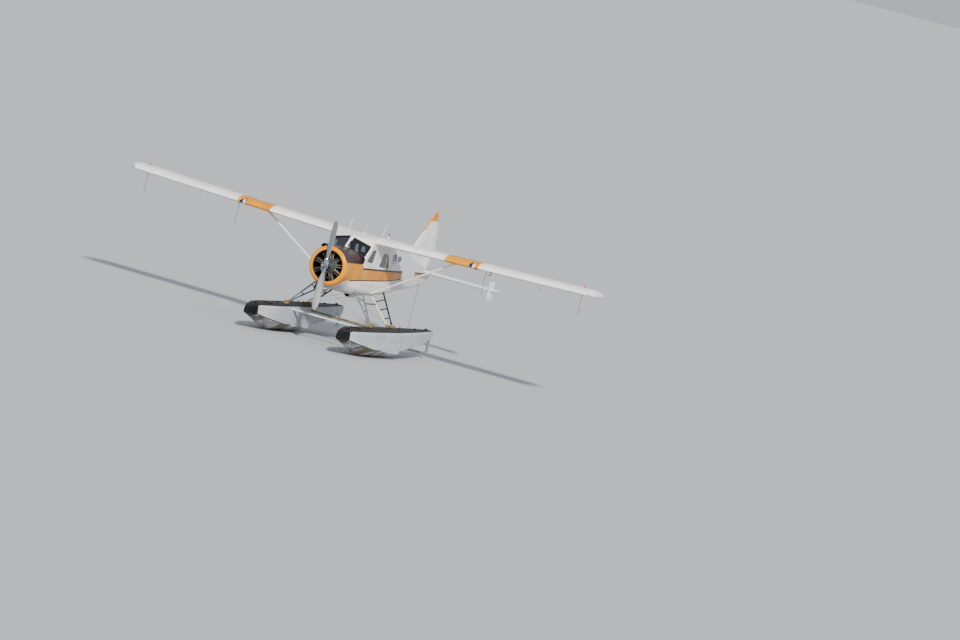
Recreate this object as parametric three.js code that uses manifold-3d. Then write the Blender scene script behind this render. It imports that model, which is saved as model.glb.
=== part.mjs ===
// Twin-float seaplane with a high strutted wing and a nine-cylinder radial engine.
// Millimetres. +X is the port side, +Y is aft, +Z is up.
// Inside the aircraft group, Y is the station aft of the cowling's lip and Z is the height
// above the thrust line, as on the real machine's drawings.
import * as THREE from 'three';
import { mergeVertices } from 'three/addons/utils/BufferGeometryUtils.js';
import Module from 'manifold-3d';

const wasm = await Module();
wasm.setup();

// Driving dimensions

const GAP = 0.3;                 // between pieces that touch
const SEAM = 5;                  // round doors
const KEEL_DEPTH = 2250;         // thrust line above the float keels
const BOW_STATION = -1700;
const TAIL_STATION = 8740;
const MID_STATION = (BOW_STATION + TAIL_STATION) / 2;

const HALF_SPAN = 7315;
const CHORD = 1590;
const WING_STATION = 1740;       // leading edge
const WING_HEIGHT = 870;         // leading edge line at the centre
const DIHEDRAL = THREE.MathUtils.degToRad(1.88);
const WING_HINGE = WING_STATION + 1190;
const FLAP_SPAN = [700, 4150];
const AILERON_SPAN = [4200, 6900];

const SIDE = 620;                // cabin half width
const WALL = 45;
const FIREWALL = 1050;
const CABIN_END = 4900;
const SILL = -400 + GAP;         // bottom of the sides, on the floor tub
const EAVE = 790;                // top of the sides
const FLOOR_TOP = -400;
const DECK_END = 1298;           // rear edge of the deck ahead of the windscreen
const DECK_EDGE = 300;           // lower edge of that deck

const FLOAT_CENTRE = 1430;
const STEP_STATION = 2600;
const STRUT_FOOT = 1310;
const FRONT_FOOT_STATION = 1100;
const REAR_FOOT_STATION = 2620;
const LADDER_FOOT_STATION = 3020;

const RUDDER_HINGE = 8180;
const ELEVATOR_HINGE = 8340;
const TAILPLANE_HEIGHT = 100;

// Shapes

function facingOut(geometry) {
  const position = geometry.getAttribute('position');
  const index = geometry.index.array;
  const [a, b, c] = [new THREE.Vector3(), new THREE.Vector3(), new THREE.Vector3()];
  let volume = 0;
  for (let i = 0; i < index.length; i += 3) {
    a.fromBufferAttribute(position, index[i]);
    b.fromBufferAttribute(position, index[i + 1]);
    c.fromBufferAttribute(position, index[i + 2]);
    volume += a.dot(b.cross(c));
  }
  if (volume < 0) {
    for (let i = 0; i < index.length; i += 3) {
      [index[i], index[i + 1]] = [index[i + 1], index[i]];
    }
  }
  return geometry;
}

function merged(geometry) {
  const bare = geometry.clone();
  bare.deleteAttribute('normal');
  bare.deleteAttribute('uv');
  return facingOut(mergeVertices(bare, 0.001));
}

function solidFrom(geometry) {
  const shape = merged(geometry);
  const vertProperties = new Float32Array(shape.getAttribute('position').array);
  const triVerts = new Uint32Array(shape.index.array);
  return new wasm.Manifold(new wasm.Mesh({ numProp: 3, vertProperties, triVerts }));
}

function geometryFrom(solid) {
  const mesh = solid.getMesh();
  const geometry = new THREE.BufferGeometry();
  geometry.setAttribute('position', new THREE.Float32BufferAttribute(mesh.vertProperties, 3));
  geometry.setIndex([...mesh.triVerts]);
  return geometry;
}

const join = (...shapes) => geometryFrom(
  shapes.map(solidFrom).reduce((whole, next) => whole.add(next)));
const cut = (shape, ...tools) => geometryFrom(
  tools.map(solidFrom).reduce((rest, tool) => rest.subtract(tool), solidFrom(shape)));
const common = (shape, tool) => geometryFrom(solidFrom(shape).intersect(solidFrom(tool)));
const moved = (shape, x, y, z) => shape.clone().translate(x, y, z);

// A copy on the other side of the plane of symmetry.
const mirrored = (shape) => facingOut(merged(shape.clone().scale(-1, 1, 1)));

// Takes the gap that touching pieces keep off a piece, all round its neighbours: each is
// taken away at four places, a gap along the four directions of a tetrahedron's corners.
function clearOf(shape, ...neighbours) {
  const steps = [[GAP, GAP, GAP], [GAP, -GAP, -GAP], [-GAP, GAP, -GAP], [-GAP, -GAP, GAP]];
  const tools = neighbours.flatMap((neighbour) => steps.map((step) => moved(neighbour, ...step)));
  return cut(shape, ...tools);
}

// A closed body through convex rings of points that have the same count.
function loft(rings) {
  const count = rings[0].length;
  const last = (rings.length - 1) * count;
  const index = [];
  for (let ring = 0; ring < rings.length - 1; ring += 1) {
    for (let corner = 0; corner < count; corner += 1) {
      const next = (corner + 1) % count;
      const [a, b] = [ring * count + corner, ring * count + next];
      index.push(a, b, b + count, a, b + count, a + count);
    }
  }
  for (let corner = 1; corner < count - 1; corner += 1) {
    index.push(0, corner + 1, corner);
    index.push(last, last + corner, last + corner + 1);
  }
  const geometry = new THREE.BufferGeometry();
  geometry.setAttribute('position', new THREE.Float32BufferAttribute(rings.flat(2), 3));
  geometry.setIndex(index);
  return facingOut(geometry);
}

const box = ([x0, x1], [y0, y1], [z0, z1]) => new THREE.BoxGeometry(x1 - x0, y1 - y0, z1 - z0)
  .translate((x0 + x1) / 2, (y0 + y1) / 2, (z0 + z1) / 2);

// An outline of [station, height] points, extruded across the aircraft.
function across(outline, [x0, x1]) {
  const shape = new THREE.Shape(outline.map(([y, z]) => new THREE.Vector2(y, z)));
  const turn = new THREE.Matrix4().makeBasis(
    new THREE.Vector3(0, 1, 0), new THREE.Vector3(0, 0, 1), new THREE.Vector3(1, 0, 0));
  return new THREE.ExtrudeGeometry(shape, { depth: x1 - x0, bevelEnabled: false })
    .applyMatrix4(turn).translate(x0, 0, 0);
}

// A straight bar of oval section. Its chord lies fore and aft as far as the bar's run allows.
function bar(from, to, chord, thickness, sides = 8) {
  const start = new THREE.Vector3(...from);
  const end = new THREE.Vector3(...to);
  const run = end.clone().sub(start).normalize();
  const fore = Math.abs(run.y) < 0.9 ? new THREE.Vector3(0, 1, 0) : new THREE.Vector3(0, 0, 1);
  fore.addScaledVector(run, -fore.dot(run)).normalize();
  const side = new THREE.Vector3().crossVectors(run, fore);
  const ring = (centre) => Array.from({ length: sides }, (_, i) => {
    const angle = ((i + 0.5) / sides) * 2 * Math.PI;
    return centre.clone()
      .addScaledVector(fore, (Math.cos(angle) * chord) / 2)
      .addScaledVector(side, (Math.sin(angle) * thickness) / 2)
      .toArray();
  });
  return loft([ring(start), ring(end)]);
}

const rod = (from, to, diameter, sides = 8) => bar(from, to, diameter, diameter, sides);
const between = (from, to, share) => from.map((value, i) => value + (to[i] - value) * share);

// A profile of [station, radius] points, turned about a fore-and-aft line.
function turned(profile, sides, [x, z] = [0, 0]) {
  const points = profile.map(([station, radius]) => new THREE.Vector2(radius, station));
  return new THREE.LatheGeometry(points, sides).translate(x, 0, z);
}

// Fuselage sections

// Four rounded corners, from the port lower corner round to the starboard lower corner.
function fuselageRing([station, half, top, bottom, topRadius, bottomRadius], inset, steps) {
  const corners = [
    [half - bottomRadius, bottom + bottomRadius, bottomRadius, -90],
    [half - topRadius, top - topRadius, topRadius, 0],
    [topRadius - half, top - topRadius, topRadius, 90],
    [bottomRadius - half, bottom + bottomRadius, bottomRadius, 180],
  ];
  return corners.flatMap(([x, z, radius, start]) => Array.from({ length: steps + 1 }, (_, i) => {
    const angle = THREE.MathUtils.degToRad(start + (90 * i) / steps);
    const reach = radius - inset;
    return [x + reach * Math.cos(angle), station, z + reach * Math.sin(angle)];
  }));
}

const fuselageLoft = (sections, inset = 0, steps = 4) => loft(sections.map(
  (section) => fuselageRing(section, inset, steps)));

// station, half width, top, bottom, top corner radius, bottom corner radius
const CABIN_SECTIONS = [
  [1050, 614, 590, -690, 480, 240],
  [1110, 616, 600, -690, 540, 230],
  [1440, SIDE, 925, -690, 200, 200],
  [1750, SIDE, 985, -690, 110, 160],
  [2300, SIDE, 1030, -680, 70, 150],
  [3330, SIDE, 955, -625, 70, 140],
  [3800, 612, 915, -590, 120, 140],
  [4500, 570, 875, -525, 170, 150],
  [CABIN_END, 535, 810, -490, 190, 160],
];
const TAIL_SECTIONS = [
  [CABIN_END + GAP, 535, 810, -490, 190, 160],
  [5760, 435, 640, -455, 190, 150],
  [6800, 310, 430, -385, 160, 120],
  [7600, 215, 285, -325, 130, 100],
  [8160, 130, 150, -245, 90, 80],
  [TAIL_STATION, 50, 10, -110, 45, 45],
];
const COWL_SECTIONS = [
  [0, 500, 500, -500, 495, 495],
  [25, 540, 540, -540, 535, 535],
  [90, 575, 575, -575, 570, 570],
  [260, 588, 588, -592, 580, 580],
  [520, 592, 590, -622, 560, 560],
  [FIREWALL - GAP, 614, 590, -690, 480, 240],
];

const cabinOuter = fuselageLoft(CABIN_SECTIONS);
const cabinInner = fuselageLoft(
  CABIN_SECTIONS.map(([station, ...rest], i) => {
    const reach = i === 0 ? -10 : i === CABIN_SECTIONS.length - 1 ? 10 : 0;
    return [station + reach, ...rest];
  }), WALL);
const cabinShell = cut(cabinOuter, cabinInner);

// Windscreen: two flat panes that meet on the centre line

const SCREEN_BASE = [0, 1110, 592];
const SCREEN_SIDE_BASE = [600, 1260, 390];
const SCREEN_TOP = [0, 1440, 922];
const SCREEN_SIDE_HEIGHT = 760;
const screenPlane = new THREE.Plane().setFromCoplanarPoints(
  new THREE.Vector3(...SCREEN_BASE), new THREE.Vector3(...SCREEN_SIDE_BASE),
  new THREE.Vector3(...SCREEN_TOP));
const screenNormal = screenPlane.normal.clone().multiplyScalar(Math.sign(screenPlane.normal.z));
const stationOnScreen = (x, z) => -(
  screenPlane.constant + screenPlane.normal.x * x + screenPlane.normal.z * z
) / screenPlane.normal.y;
const screenCorners = [
  SCREEN_BASE,
  SCREEN_SIDE_BASE,
  [600, stationOnScreen(600, SCREEN_SIDE_HEIGHT), SCREEN_SIDE_HEIGHT],
  SCREEN_TOP,
];

// The pane's outline, grown or shrunk about its middle and lifted along the pane's normal.
function screenRing(scale, lift, side = 1) {
  const middle = [0, 1, 2].map((axis) => (
    screenCorners.reduce((sum, corner) => sum + corner[axis], 0) / screenCorners.length));
  return screenCorners.map((corner) => {
    const [x, y, z] = corner.map((value, axis) => middle[axis] + scale * (value - middle[axis])
      + lift * screenNormal.getComponent(axis));
    return [side * x, y, z];
  });
}

// Upright slabs above the panes' top edges, between two distances aft of them.
function aboveScreen(side, [from, to]) {
  const [, , sideTop, top] = screenCorners;
  const [outX, outY, outZ] = [sideTop[0] * 1.15, sideTop[1] + 0.15 * (sideTop[1] - top[1]),
    sideTop[2] + 0.15 * (sideTop[2] - top[2])];
  return loft([from, to].map((reach) => [
    [-side, top[1] + reach, top[2]], [side * outX, outY + reach, outZ],
    [side * outX, outY + reach, 1200], [-side, top[1] + reach, 1200]]));
}

// What the flat panes take off the rounded shell, and what stands ahead of the roof's brow.
const paneWedges = [1, -1].map((side) => {
  const [base, sideBase, sideTop, top] = screenCorners;
  const outward = 1.15;
  const grown = [
    base,
    [sideBase[0] * outward, sideBase[1] + 0.15 * (sideBase[1] - base[1]),
      sideBase[2] + 0.15 * (sideBase[2] - base[2])],
    [sideTop[0] * outward, sideTop[1] + 0.15 * (sideTop[1] - top[1]),
      sideTop[2] + 0.15 * (sideTop[2] - top[2])],
    top,
  ];
  return loft([0, 700].map((reach) => grown.map(
    ([x, y, z]) => [side * (x === 0 ? -1 : x), y - reach, z + reach])));
});
const screenWedges = [...paneWedges, ...[1, -1].map((side) => aboveScreen(side, [-700, 0]))];
const screenCuts = [
  ...screenWedges,
  ...[1, -1].map((side) => loft([screenRing(0.84, 60, side), screenRing(0.84, -140, side)])),
];

const FRAME_WIDTH = 40;
const GLASS = 8;
// The frame's middle line at a height above the pane, closed on the centre line.
function frameLine(lift, side, scale = 0.97) {
  const ring = screenRing(scale, lift, side);
  ring[0][0] = 0;
  ring[3][0] = 0;
  return ring;
}
function screenFrame(growth) {
  const width = FRAME_WIDTH + 2 * growth;
  return join(...[1, -1].flatMap((side) => {
    const ring = frameLine(FRAME_WIDTH / 3, side);
    return ring.map((corner, i) => bar(corner, ring[(i + 1) % ring.length], width, width, 6));
  }));
}
const frameRoom = screenFrame(GAP);
const windscreenPane = (side) => cut(
  loft([1, -1].map((face) => frameLine((FRAME_WIDTH + face * GLASS) / 2, side, 0.955))),
  frameRoom);

// Doors: outlines of [station, height] points

const CREW_DOOR = [[1310, -380], [1310, 300], [1720, 735], [2080, 735], [2150, -380]];
const CREW_WINDOW = [[1400, 320], [1730, 668], [2010, 672], [1900, 278]];
const CREW_HANDLE = 1935;
const CABIN_DOOR = [[2440, -380], [2440, 735], [3230, 735], [3470, 120], [3490, -380]];
const CABIN_WINDOW = [[2530, 200], [2675, 602], [3115, 608], [3350, 168]];
const CABIN_HANDLE = 3385;
const HANDLE_HEIGHT = 195;
const REAR_WINDOWS = [
  [[3555, 325], [3490, 600], [3825, 612], [3930, 322]],
  [[4045, 390], [3990, 560], [4350, 550], [4420, 385]],
];

// The outline moved inwards by a distance on every side.
function inset(outline, distance) {
  const area = outline.reduce((sum, [y, z], i) => {
    const [nextY, nextZ] = outline[(i + 1) % outline.length];
    return sum + y * nextZ - nextY * z;
  }, 0);
  const turn = Math.sign(area);
  const edges = outline.map(([y, z], i) => {
    const [nextY, nextZ] = outline[(i + 1) % outline.length];
    const length = Math.hypot(nextY - y, nextZ - z);
    const [ny, nz] = [-(nextZ - z) / length, (nextY - y) / length];
    return { ny, nz, reach: ny * y + nz * z + turn * distance };
  });
  return edges.map((edge, i) => {
    const before = edges[(i + edges.length - 1) % edges.length];
    const area2 = before.ny * edge.nz - before.nz * edge.ny;
    return [
      (before.reach * edge.nz - edge.reach * before.nz) / area2,
      (edge.reach * before.ny - before.reach * edge.ny) / area2,
    ];
  });
}

// Door hinges stand outside the skin at the door's front edge.
const HINGE_HEIGHTS = [-250, 170];
const HINGE_OUT = SIDE + 16;
const HINGE_PIN = 12;
const HINGE_BARREL = 26;
const BARREL_HALF = 25;
function doorHinge(front, part) {
  const station = front - 10;
  const upright = (low, high, diameter, sides = 8) => rod(
    [HINGE_OUT, station, low], [HINGE_OUT, station, high], diameter, sides);
  return HINGE_HEIGHTS.map((height) => {
    if (part === 'door') {
      const leafHeights = [height - BARREL_HALF + 1, height + BARREL_HALF - 1];
      return cut(join(
        upright(...leafHeights, HINGE_BARREL),
        box([SIDE + 4, HINGE_OUT + 6], [station + 4, front + 45], leafHeights),
        box([SIDE - 8, SIDE + 6], [front + SEAM + 3, front + 45], leafHeights),
      ), upright(height - 60, height + 60, HINGE_PIN + 2));
    }
    const lugs = [-1, 1].map((end) => {
      const [low, high] = [height + end * BARREL_HALF, height + end * (BARREL_HALF + 22)]
        .sort((a, b) => a - b);
      return join(upright(low, high, HINGE_BARREL),
        box([SIDE - 8, HINGE_OUT + 6], [station - 45, station - 4], [low, high]));
    });
    return join(...lugs, upright(height - 45, height + 45, HINGE_PIN));
  });
}

const sideBlank = common(cabinShell, join(
  box([440, 700], [FIREWALL + GAP, DECK_END + 10], [SILL, DECK_EDGE]),
  box([440, 700], [DECK_END, CABIN_END], [SILL, EAVE])));
const skinPlate = (outline) => across(outline, [450, 700]);

function cabinSide() {
  const openings = [CREW_DOOR, CABIN_DOOR, ...REAR_WINDOWS].map(skinPlate);
  const pierced = cut(sideBlank, ...openings, ...screenCuts);
  return join(pierced, ...doorHinge(CREW_DOOR[0][0], 'frame'),
    ...doorHinge(CABIN_DOOR[0][0], 'frame'));
}

function door(outline, window, handleStation) {
  const panel = common(cabinShell, skinPlate(inset(outline, SEAM)));
  const handle = box([SIDE - 4, SIDE + 28], [handleStation - 40, handleStation + 40],
    [HANDLE_HEIGHT - 10, HANDLE_HEIGHT + 10]);
  return join(cut(panel, skinPlate(window)), handle, ...doorHinge(outline[0][0], 'door'));
}

const pane = (outline, [x0, x1]) => across(inset(outline, GAP), [x0, x1]);

const portSide = cabinSide();
const crewDoor = door(CREW_DOOR, CREW_WINDOW, CREW_HANDLE);
const cabinDoor = door(CABIN_DOOR, CABIN_WINDOW, CABIN_HANDLE);
const crewGlass = pane(CREW_WINDOW, [SIDE - 28, SIDE - 20]);
const cabinGlass = pane(CABIN_WINDOW, [SIDE - 28, SIDE - 20]);
// One sheet against the wall's inner face, behind both rear windows.
function halfWidthAt(station) {
  const after = CABIN_SECTIONS.findIndex(([next]) => next >= station);
  const [[from, fromHalf], [to, toHalf]] = [CABIN_SECTIONS[after - 1], CABIN_SECTIONS[after]];
  return fromHalf + ((toHalf - fromHalf) * (station - from)) / (to - from);
}
const rearGlass = loft([3440, 3800, 4460].map((station) => {
  const outer = halfWidthAt(station) - WALL - GAP;
  return [[outer - GLASS, station, 250], [outer, station, 250], [outer, station, 660],
    [outer - GLASS, station, 660]];
}));

const deckBox = box([-700, 700], [FIREWALL + GAP, DECK_END - GAP], [DECK_EDGE + GAP, EAVE]);
const noseDeck = cut(common(cabinShell, deckBox), ...screenCuts);

// Roof with three whip aerials, beacon pylon and lifting pad

// base point, top point
const WHIPS = [
  [[-380, 2050, 1000], [-380, 2150, 1400]],
  [[0, 2200, 1000], [0, 2420, 1300]],
  [[0, 3780, 890], [0, 4120, 1330]],
];
const BROW = 35;                 // upright plate between the panes and the roof
const LIFTING_PAD = { station: 2450, top: 1050, half: 60 };
const roofRegion = box([-700, 700], [1300, CABIN_END], [EAVE + GAP, 1200]);
const roofBrows = [1, -1].map((side) => common(aboveScreen(side, [0, BROW]),
  common(cabinOuter, roofRegion)));
const roofBlank = cut(join(common(cabinShell, roofRegion), ...roofBrows), ...screenCuts);
const beacon = loft([
  [[-25, 4440, 850], [25, 4440, 850], [25, 4640, 850], [-25, 4640, 850]],
  [[-18, 4440, 1010], [18, 4440, 1010], [18, 4530, 1010], [-18, 4530, 1010]],
]);
const cabinRoof = join(roofBlank, beacon,
  rod([0, 4480, 990], [0, 4475, 1090], 60, 10),
  box([-LIFTING_PAD.half, LIFTING_PAD.half],
    [LIFTING_PAD.station - LIFTING_PAD.half, LIFTING_PAD.station + LIFTING_PAD.half],
    [980, LIFTING_PAD.top]),
  ...WHIPS.map(([base, top]) => rod(base, top, 14, 6)));

const windscreenFrame = clearOf(screenFrame(0), cut(cabinOuter, ...screenWedges));

// Floor and belly in one tub, open at both ends behind the firewall and ahead of the tail

const floorPlate = common(cabinOuter, box([-700, 700], [FIREWALL + GAP, CABIN_END],
  [FLOOR_TOP - 45, FLOOR_TOP]));
const cabinFloor = join(
  common(cabinShell, box([-700, 700], [FIREWALL + GAP, CABIN_END], [-900, FLOOR_TOP])), floorPlate);

// Rear fuselage with its bulkhead and an access hole

const TAIL_WALL = 35;
const RING_STATION = 8140;       // tie ring below the tail
const RING_HEIGHT = -345;
const rearInner = fuselageLoft(TAIL_SECTIONS.slice(0, -1).map(([station, ...rest], i) => (
  [i === 0 ? CABIN_END + 45 : station, ...rest])), TAIL_WALL);
const rearOuter = fuselageLoft(TAIL_SECTIONS);
const rearBlank = join(
  cut(rearOuter, rearInner,
    box([-150, 150], [CABIN_END - 50, CABIN_END + 100], [-60, 240])),
  box([-12, 12], [8090, 8190], [RING_HEIGHT, -230]));

// Cowling: a shell with its mouth open in front, the firewall behind and the exhaust pipe below

const COWL_MOUTH = 430;
const COWL_ROOM = 556;
const cowlRoom = turned([
  [-50, 0], [-50, COWL_MOUTH + 30], [0, COWL_MOUTH + 12], [30, COWL_MOUTH], [70, COWL_MOUTH + 4],
  [110, 480], [170, COWL_ROOM], [820, COWL_ROOM], [900, 480], [900, 0]], 28);
const cowlOuter = fuselageLoft(COWL_SECTIONS, 0, 6);
const EXHAUST = { from: [-330, 590, -540], to: [-395, 600, -770], outer: 130, inner: 112 };
const exhaustRoom = rod(between(EXHAUST.from, EXHAUST.to, 0.45),
  between(EXHAUST.from, EXHAUST.to, 1.1), EXHAUST.inner, 12);
const cowling = cut(join(cut(cowlOuter, cowlRoom),
  rod(EXHAUST.from, EXHAUST.to, EXHAUST.outer, 12)), exhaustRoom);

// Engine: crankcase, nose case, nine finned cylinders with pushrods and an accessory block

const CYLINDERS = 9;
const CYLINDER_STATION = 330;
const CYLINDER_TOP = 545;
const SHAFT_RADIUS = 38;
function engineParts() {
  const crankcase = turned([[90, 0], [90, 150], [150, 215], [470, 215], [520, 250],
    [899.7, 250], [899.7, 0]], 16);
  const noseCase = turned([[-70, 0], [-70, 60], [-30, 105], [60, 150], [100, 170], [100, 0]], 16);
  const shaft = turned([[-150, 0], [-150, SHAFT_RADIUS], [-60, SHAFT_RADIUS], [-60, 0]], 24);
  const parts = [crankcase, noseCase, shaft];
  for (let i = 0; i < CYLINDERS; i += 1) {
    const angle = Math.PI / 2 + (i * 2 * Math.PI) / CYLINDERS;
    const out = (radius, station, shift = 0) => [
      Math.cos(angle) * radius - Math.sin(angle) * shift, station,
      Math.sin(angle) * radius + Math.cos(angle) * shift];
    parts.push(rod(out(180, CYLINDER_STATION), out(CYLINDER_TOP - 110, CYLINDER_STATION), 150));
    parts.push(rod(out(CYLINDER_TOP - 130, CYLINDER_STATION), out(CYLINDER_TOP, CYLINDER_STATION),
      190));
    for (const shift of [-48, 48]) {
      parts.push(rod(out(165, 175, shift * 0.7), out(CYLINDER_TOP - 40, 215, shift), 22, 5));
      parts.push(rod(out(CYLINDER_TOP - 45, 190, shift), out(CYLINDER_TOP - 45, 320, shift), 55, 5));
    }
  }
  return join(...parts);
}
const engine = engineParts();

// Propeller: hub, dome and two blades

const PROP_STATION = -230;
const PROP_RADIUS = 1295;
const BORE_RADIUS = SHAFT_RADIUS + 0.6;
// radius, chord, thickness, blade angle in degrees
const BLADE_SECTIONS = [
  [60, 90, 90, 30],
  [200, 100, 80, 38],
  [420, 180, 45, 32],
  [800, 205, 26, 22],
  [1150, 180, 16, 17],
  [PROP_RADIUS, 70, 9, 15],
];
function blade(side) {
  return loft(BLADE_SECTIONS.map(([radius, chord, thickness, degrees]) => {
    const pitch = THREE.MathUtils.degToRad(degrees);
    return Array.from({ length: 8 }, (_, i) => {
      const angle = ((i + 0.5) / 8) * 2 * Math.PI;
      const [u, v] = [(Math.cos(angle) * chord) / 2, (Math.sin(angle) * thickness) / 2];
      return [side * (u * Math.cos(pitch) - v * Math.sin(pitch)),
        PROP_STATION + 55 + u * Math.sin(pitch) + v * Math.cos(pitch), side * radius];
    });
  }));
}
const propeller = cut(
  join(
    turned([[-460, 0], [-448, 22], [-400, 55], [-330, 82], [-250, 98], [-245, 112], [-76, 112],
      [-76, 0]], 20),
    blade(1), blade(-1)),
  turned([[-165, 0], [-165, BORE_RADIUS], [-70, BORE_RADIUS], [-70, 0]], 24));

// Scoops

const SCOOP_X = 300;
// station, radius, height of its middle
const CHIN_SCOOP = [[1360, 88, -700], [1520, 100, -712], [1800, 94, -710], [2250, 38, -680]];
const chinScoop = clearOf(cut(
  join(
    loft(CHIN_SCOOP.map(([station, radius, height]) => Array.from({ length: 10 }, (_, k) => {
      const angle = (k / 10) * 2 * Math.PI;
      return [SCOOP_X + radius * Math.cos(angle), station, height + radius * Math.sin(angle)];
    }))),
    box([SCOOP_X - 30, SCOOP_X + 30], [1400, 2000], [-720, -660])),
  turned([[1300, 0], [1300, 68], [1660, 72], [1660, 0]], 10, [SCOOP_X, -708])), cabinOuter);
const sideScoop = clearOf(cut(
  join(
    turned([[470, 0], [470, 78], [520, 88], [820, 82], [960, 40], [960, 0]], 12, [-420, 480]),
    bar([-420, 560, 480], [-340, 560, 360], 120, 60)),
  turned([[400, 0], [400, 60], [760, 60], [760, 0]], 12, [-420, 480])), cowlOuter);

// Wings

// chord fraction, upper height, lower height, both as fractions of the chord
const AIRFOIL = [
  [0, 0.000, 0.000],
  [0.012, 0.024, -0.018],
  [0.05, 0.051, -0.032],
  [0.12, 0.077, -0.041],
  [0.25, 0.098, -0.048],
  [0.42, 0.099, -0.049],
  [0.60, 0.080, -0.040],
  [0.80, 0.043, -0.022],
  [1, 0.004, -0.003],
];
// span station, chord scale, share of the lost chord that the leading edge gives up
const TIP_SECTIONS = [
  [6950, 1.00, 0.45],
  [7140, 0.90, 0.45],
  [7260, 0.68, 0.45],
  [HALF_SPAN, 0.34, 0.45],
];

function wingRing(span, scale = 1, share = 0) {
  const lead = WING_STATION + CHORD * (1 - scale) * share;
  const height = WING_HEIGHT + span * Math.tan(DIHEDRAL);
  const at = (fraction, rise) => [span, lead + CHORD * scale * fraction,
    height + CHORD * scale * rise];
  const upper = AIRFOIL.map(([fraction, top]) => at(fraction, top));
  const lower = AIRFOIL.slice(1).reverse().map(([fraction, , bottom]) => at(fraction, bottom));
  return [...upper, ...lower];
}

// A [station, height] outline swept along the wing, following its dihedral.
const alongWing = (outline, [inner, outer]) => loft([inner, outer].map((span) => outline.map(
  ([y, z]) => [span, y, z + WING_HEIGHT + span * Math.tan(DIHEDRAL)])));

const arc = (centre, radius, from, to, steps) => Array.from({ length: steps + 1 }, (_, i) => {
  const angle = THREE.MathUtils.degToRad(from + ((to - from) * i) / steps);
  return [centre[0] + radius * Math.cos(angle), centre[1] + radius * Math.sin(angle)];
});

const HINGE_RISE = 22;           // hinge line above the leading edge line
const NOSE_RADIUS = 58;
const COVE = 8;                  // room round the nose
const WING_TAIL = WING_STATION + CHORD;
const surfaceOutline = [
  ...arc([WING_HINGE, HINGE_RISE], NOSE_RADIUS, 80, 280, 8),
  [WING_TAIL - 4, -4],
  [WING_TAIL - 4, 6],
];
const coveTools = ([inner, outer]) => [
  alongWing(arc([WING_HINGE, HINGE_RISE], NOSE_RADIUS + COVE, 0, 330, 11), [inner, outer]),
  alongWing([[WING_HINGE - 22, -200], [WING_TAIL + 60, -200], [WING_TAIL + 60, 300],
    [WING_HINGE - 22, 300]], [inner, outer]),
];
const hingePoint = (span) => [span, WING_HINGE,
  WING_HEIGHT + HINGE_RISE + span * Math.tan(DIHEDRAL)];
const PIN = 20;
const PIN_LENGTH = 40;
const hingeRod = (from, to, diameter) => rod(hingePoint(from), hingePoint(to), diameter);

function trailingSurface([inner, outer]) {
  return cut(alongWing(surfaceOutline, [inner + 6, outer - 6]),
    hingeRod(inner - 10, inner + PIN_LENGTH + 10, PIN + 2),
    hingeRod(outer - PIN_LENGTH - 10, outer + 10, PIN + 2));
}

// Balance arms hang below the ailerons.
function aileronShape() {
  const surface = trailingSurface(AILERON_SPAN);
  const span = 5350;
  const height = WING_HEIGHT + span * Math.tan(DIHEDRAL);
  const arm = [
    rod([span, WING_HINGE + 60, height - 25], [span, WING_HINGE - 60, height - 240], 22, 6),
    rod([span, WING_HINGE - 55, height - 235], [span, WING_HINGE - 150, height - 260], 46, 8),
  ];
  return join(surface, ...arm);
}

// Below the wing: pads with a rope lug behind each
const TIE_SPANS = [3880, 6820];
const TIE_STATION = WING_STATION + 510;
const PAD_STATION = TIE_STATION - 75;
const PAD_DROP = 14;
const LUG_DROP = 34;
const PITOT_SPAN = 4150;
const STRUT_TOP = { span: 3040, station: WING_STATION + 450 };
const underside = (span) => WING_HEIGHT + span * Math.tan(DIHEDRAL) - 0.048 * CHORD;

function wingShape() {
  const full = loft([
    wingRing(SIDE - 60),
    ...TIP_SECTIONS.map((section) => wingRing(...section)),
  ]);
  const bays = [FLAP_SPAN, AILERON_SPAN];
  const pins = bays.flatMap(([inner, outer]) => [
    hingeRod(inner - 20, inner + PIN_LENGTH, PIN),
    hingeRod(outer - PIN_LENGTH, outer + 20, PIN),
  ]);
  const tiePads = TIE_SPANS.flatMap((span) => [
    box([span - 30, span + 30], [PAD_STATION - 40, PAD_STATION + 40],
      [underside(span) - PAD_DROP, underside(span) + 40]),
    box([span - 8, span + 8], [TIE_STATION - 16, TIE_STATION + 16],
      [underside(span) - LUG_DROP, underside(span) + 40])]);
  const bare = cut(full, ...bays.flatMap(coveTools), moved(cabinOuter, GAP, 0, 0));
  return join(bare, ...pins, ...tiePads);
}
const wing = wingShape();
const pitotHeight = underside(PITOT_SPAN) - 55;
const portWing = join(wing,
  rod([PITOT_SPAN, WING_STATION + 140, underside(PITOT_SPAN) + 40],
    [PITOT_SPAN, WING_STATION + 120, pitotHeight], 24),
  rod([PITOT_SPAN, WING_STATION + 160, pitotHeight],
    [PITOT_SPAN, WING_STATION - 150, pitotHeight], 26));
const flap = trailingSurface(FLAP_SPAN);
const aileron = aileronShape();

const wingStrut = clearOf(
  bar([575, 2470, -620],
    [STRUT_TOP.span, STRUT_TOP.station, WING_HEIGHT + STRUT_TOP.span * Math.tan(DIHEDRAL)],
    130, 50, 12), wing, cabinOuter);

// Tail surfaces

// height, leading edge, trailing edge, half thickness
const FIN_SECTIONS = [
  [60, 6010, 8122, 50],
  [480, 6450, 8122, 50],
  [1320, 7390, 8126, 36],
  [1760, 7905, 8130, 24],
  [1880, 8085, 8132, 16],
];
const finBlank = loft(FIN_SECTIONS.map(([height, lead, trail, half]) => {
  const at = (share, x) => [x, lead + (trail - lead) * share, height];
  return [at(0, 3), at(0.12, half * 0.7), at(0.4, half), at(1, half * 0.8),
    at(1, -half * 0.8), at(0.4, -half), at(0.12, -half * 0.7), at(0, -3)];
}));

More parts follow.
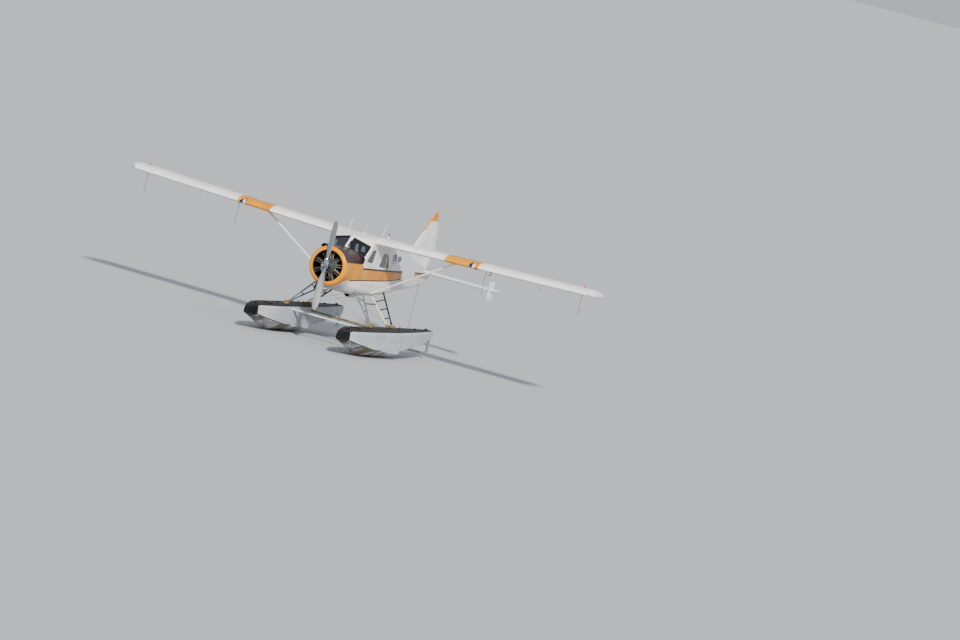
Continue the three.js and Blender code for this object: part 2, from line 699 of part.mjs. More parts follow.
// height, trailing edge, nose radius
const RUDDER_SECTIONS = [
  [175, 8380, 42],
  [320, 8560, 41],
  [700, 8660, 38],
  [1160, 8625, 32],
  [1600, 8425, 24],
  [1850, 8270, 18],
];
const rudder = cut(loft(RUDDER_SECTIONS.map(([height, trail, radius]) => [
  ...arc([RUDDER_HINGE, 0], radius, 90, 270, 6), [trail, -4], [trail, 4],
].map(([y, x]) => [x, y, height]))),
rod([0, RUDDER_HINGE, 100], [0, RUDDER_HINGE, 262], 22));
const rudderPost = rod([0, RUDDER_HINGE, TAILPLANE_HEIGHT + 10], [0, RUDDER_HINGE, 250], 20);

// span station, leading edge, half thickness
const TAILPLANE_SECTIONS = [
  [-2260, 7850, 36], [-60, 7720, 48], [60, 7720, 48], [2260, 7850, 36],
];
const TAILPLANE_REAR = ELEVATOR_HINGE - 46;
function tailplaneRing([span, lead, half]) {
  const at = (share, rise) => [span, lead + (TAILPLANE_REAR - lead) * share,
    TAILPLANE_HEIGHT + rise];
  return [at(0, 3), at(0.1, half * 0.65), at(0.4, half), at(1, half * 0.85),
    at(1, -half * 0.85), at(0.4, -half), at(0.1, -half * 0.65), at(0, -3)];
}

function foilRing(span, lead, trail, half) {
  const at = (share, rise) => [span, lead + (trail - lead) * share, TAILPLANE_HEIGHT + rise];
  return [at(0, 3), at(0.1, half * 0.65), at(0.4, half), at(1, 3),
    at(1, -3), at(0.4, -half), at(0.1, -half * 0.65), at(0, -3)];
}
const ELEVATOR_END = 2250;
const elevatorPin = (side, from, to, diameter) => rod([side * from, ELEVATOR_HINGE,
  TAILPLANE_HEIGHT], [side * to, ELEVATOR_HINGE, TAILPLANE_HEIGHT], diameter);
const tailplane = join(
  loft(TAILPLANE_SECTIONS.map(tailplaneRing)),
  rudderPost,
  ...[1, -1].flatMap((side) => [
    loft([[ELEVATOR_END + 8, 7850, 8650, 36], [2350, 7960, 8590, 28], [2415, 8120, 8440, 12]]
      .map(([span, lead, trail, half]) => foilRing(side * span, lead, trail, half))),
    elevatorPin(side, ELEVATOR_END - PIN_LENGTH, ELEVATOR_END + 20, PIN),
  ]));

const FINLET_SPAN = 2250;
const finlet = clearOf(loft([-200, -160, 320, 360].map((height, i) => {
  const [lead, trail] = [[7840, 8160], [7800, 8200], [7800, 8200], [7840, 8160]][i];
  return [[FINLET_SPAN - 9, lead, height], [FINLET_SPAN + 9, lead, height],
    [FINLET_SPAN + 9, trail, height], [FINLET_SPAN - 9, trail, height]];
})), tailplane);

// The elevator's halves meet in a torque tube that passes over the tail cone.
const ELEVATOR_NOSE = 38;
const elevatorHalf = (side) => loft([[150, 8400], [330, 8705], [ELEVATOR_END - 6, 8650],
].map(([span, trail]) => [
  ...arc([ELEVATOR_HINGE, TAILPLANE_HEIGHT], ELEVATOR_NOSE, 80, 280, 6),
  [trail, TAILPLANE_HEIGHT - 4], [trail, TAILPLANE_HEIGHT + 4],
].map(([y, z]) => [side * span, y, z])));
const elevator = cut(join(elevatorHalf(1), elevatorHalf(-1),
  rod([-160, ELEVATOR_HINGE, TAILPLANE_HEIGHT], [160, ELEVATOR_HINGE, TAILPLANE_HEIGHT], 44, 12)),
...[1, -1].map((side) => elevatorPin(side, ELEVATOR_END - PIN_LENGTH - 10, ELEVATOR_END + 10,
  PIN + 2)));

const tailSeat = loft(TAILPLANE_SECTIONS.map(([span, lead, half]) => tailplaneRing([
  span, lead - 1, half + 1])));
const rearFuselage = cut(rearBlank, tailSeat,
  box([-200, 200], [8135, ELEVATOR_HINGE + 60], [TAILPLANE_HEIGHT, 200]),
  box([-200, 200], [TAILPLANE_REAR - 1, ELEVATOR_HINGE + 60], [55, 200]));
const fin = clearOf(finBlank, rearOuter);

// Floats: hull with keel, chines and step, bow bumper, cleats and stern lugs

// station, half beam at the chine, half beam at the gunwale, keel, chine, gunwale, crown
const FLOAT_SECTIONS = [
  [BOW_STATION, 24, 22, -1800, -1785, -1735, 6],
  [-1665, 58, 50, -1808, -1782, -1700, 10],
  [-1590, 92, 80, -1824, -1781, -1655, 16],
  [-1480, 130, 112, -1844, -1784, -1612, 24],
  [-1300, 185, 158, -1878, -1794, -1576, 36],
  [-1050, 258, 222, -1935, -1830, -1550, 50],
  [-780, 330, 290, -2018, -1872, -1534, 58],
  [-500, 375, 333, -2100, -1905, -1525, 64],
  [-200, 396, 355, -2168, -1940, -1518, 68],
  [100, 402, 365, -2215, -1965, -1514, 70],
  [500, 405, 370, -KEEL_DEPTH, -2005, -1509, 70],
  [STEP_STATION, 405, 370, -KEEL_DEPTH, -2050, -1475, 70],
  [STEP_STATION + 3, 400, 368, -2155, -1965, -1475, 70],
  [4300, 320, 300, -1905, -1785, -1448, 60],
  [5900, 150, 140, -1640, -1600, -1400, 30],
];
const floatRing = ([station, chine, gunwale, keel, chineHeight, deck, crown]) => [
  [0, keel], [chine, chineHeight], [gunwale + 6, deck - 40], [gunwale, deck],
  [gunwale * 0.5, deck + crown * 0.85], [-gunwale * 0.5, deck + crown * 0.85],
  [-gunwale, deck], [-gunwale - 6, deck - 40], [-chine, chineHeight],
].map(([x, z]) => [FLOAT_CENTRE + x, station, z]);
const hull = loft(FLOAT_SECTIONS.map(floatRing));

const BUMPER_END = -1230;
const bumperBox = box([FLOAT_CENTRE - 400, FLOAT_CENTRE + 400], [BOW_STATION - 50, BUMPER_END],
  [-2300, -1400]);
const bumper = common(hull, bumperBox);
const cleatAt = (station, deck) => join(
  box([FLOAT_CENTRE - 45, FLOAT_CENTRE + 45], [station - 45, station + 45], [deck - 30, deck + 12]),
  box([FLOAT_CENTRE - 22, FLOAT_CENTRE + 22], [station - 90, station + 90], [deck + 10, deck + 40]));
// station, deck height
const CLEATS = [[-1000, -1508], [700, -1450], [4610, -1396], [5600, -1376]];
const WATER_RUDDER = { station: 5950, top: -1400, bottom: -1610, pin: 16 };
const postRod = (low, high, diameter) => rod([FLOAT_CENTRE, WATER_RUDDER.station, low],
  [FLOAT_CENTRE, WATER_RUDDER.station, high], diameter);
const sternLug = (low, high) => box([FLOAT_CENTRE - 22, FLOAT_CENTRE + 22],
  [5860, WATER_RUDDER.station + 20], [low, high]);
const floatHull = join(
  cut(hull, moved(bumperBox, 0, GAP, GAP)),
  ...CLEATS.map(([station, deck]) => cleatAt(station, deck)),
  sternLug(WATER_RUDDER.top + 1, WATER_RUDDER.top + 16),
  sternLug(WATER_RUDDER.bottom - 16, WATER_RUDDER.bottom - 1),
  postRod(WATER_RUDDER.bottom - 10, WATER_RUDDER.top + 10, WATER_RUDDER.pin));
const waterRudder = cut(join(
  postRod(WATER_RUDDER.bottom, WATER_RUDDER.top, 40),
  across([[5955, -1420], [6060, -1420], [6190, -1640], [6230, -2020], [6010, -2060],
    [5990, -1700], [5990, -1600], [5955, -1595]], [FLOAT_CENTRE - 7, FLOAT_CENTRE + 7])),
postRod(WATER_RUDDER.bottom - 20, WATER_RUDDER.top + 20, WATER_RUDDER.pin + 2));

// Float struts

const footAt = (station) => [STRUT_FOOT, station, -1400];
const TUBE = 46;
const RUNG = 36;
function ladderRungs([fromFoot, fromTop], [toFoot, toTop], shares) {
  return shares.map((share) => rod(between(fromFoot, fromTop, share), between(toFoot, toTop, share),
    RUNG, 6));
}
const frontRails = [
  [footAt(FRONT_FOOT_STATION), [540, 1150, -500]],
  [footAt(FRONT_FOOT_STATION + 30), [540, 1960, -610]],
];
const rearRails = [
  [footAt(REAR_FOOT_STATION), [540, 2620, -610]],
  [footAt(LADDER_FOOT_STATION), [575, 3520, -480]],
];
const footBlock = (station) => box([STRUT_FOOT - 60, STRUT_FOOT + 60], [station - 70, station + 70],
  [-1460, -1340]);
// Bracing wires cross from each float to the other side of the belly. Their stations differ a
// little from side to side, so that they pass each other.
const WIRE = 8;
const WIRE_SHIFT = 12;
const wires = (side, rows) => rows.map(([footStation, topStation]) => rod(
  [side * (STRUT_FOOT - 20), footStation + side * WIRE_SHIFT, -1370],
  [-side * 480, topStation + side * WIRE_SHIFT, -640], WIRE, 6));
// station at the foot, station at the belly
const FRONT_WIRES = [[1140, 1175]];
const REAR_WIRES = [[2650, 2710]];
function braced(struts, side, rows) {
  const ownSide = (shape) => (side > 0 ? shape : mirrored(shape));
  return join(ownSide(struts), ...wires(side, rows).map(
    (wire) => clearOf(wire, cabinOuter, ownSide(floatHull))));
}

// A step runs aft from the second front rail to the flat front of the rear struts.
const RAIL_FRONT = 35 * Math.cos(Math.PI / 8);
const stepStart = between(...frontRails[1], 0.68);
const stepBar = rod(stepStart, [stepStart[0], REAR_FOOT_STATION - RAIL_FRONT - GAP,
  stepStart[2]], RUNG, 8);
const frontStruts = clearOf(join(
  ...frontRails.map(([foot, top]) => bar(foot, top, 70, TUBE)),
  ...ladderRungs(frontRails[0], frontRails[1], [0.43, 0.75]), stepBar,
  footBlock(FRONT_FOOT_STATION + 10)), floatHull, cabinOuter);
const rearStruts = clearOf(join(
  ...rearRails.map(([foot, top]) => bar(foot, top, 70, TUBE)),
  ...ladderRungs(rearRails[0], rearRails[1], [0.255, 0.515, 0.755]),
  footBlock(REAR_FOOT_STATION), footBlock(LADDER_FOOT_STATION)), floatHull, cabinOuter, wingStrut);

const SPREADER_HEIGHT = -1535;
const spreader = (station) => clearOf(bar([-FLOAT_CENTRE + 300, station, SPREADER_HEIGHT],
  [FLOAT_CENTRE - 300, station, SPREADER_HEIGHT], 150, 55, 12), floatHull, mirrored(floatHull));

// Cabin fittings

const instrumentPanel = clearOf(common(join(
  box([-590, 590], [1190, 1225], [60, 330]),
  box([-590, 590], [1190, 1290], [300, 345]),
  box([-110, 110], [1190, 1260], [FLOOR_TOP - 10, 100])), cabinOuter),
portSide, mirrored(portSide), cabinFloor, noseDeck);
const controlColumn = clearOf(join(
  rod([0, 1400, FLOOR_TOP - 10], [0, 1460, 110], 60),
  rod([0, 1460, 90], [300, 1470, 150], 44),
  rod([300, 1470, 150], [300, 1560, 150], 36),
  new THREE.TorusGeometry(125, 14, 6, 16).rotateX(Math.PI / 2).translate(300, 1560, 150),
  box([190, 410], [1550, 1570], [138, 162])), cabinFloor);
const crewSeat = (x) => clearOf(join(
  box([x - 170, x + 170], [1720, 2060], [FLOOR_TOP - 10, -190]),
  box([x - 225, x + 225], [1680, 2120], [-200, -70]),
  loft([[-120, 2050, 2170], [420, 2130, 2220]].map(([height, front, back]) => [
    [x - 215, front, height], [x + 215, front, height], [x + 215, back, height],
    [x - 215, back, height]]))), cabinFloor);
const benchSeat = clearOf(join(
  box([-450, 450], [3060, 3440], [FLOOR_TOP - 10, -210]),
  box([-500, 500], [3000, 3500], [-220, -90]),
  loft([[-140, 3430, 3560], [400, 3520, 3620]].map(([height, front, back]) => [
    [-500, front, height], [500, front, height], [500, back, height], [-500, back, height]]))),
cabinFloor);

// Ropes: [x, station, height] points by hand along each rope's middle

const ROPE = 12;
const wingRope = (span, length) => {
  const top = underside(span) - LUG_DROP - GAP;
  return [
    [span, TIE_STATION, top], [span, TIE_STATION, top - 60],
    [span + 2, TIE_STATION + 4, top - 0.3 * length],
    [span + 5, TIE_STATION + 12, top - 0.6 * length],
    [span + 4, TIE_STATION + 18, top - 0.82 * length], [span, TIE_STATION + 20, top - length]];
};
const FLOOR = -KEEL_DEPTH + ROPE / 2 + 1;
const TAIL_ROPE = [
  [0, RING_STATION, RING_HEIGHT - GAP], [0, RING_STATION, -420], [0, 8141, -700],
  [2, 8144, -1050], [5, 8148, -1400], [8, 8152, -1750], [10, 8158, -2040], [13, 8172, -2160],
  [20, 8205, FLOOR + 22], [34, 8260, FLOOR + 2],
  [80, 8390, FLOOR], [180, 8480, FLOOR], [310, 8520, FLOOR],
  [440, 8480, FLOOR], [500, 8370, FLOOR], [470, 8240, FLOOR], [370, 8160, FLOOR],
  [260, 8120, FLOOR], [180, 8050, FLOOR], [120, 7950, FLOOR], [95, 7840, FLOOR]];
function rope(points, steps) {
  const path = new THREE.CatmullRomCurve3(points.map((point) => new THREE.Vector3(...point)),
    false, 'centripetal');
  const section = new THREE.Shape(Array.from({ length: 8 }, (_, i) => {
    const angle = (i / 8) * 2 * Math.PI;
    return new THREE.Vector2(Math.cos(angle) * (ROPE / 2), Math.sin(angle) * (ROPE / 2));
  }));
  return merged(new THREE.ExtrudeGeometry(section, { steps, bevelEnabled: false,
    extrudePath: path }));
}

// Materials

const finish = (color, roughness, metalness = 0) => new THREE.MeshStandardMaterial({
  color, roughness, metalness });
const white = finish(0xeceae4, 0.35);
const orange = finish(0xf08a10, 0.3);
const maroon = finish(0x2c1f24, 0.7);
const greyPaint = finish(0x9fa8b4, 0.4);
const strutGrey = finish(0x8c8f94, 0.45);
const bareMetal = finish(0x9aa3ad, 0.3, 0.9);
const engineMetal = finish(0x45474a, 0.5, 0.8);
const darkRubber = finish(0x17171a, 0.8);
const glazing = finish(0x9fb4c4, 0.05);
const cabinGrey = finish(0x4a4a4d, 0.7);
const seatRed = finish(0x6b2a24, 0.8);
const ropeBrown = finish(0x54453a, 0.9);

// Assembly

const aircraft = new THREE.Group();
aircraft.position.set(0, -MID_STATION, KEEL_DEPTH);

function place(name, geometry, material) {
  const mesh = new THREE.Mesh(geometry, material);
  mesh.name = name;
  aircraft.add(mesh);
}

function placePair(name, geometry, material) {
  place(`${name}_port`, geometry, material);
  place(`${name}_starboard`, mirrored(geometry), material);
}

place('cowling', cowling, orange);
place('engine', engine, engineMetal);
place('propeller', propeller, bareMetal);
place('chin_scoop', chinScoop, white);
place('side_scoop', sideScoop, maroon);
place('nose_deck', noseDeck, maroon);
place('cabin_floor', cabinFloor, white);
place('cabin_roof', cabinRoof, white);
place('windscreen_frame', windscreenFrame, white);
place('rear_fuselage', rearFuselage, white);
place('instrument_panel', instrumentPanel, cabinGrey);
place('control_column', controlColumn, cabinGrey);
place('crew_seat_port', crewSeat(290), seatRed);
place('crew_seat_starboard', crewSeat(-290), seatRed);
place('bench_seat', benchSeat, seatRed);
place('fin', fin, white);
place('rudder', rudder, white);
place('tailplane', tailplane, white);
place('elevator', elevator, white);
place('front_spreader', spreader(FRONT_FOOT_STATION), bareMetal);
place('rear_spreader', spreader(REAR_FOOT_STATION), strutGrey);
placePair('cabin_side', portSide, white);
placePair('crew_door', crewDoor, white);
placePair('cabin_door', cabinDoor, white);
placePair('crew_door_glass', crewGlass, glazing);
placePair('cabin_door_glass', cabinGlass, glazing);
placePair('rear_glass', rearGlass, glazing);
placePair('windscreen', windscreenPane(1), glazing);
place('wing_port', portWing, white);
place('wing_starboard', mirrored(wing), white);
placePair('flap', flap, white);
placePair('aileron', aileron, white);
placePair('wing_strut', wingStrut, white);
placePair('finlet', finlet, white);
placePair('float', floatHull, greyPaint);
placePair('bow_bumper', bumper, darkRubber);
place('front_struts_port', braced(frontStruts, 1, FRONT_WIRES), strutGrey);
place('front_struts_starboard', braced(frontStruts, -1, FRONT_WIRES), strutGrey);
place('rear_struts_port', braced(rearStruts, 1, REAR_WIRES), strutGrey);
place('rear_struts_starboard', braced(rearStruts, -1, REAR_WIRES), strutGrey);
placePair('water_rudder', waterRudder, greyPaint);
placePair('band_rope', rope(wingRope(TIE_SPANS[0], 600), 14), ropeBrown);
placePair('tip_rope', rope(wingRope(TIE_SPANS[1], 540), 14), ropeBrown);
place('tail_rope', rope(TAIL_ROPE, 44), ropeBrown);

export default aircraft;
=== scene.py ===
# %% [markdown]
# # A twin-float seaplane in Blender
# The solids of the machine were made in a CAD program and packed as a fixed frame. This
# notebook loads that frame and dresses it: every rough solid is covered by a finer piece of
# the same size in the same place, and every piece gets a finish.
# Blender works in metres here, with +X to port, +Y aft and +Z up, and the floats stand on
# the floor at height 0.

import math
import bmesh
import bpy
import numpy as np
from mathutils import Matrix, Vector, bvhtree


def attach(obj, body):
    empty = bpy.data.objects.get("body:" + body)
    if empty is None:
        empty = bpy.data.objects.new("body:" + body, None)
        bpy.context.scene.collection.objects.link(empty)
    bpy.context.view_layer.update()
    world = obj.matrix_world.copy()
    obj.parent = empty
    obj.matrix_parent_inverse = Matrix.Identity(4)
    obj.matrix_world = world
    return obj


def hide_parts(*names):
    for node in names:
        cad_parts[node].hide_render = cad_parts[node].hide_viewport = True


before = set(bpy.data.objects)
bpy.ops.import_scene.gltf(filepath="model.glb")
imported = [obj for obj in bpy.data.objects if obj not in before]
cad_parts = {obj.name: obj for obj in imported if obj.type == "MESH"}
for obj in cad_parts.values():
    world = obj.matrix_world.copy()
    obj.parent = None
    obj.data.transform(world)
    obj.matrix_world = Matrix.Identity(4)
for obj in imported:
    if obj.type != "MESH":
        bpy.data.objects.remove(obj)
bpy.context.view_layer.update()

# %% [markdown]
# The machine's drawings use stations: millimetres aft of the cowling's lip, and heights above
# the propeller's axis. Every table below uses them, so one small function turns such points
# into metres in Blender's frame.

# %% Stations and heights to metres
MID_STATION = 3520
THRUST_HEIGHT = 2250


def place(points):
    """Points of (x, station, height) in millimetres, moved into Blender's frame."""
    points = np.asarray(points, float)
    return (points + np.array([0, -MID_STATION, THRUST_HEIGHT])) / 1000


print("cowling lip:", place([0, 0, 0]))

# %% [markdown]
# The photograph was taken with a long lens from far away, slightly above the machine, off its
# port bow, and the frame leans. The camera is placed by its distance, azimuth and elevation
# from a point that it looks at, and then rolled about its own axis.

# %% Camera
CAMERA_AIM = Vector((3.642, 0.0, 1.7205))
CAMERA_DISTANCE = 200.25
CAMERA_AZIMUTH = math.radians(18.3276)
CAMERA_ELEVATION = math.radians(3.5416)
CAMERA_ROLL = math.radians(14.7428)

back = Vector((
    math.sin(CAMERA_AZIMUTH) * math.cos(CAMERA_ELEVATION),
    -math.cos(CAMERA_AZIMUTH) * math.cos(CAMERA_ELEVATION),
    math.sin(CAMERA_ELEVATION),
))
level_right = Vector((math.cos(CAMERA_AZIMUTH), math.sin(CAMERA_AZIMUTH), 0))
level_up = back.cross(level_right)
right = level_right * math.cos(CAMERA_ROLL) + level_up * math.sin(CAMERA_ROLL)
up = level_up * math.cos(CAMERA_ROLL) - level_right * math.sin(CAMERA_ROLL)

camera = bpy.data.objects.new("camera", bpy.data.cameras.new("camera"))
bpy.context.scene.collection.objects.link(camera)
camera.data.lens = 262.65
camera.data.sensor_width = 36
camera.data.clip_start = 1
camera.data.clip_end = 8000
turn = Matrix((right, up, back)).transposed()
camera.matrix_world = Matrix.Translation(CAMERA_AIM + back * CAMERA_DISTANCE) @ turn.to_4x4()
bpy.context.scene.camera = camera
print("camera at", [round(value, 2) for value in camera.location])

# %% [markdown]
# A shader is a tree of nodes. One helper adds a node, sets its options, and fills each input
# with a value or a link. Short ones after it stand for the nodes that come up most. Colours
# are written as the hex codes of a paint chart and turned to the linear values that light
# needs.

# %% Node and colour helpers
def feed(tree, made, inputs):
    """Give a node its inputs: a socket is linked, any other value is set."""
    for name, value in inputs.items():
        if isinstance(value, bpy.types.NodeSocket):
            tree.links.new(value, made.inputs[name])
        else:
            made.inputs[name].default_value = value
    return made


def node(tree, kind, inputs=None, **settings):
    """Add one node with its settings and inputs."""
    made = tree.nodes.new(kind)
    for name, value in settings.items():
        setattr(made, name, value)
    return feed(tree, made, inputs or {})


def linear(code):
    """A colour from its sRGB hex code, with full opacity."""
    channels = [int(code[i:i + 2], 16) / 255 for i in (0, 2, 4)]
    return [c / 12.92 if c <= 0.04045 else ((c + 0.055) / 1.055) ** 2.4 for c in channels] + [1]


def calc(tree, operation, *values):
    """The value of one math node."""
    return node(tree, "ShaderNodeMath", dict(enumerate(values)), operation=operation).outputs[0]


def remap(tree, value, low, high, to_low=0.0, to_high=1.0, **settings):
    """A value taken from one range to another and held inside it."""
    ranges = {"Value": value, "From Min": low, "From Max": high, "To Min": to_low,
              "To Max": to_high}
    return node(tree, "ShaderNodeMapRange", ranges, **settings).outputs["Result"]


def noise_of(tree, vector, scale, detail, roughness=0.5):
    """Soft random patches between 0 and 1."""
    inputs = {"Vector": vector, "Scale": scale, "Detail": detail, "Roughness": roughness}
    return node(tree, "ShaderNodeTexNoise", inputs).outputs["Fac"]


def blend(tree, share, first, second):
    """Two colours, each a hex code or a socket, mixed by a share."""
    first, second = (linear(c) if isinstance(c, str) else c for c in (first, second))
    return node(tree, "ShaderNodeMix", {"Factor": share, "A": first, "B": second},
                data_type="RGBA").outputs["Result"]


def bumped(tree, height, strength, distance, normal=None):
    """A normal bent by a height, on top of another normal where one is given."""
    inputs = {"Height": height, "Strength": strength, "Distance": distance}
    if normal is not None:
        inputs["Normal"] = normal
    return node(tree, "ShaderNodeBump", inputs).outputs["Normal"]


def stretched(tree, vector, scale):
    return node(tree, "ShaderNodeMapping", {"Vector": vector, "Scale": scale}).outputs["Vector"]


def new_finish(name):
    """An empty material and its node tree."""
    made = bpy.data.materials.new(name)
    made.use_nodes = True
    return made, made.node_tree


def set_surface(tree, inputs):
    """Give the material's surface its colours and values."""
    feed(tree, tree.nodes["Principled BSDF"], inputs)


def in_scene(name, data):
    """An object with its data, linked to the scene."""
    made = bpy.data.objects.new(name, data)
    bpy.context.scene.collection.objects.link(made)
    return made


print("white enamel:", linear("ecebe6"))

# %% [markdown]
# The machine stands on a plain pale floor. The camera looks along it almost level, so the
# floor is very wide and the background has its tone. The light is a broad, soft sun from
# ahead, port and above, as late sun falls on the real one, and the pale sky fills the shade.

# %% Floor, background and light
FLOOR_DROP = 0.002
FLOOR_REACH = 3000
floor_mesh = bpy.data.meshes.new("floor")
floor_mesh.from_pydata([(x * FLOOR_REACH, y * FLOOR_REACH, -FLOOR_DROP) for x, y in
                        ((-1, -1), (1, -1), (1, 1), (-1, 1))], [], [(0, 1, 2, 3)])
floor = in_scene("floor", floor_mesh)

plaster, tree = new_finish("pale plaster floor")
where = node(tree, "ShaderNodeTexCoord")
mottle = noise_of(tree, where.outputs["Object"], 0.4, 6)
tones = blend(tree, mottle, "b2b6bb", "babdc1")
set_surface(tree, {"Base Color": tones, "Roughness": 0.9})
floor_mesh.materials.append(plaster)

world = bpy.data.worlds.new("pale sky")
bpy.context.scene.world = world
world.use_nodes = True
feed(world.node_tree, world.node_tree.nodes["Background"],
     {"Color": linear("dfe5ee"), "Strength": 0.72})

sun = in_scene("sun", bpy.data.lights.new("sun", "SUN"))
sun.data.energy = 6.2
sun.data.angle = math.radians(4)
sun.data.color = (1.0, 0.955, 0.89)
sun_from = Vector((0.42, -0.80, 0.46))
sun.rotation_euler = sun_from.to_track_quat("Z", "Y").to_euler()
print("sun stands", round(math.degrees(math.asin(sun_from.normalized().z))), "degrees high")

# %% [markdown]
# Most of the machine is sheet metal bent over frames. A loft does the same in mesh code: it
# joins cross sections, ring after ring, with four-sided faces. The helpers below make such
# bodies, cut them, copy them to the other side and hand them to the frame.

# %% Meshes from rings
def loft(rings, capped=True):
    """Points and faces of a skin through rings that have the same number of points."""
    rings = np.asarray(rings, float)
    count, width = rings.shape[:2]
    faces = [(i * width + j, i * width + (j + 1) % width,
              (i + 1) * width + (j + 1) % width, (i + 1) * width + j)
             for i in range(count - 1) for j in range(width)]
    if capped:
        faces += [tuple(range(width)), tuple(range((count - 1) * width, count * width))]
    return rings.reshape(-1, 3), faces


def together(*shapes):
    """Several shapes as the points and faces of one."""
    points, faces, start = [], [], 0
    for shape_points, shape_faces in shapes:
        points.append(np.asarray(shape_points, float))
        faces += [tuple(corner + start for corner in face) for face in shape_faces]
        start += len(shape_points)
    return np.concatenate(points), faces


def mirrored(shape):
    """The shape on the other side of the machine's middle plane."""
    points, faces = shape
    return np.asarray(points, float) * [-1, 1, 1], [face[::-1] for face in faces]


def block(x, station, height):
    """A box between pairs of values."""
    return loft([[(x[0], s, height[0]), (x[1], s, height[0]), (x[1], s, height[1]),
                  (x[0], s, height[1])] for s in station])


def turned(profile, sides, centre=(0, 0)):
    """A profile of (station, radius) rows, turned about a line that runs fore and aft."""
    angles = np.arange(sides) * 2 * math.pi / sides
    return loft([[(centre[0] + radius * math.cos(a), station, centre[1] + radius * math.sin(a))
                  for a in angles] for station, radius in profile])


def bar(start, end, chord, thickness, sides=12, fore=(0, 1, 0)):
    """A straight bar whose section is an oval; its chord lies along fore as far as it can."""
    start, end = np.asarray(start, float), np.asarray(end, float)
    run = (end - start) / np.linalg.norm(end - start)
    fore = np.asarray(fore, float)
    fore = fore - run * fore.dot(run)
    fore /= np.linalg.norm(fore)
    side = np.cross(run, fore)
    angles = (np.arange(sides) + 0.5) * 2 * math.pi / sides
    section = (np.cos(angles)[:, None] * fore * chord + np.sin(angles)[:, None] * side
               * thickness) / 2
    return loft([start + section, end + section])


def rod(start, end, diameter, sides=12):
    run = np.subtract(end, start)
    fore = (0, 1, 0) if abs(run[1]) < 0.9 * np.linalg.norm(run) else (0, 0, 1)
    return bar(start, end, diameter, diameter, sides, fore)


def smoothed(table, spacing):
    """Finer rows between a table's rows, on a curve that never swings past them."""
    rows = np.array(table, float)
    gap = np.diff(rows[:, 0])
    slope = np.diff(rows, axis=0) / gap[:, None]
    tangent = np.zeros_like(rows)
    tangent[0], tangent[-1] = slope[0], slope[-1]
    for i in range(1, len(rows) - 1):
        before, after = slope[i - 1], slope[i]
        same = before * after > 1e-12
        safe_before, safe_after = np.where(same, before, 1), np.where(same, after, 1)
        first, second = 2 * gap[i] + gap[i - 1], gap[i] + 2 * gap[i - 1]
        tangent[i] = np.where(same, (first + second) / (first / safe_before
                                                        + second / safe_after), 0)
    fine = []
    for i, length in enumerate(gap):
        for t in np.arange(0, 1, 1 / max(1, round(length / spacing))):
            weights = (2 * t**3 - 3 * t**2 + 1, t**3 - 2 * t**2 + t, 3 * t**2 - 2 * t**3,
                       t**3 - t**2)
            fine.append(weights[0] * rows[i] + weights[1] * length * tangent[i]
                        + weights[2] * rows[i + 1] + weights[3] * length * tangent[i + 1])
    return np.array(fine + [rows[-1]])


# %% Pieces in the scene
def piece(name, shape, sharp_angle=32):
    """A shape in millimetres becomes an object, facing out and shaded smooth to an angle."""
    points, faces = shape
    mesh = bpy.data.meshes.new(name)
    mesh.from_pydata(place(points).tolist(), [], faces)
    work = bmesh.new()
    work.from_mesh(mesh)
    bmesh.ops.remove_doubles(work, verts=work.verts, dist=2e-5)
    bmesh.ops.recalc_face_normals(work, faces=work.faces)
    work.to_mesh(mesh)
    work.free()
    made = in_scene(name, mesh)
    shade(made, sharp_angle)
    return made


def shade(made, sharp_angle=32):
    made.data.shade_smooth()
    made.data.set_sharp_from_angle(angle=math.radians(sharp_angle))


def baked(made, sharp_angle=None):
    """Turn an object's live modifiers into plain mesh."""
    graph = bpy.context.evaluated_depsgraph_get()
    mesh = bpy.data.meshes.new_from_object(made.evaluated_get(graph))
    made.modifiers.clear()
    old = made.data
    made.data = mesh
    mesh.name = made.name
    if old.users == 0:
        bpy.data.meshes.remove(old)
    if sharp_angle:
        shade(made, sharp_angle)
    return made


def worked(made, tool, operation, *shading):
    """Work one piece with another, by the exact solver for closed bodies, and drop the tool."""
    step = made.modifiers.new("cut", "BOOLEAN")
    step.operation, step.solver, step.object = operation, "MANIFOLD", tool
    baked(made, *shading)
    bpy.data.objects.remove(tool)
    return made


def carved(made, *tools, operation="DIFFERENCE", sharp_angle=32):
    """Cut shapes off a piece, add them to it, or keep what lies inside them."""
    for tool in tools:
        worked(made, piece(f"{made.name}_tool", tool), operation)
    shade(made, sharp_angle)
    return made


def dressed(made, body, material, node_names=(), edge=0.0):
    """Ride on a body, stand for CAD nodes, and take a finish with softened edges."""
    if edge:
        soften = made.modifiers.new("soft edges", "BEVEL")
        soften.width = edge / 1000
        soften.segments = 2
        soften.limit_method = "ANGLE"
        soften.angle_limit = math.radians(40)
        soften.use_clamp_overlap = True
        baked(made)
    if not any(made.data.materials):
        made.data.materials.clear()
    for layer in material if isinstance(material, (list, tuple)) else [material]:
        if layer.name not in made.data.materials:
            made.data.materials.append(layer)
    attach(made, body)
    names = [node_names] if isinstance(node_names, str) else list(node_names)
    if names:
        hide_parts(*names)
    return made


# %% [markdown]
# Five mooring ropes hang from the machine: two below each wing and a longer one from the ring
# under the tail, which reaches the floor and lies there in a loose loop. A laid rope is three
# strands twisted together. It could be three separate tubes, but one tube whose radius swells
# three times round, with the swelling turning along the way, shows the same lay with fewer
# faces. The routes are the ones that the CAD solids follow.

# %% Rope routes
ROPE_DIAMETER = 12
WING_TIE_STATION = 2250
WING_RISE = math.tan(math.radians(1.88))
LUG_DROP = 34


def wing_underside(span):
    return 870 + span * WING_RISE - 0.048 * 1590


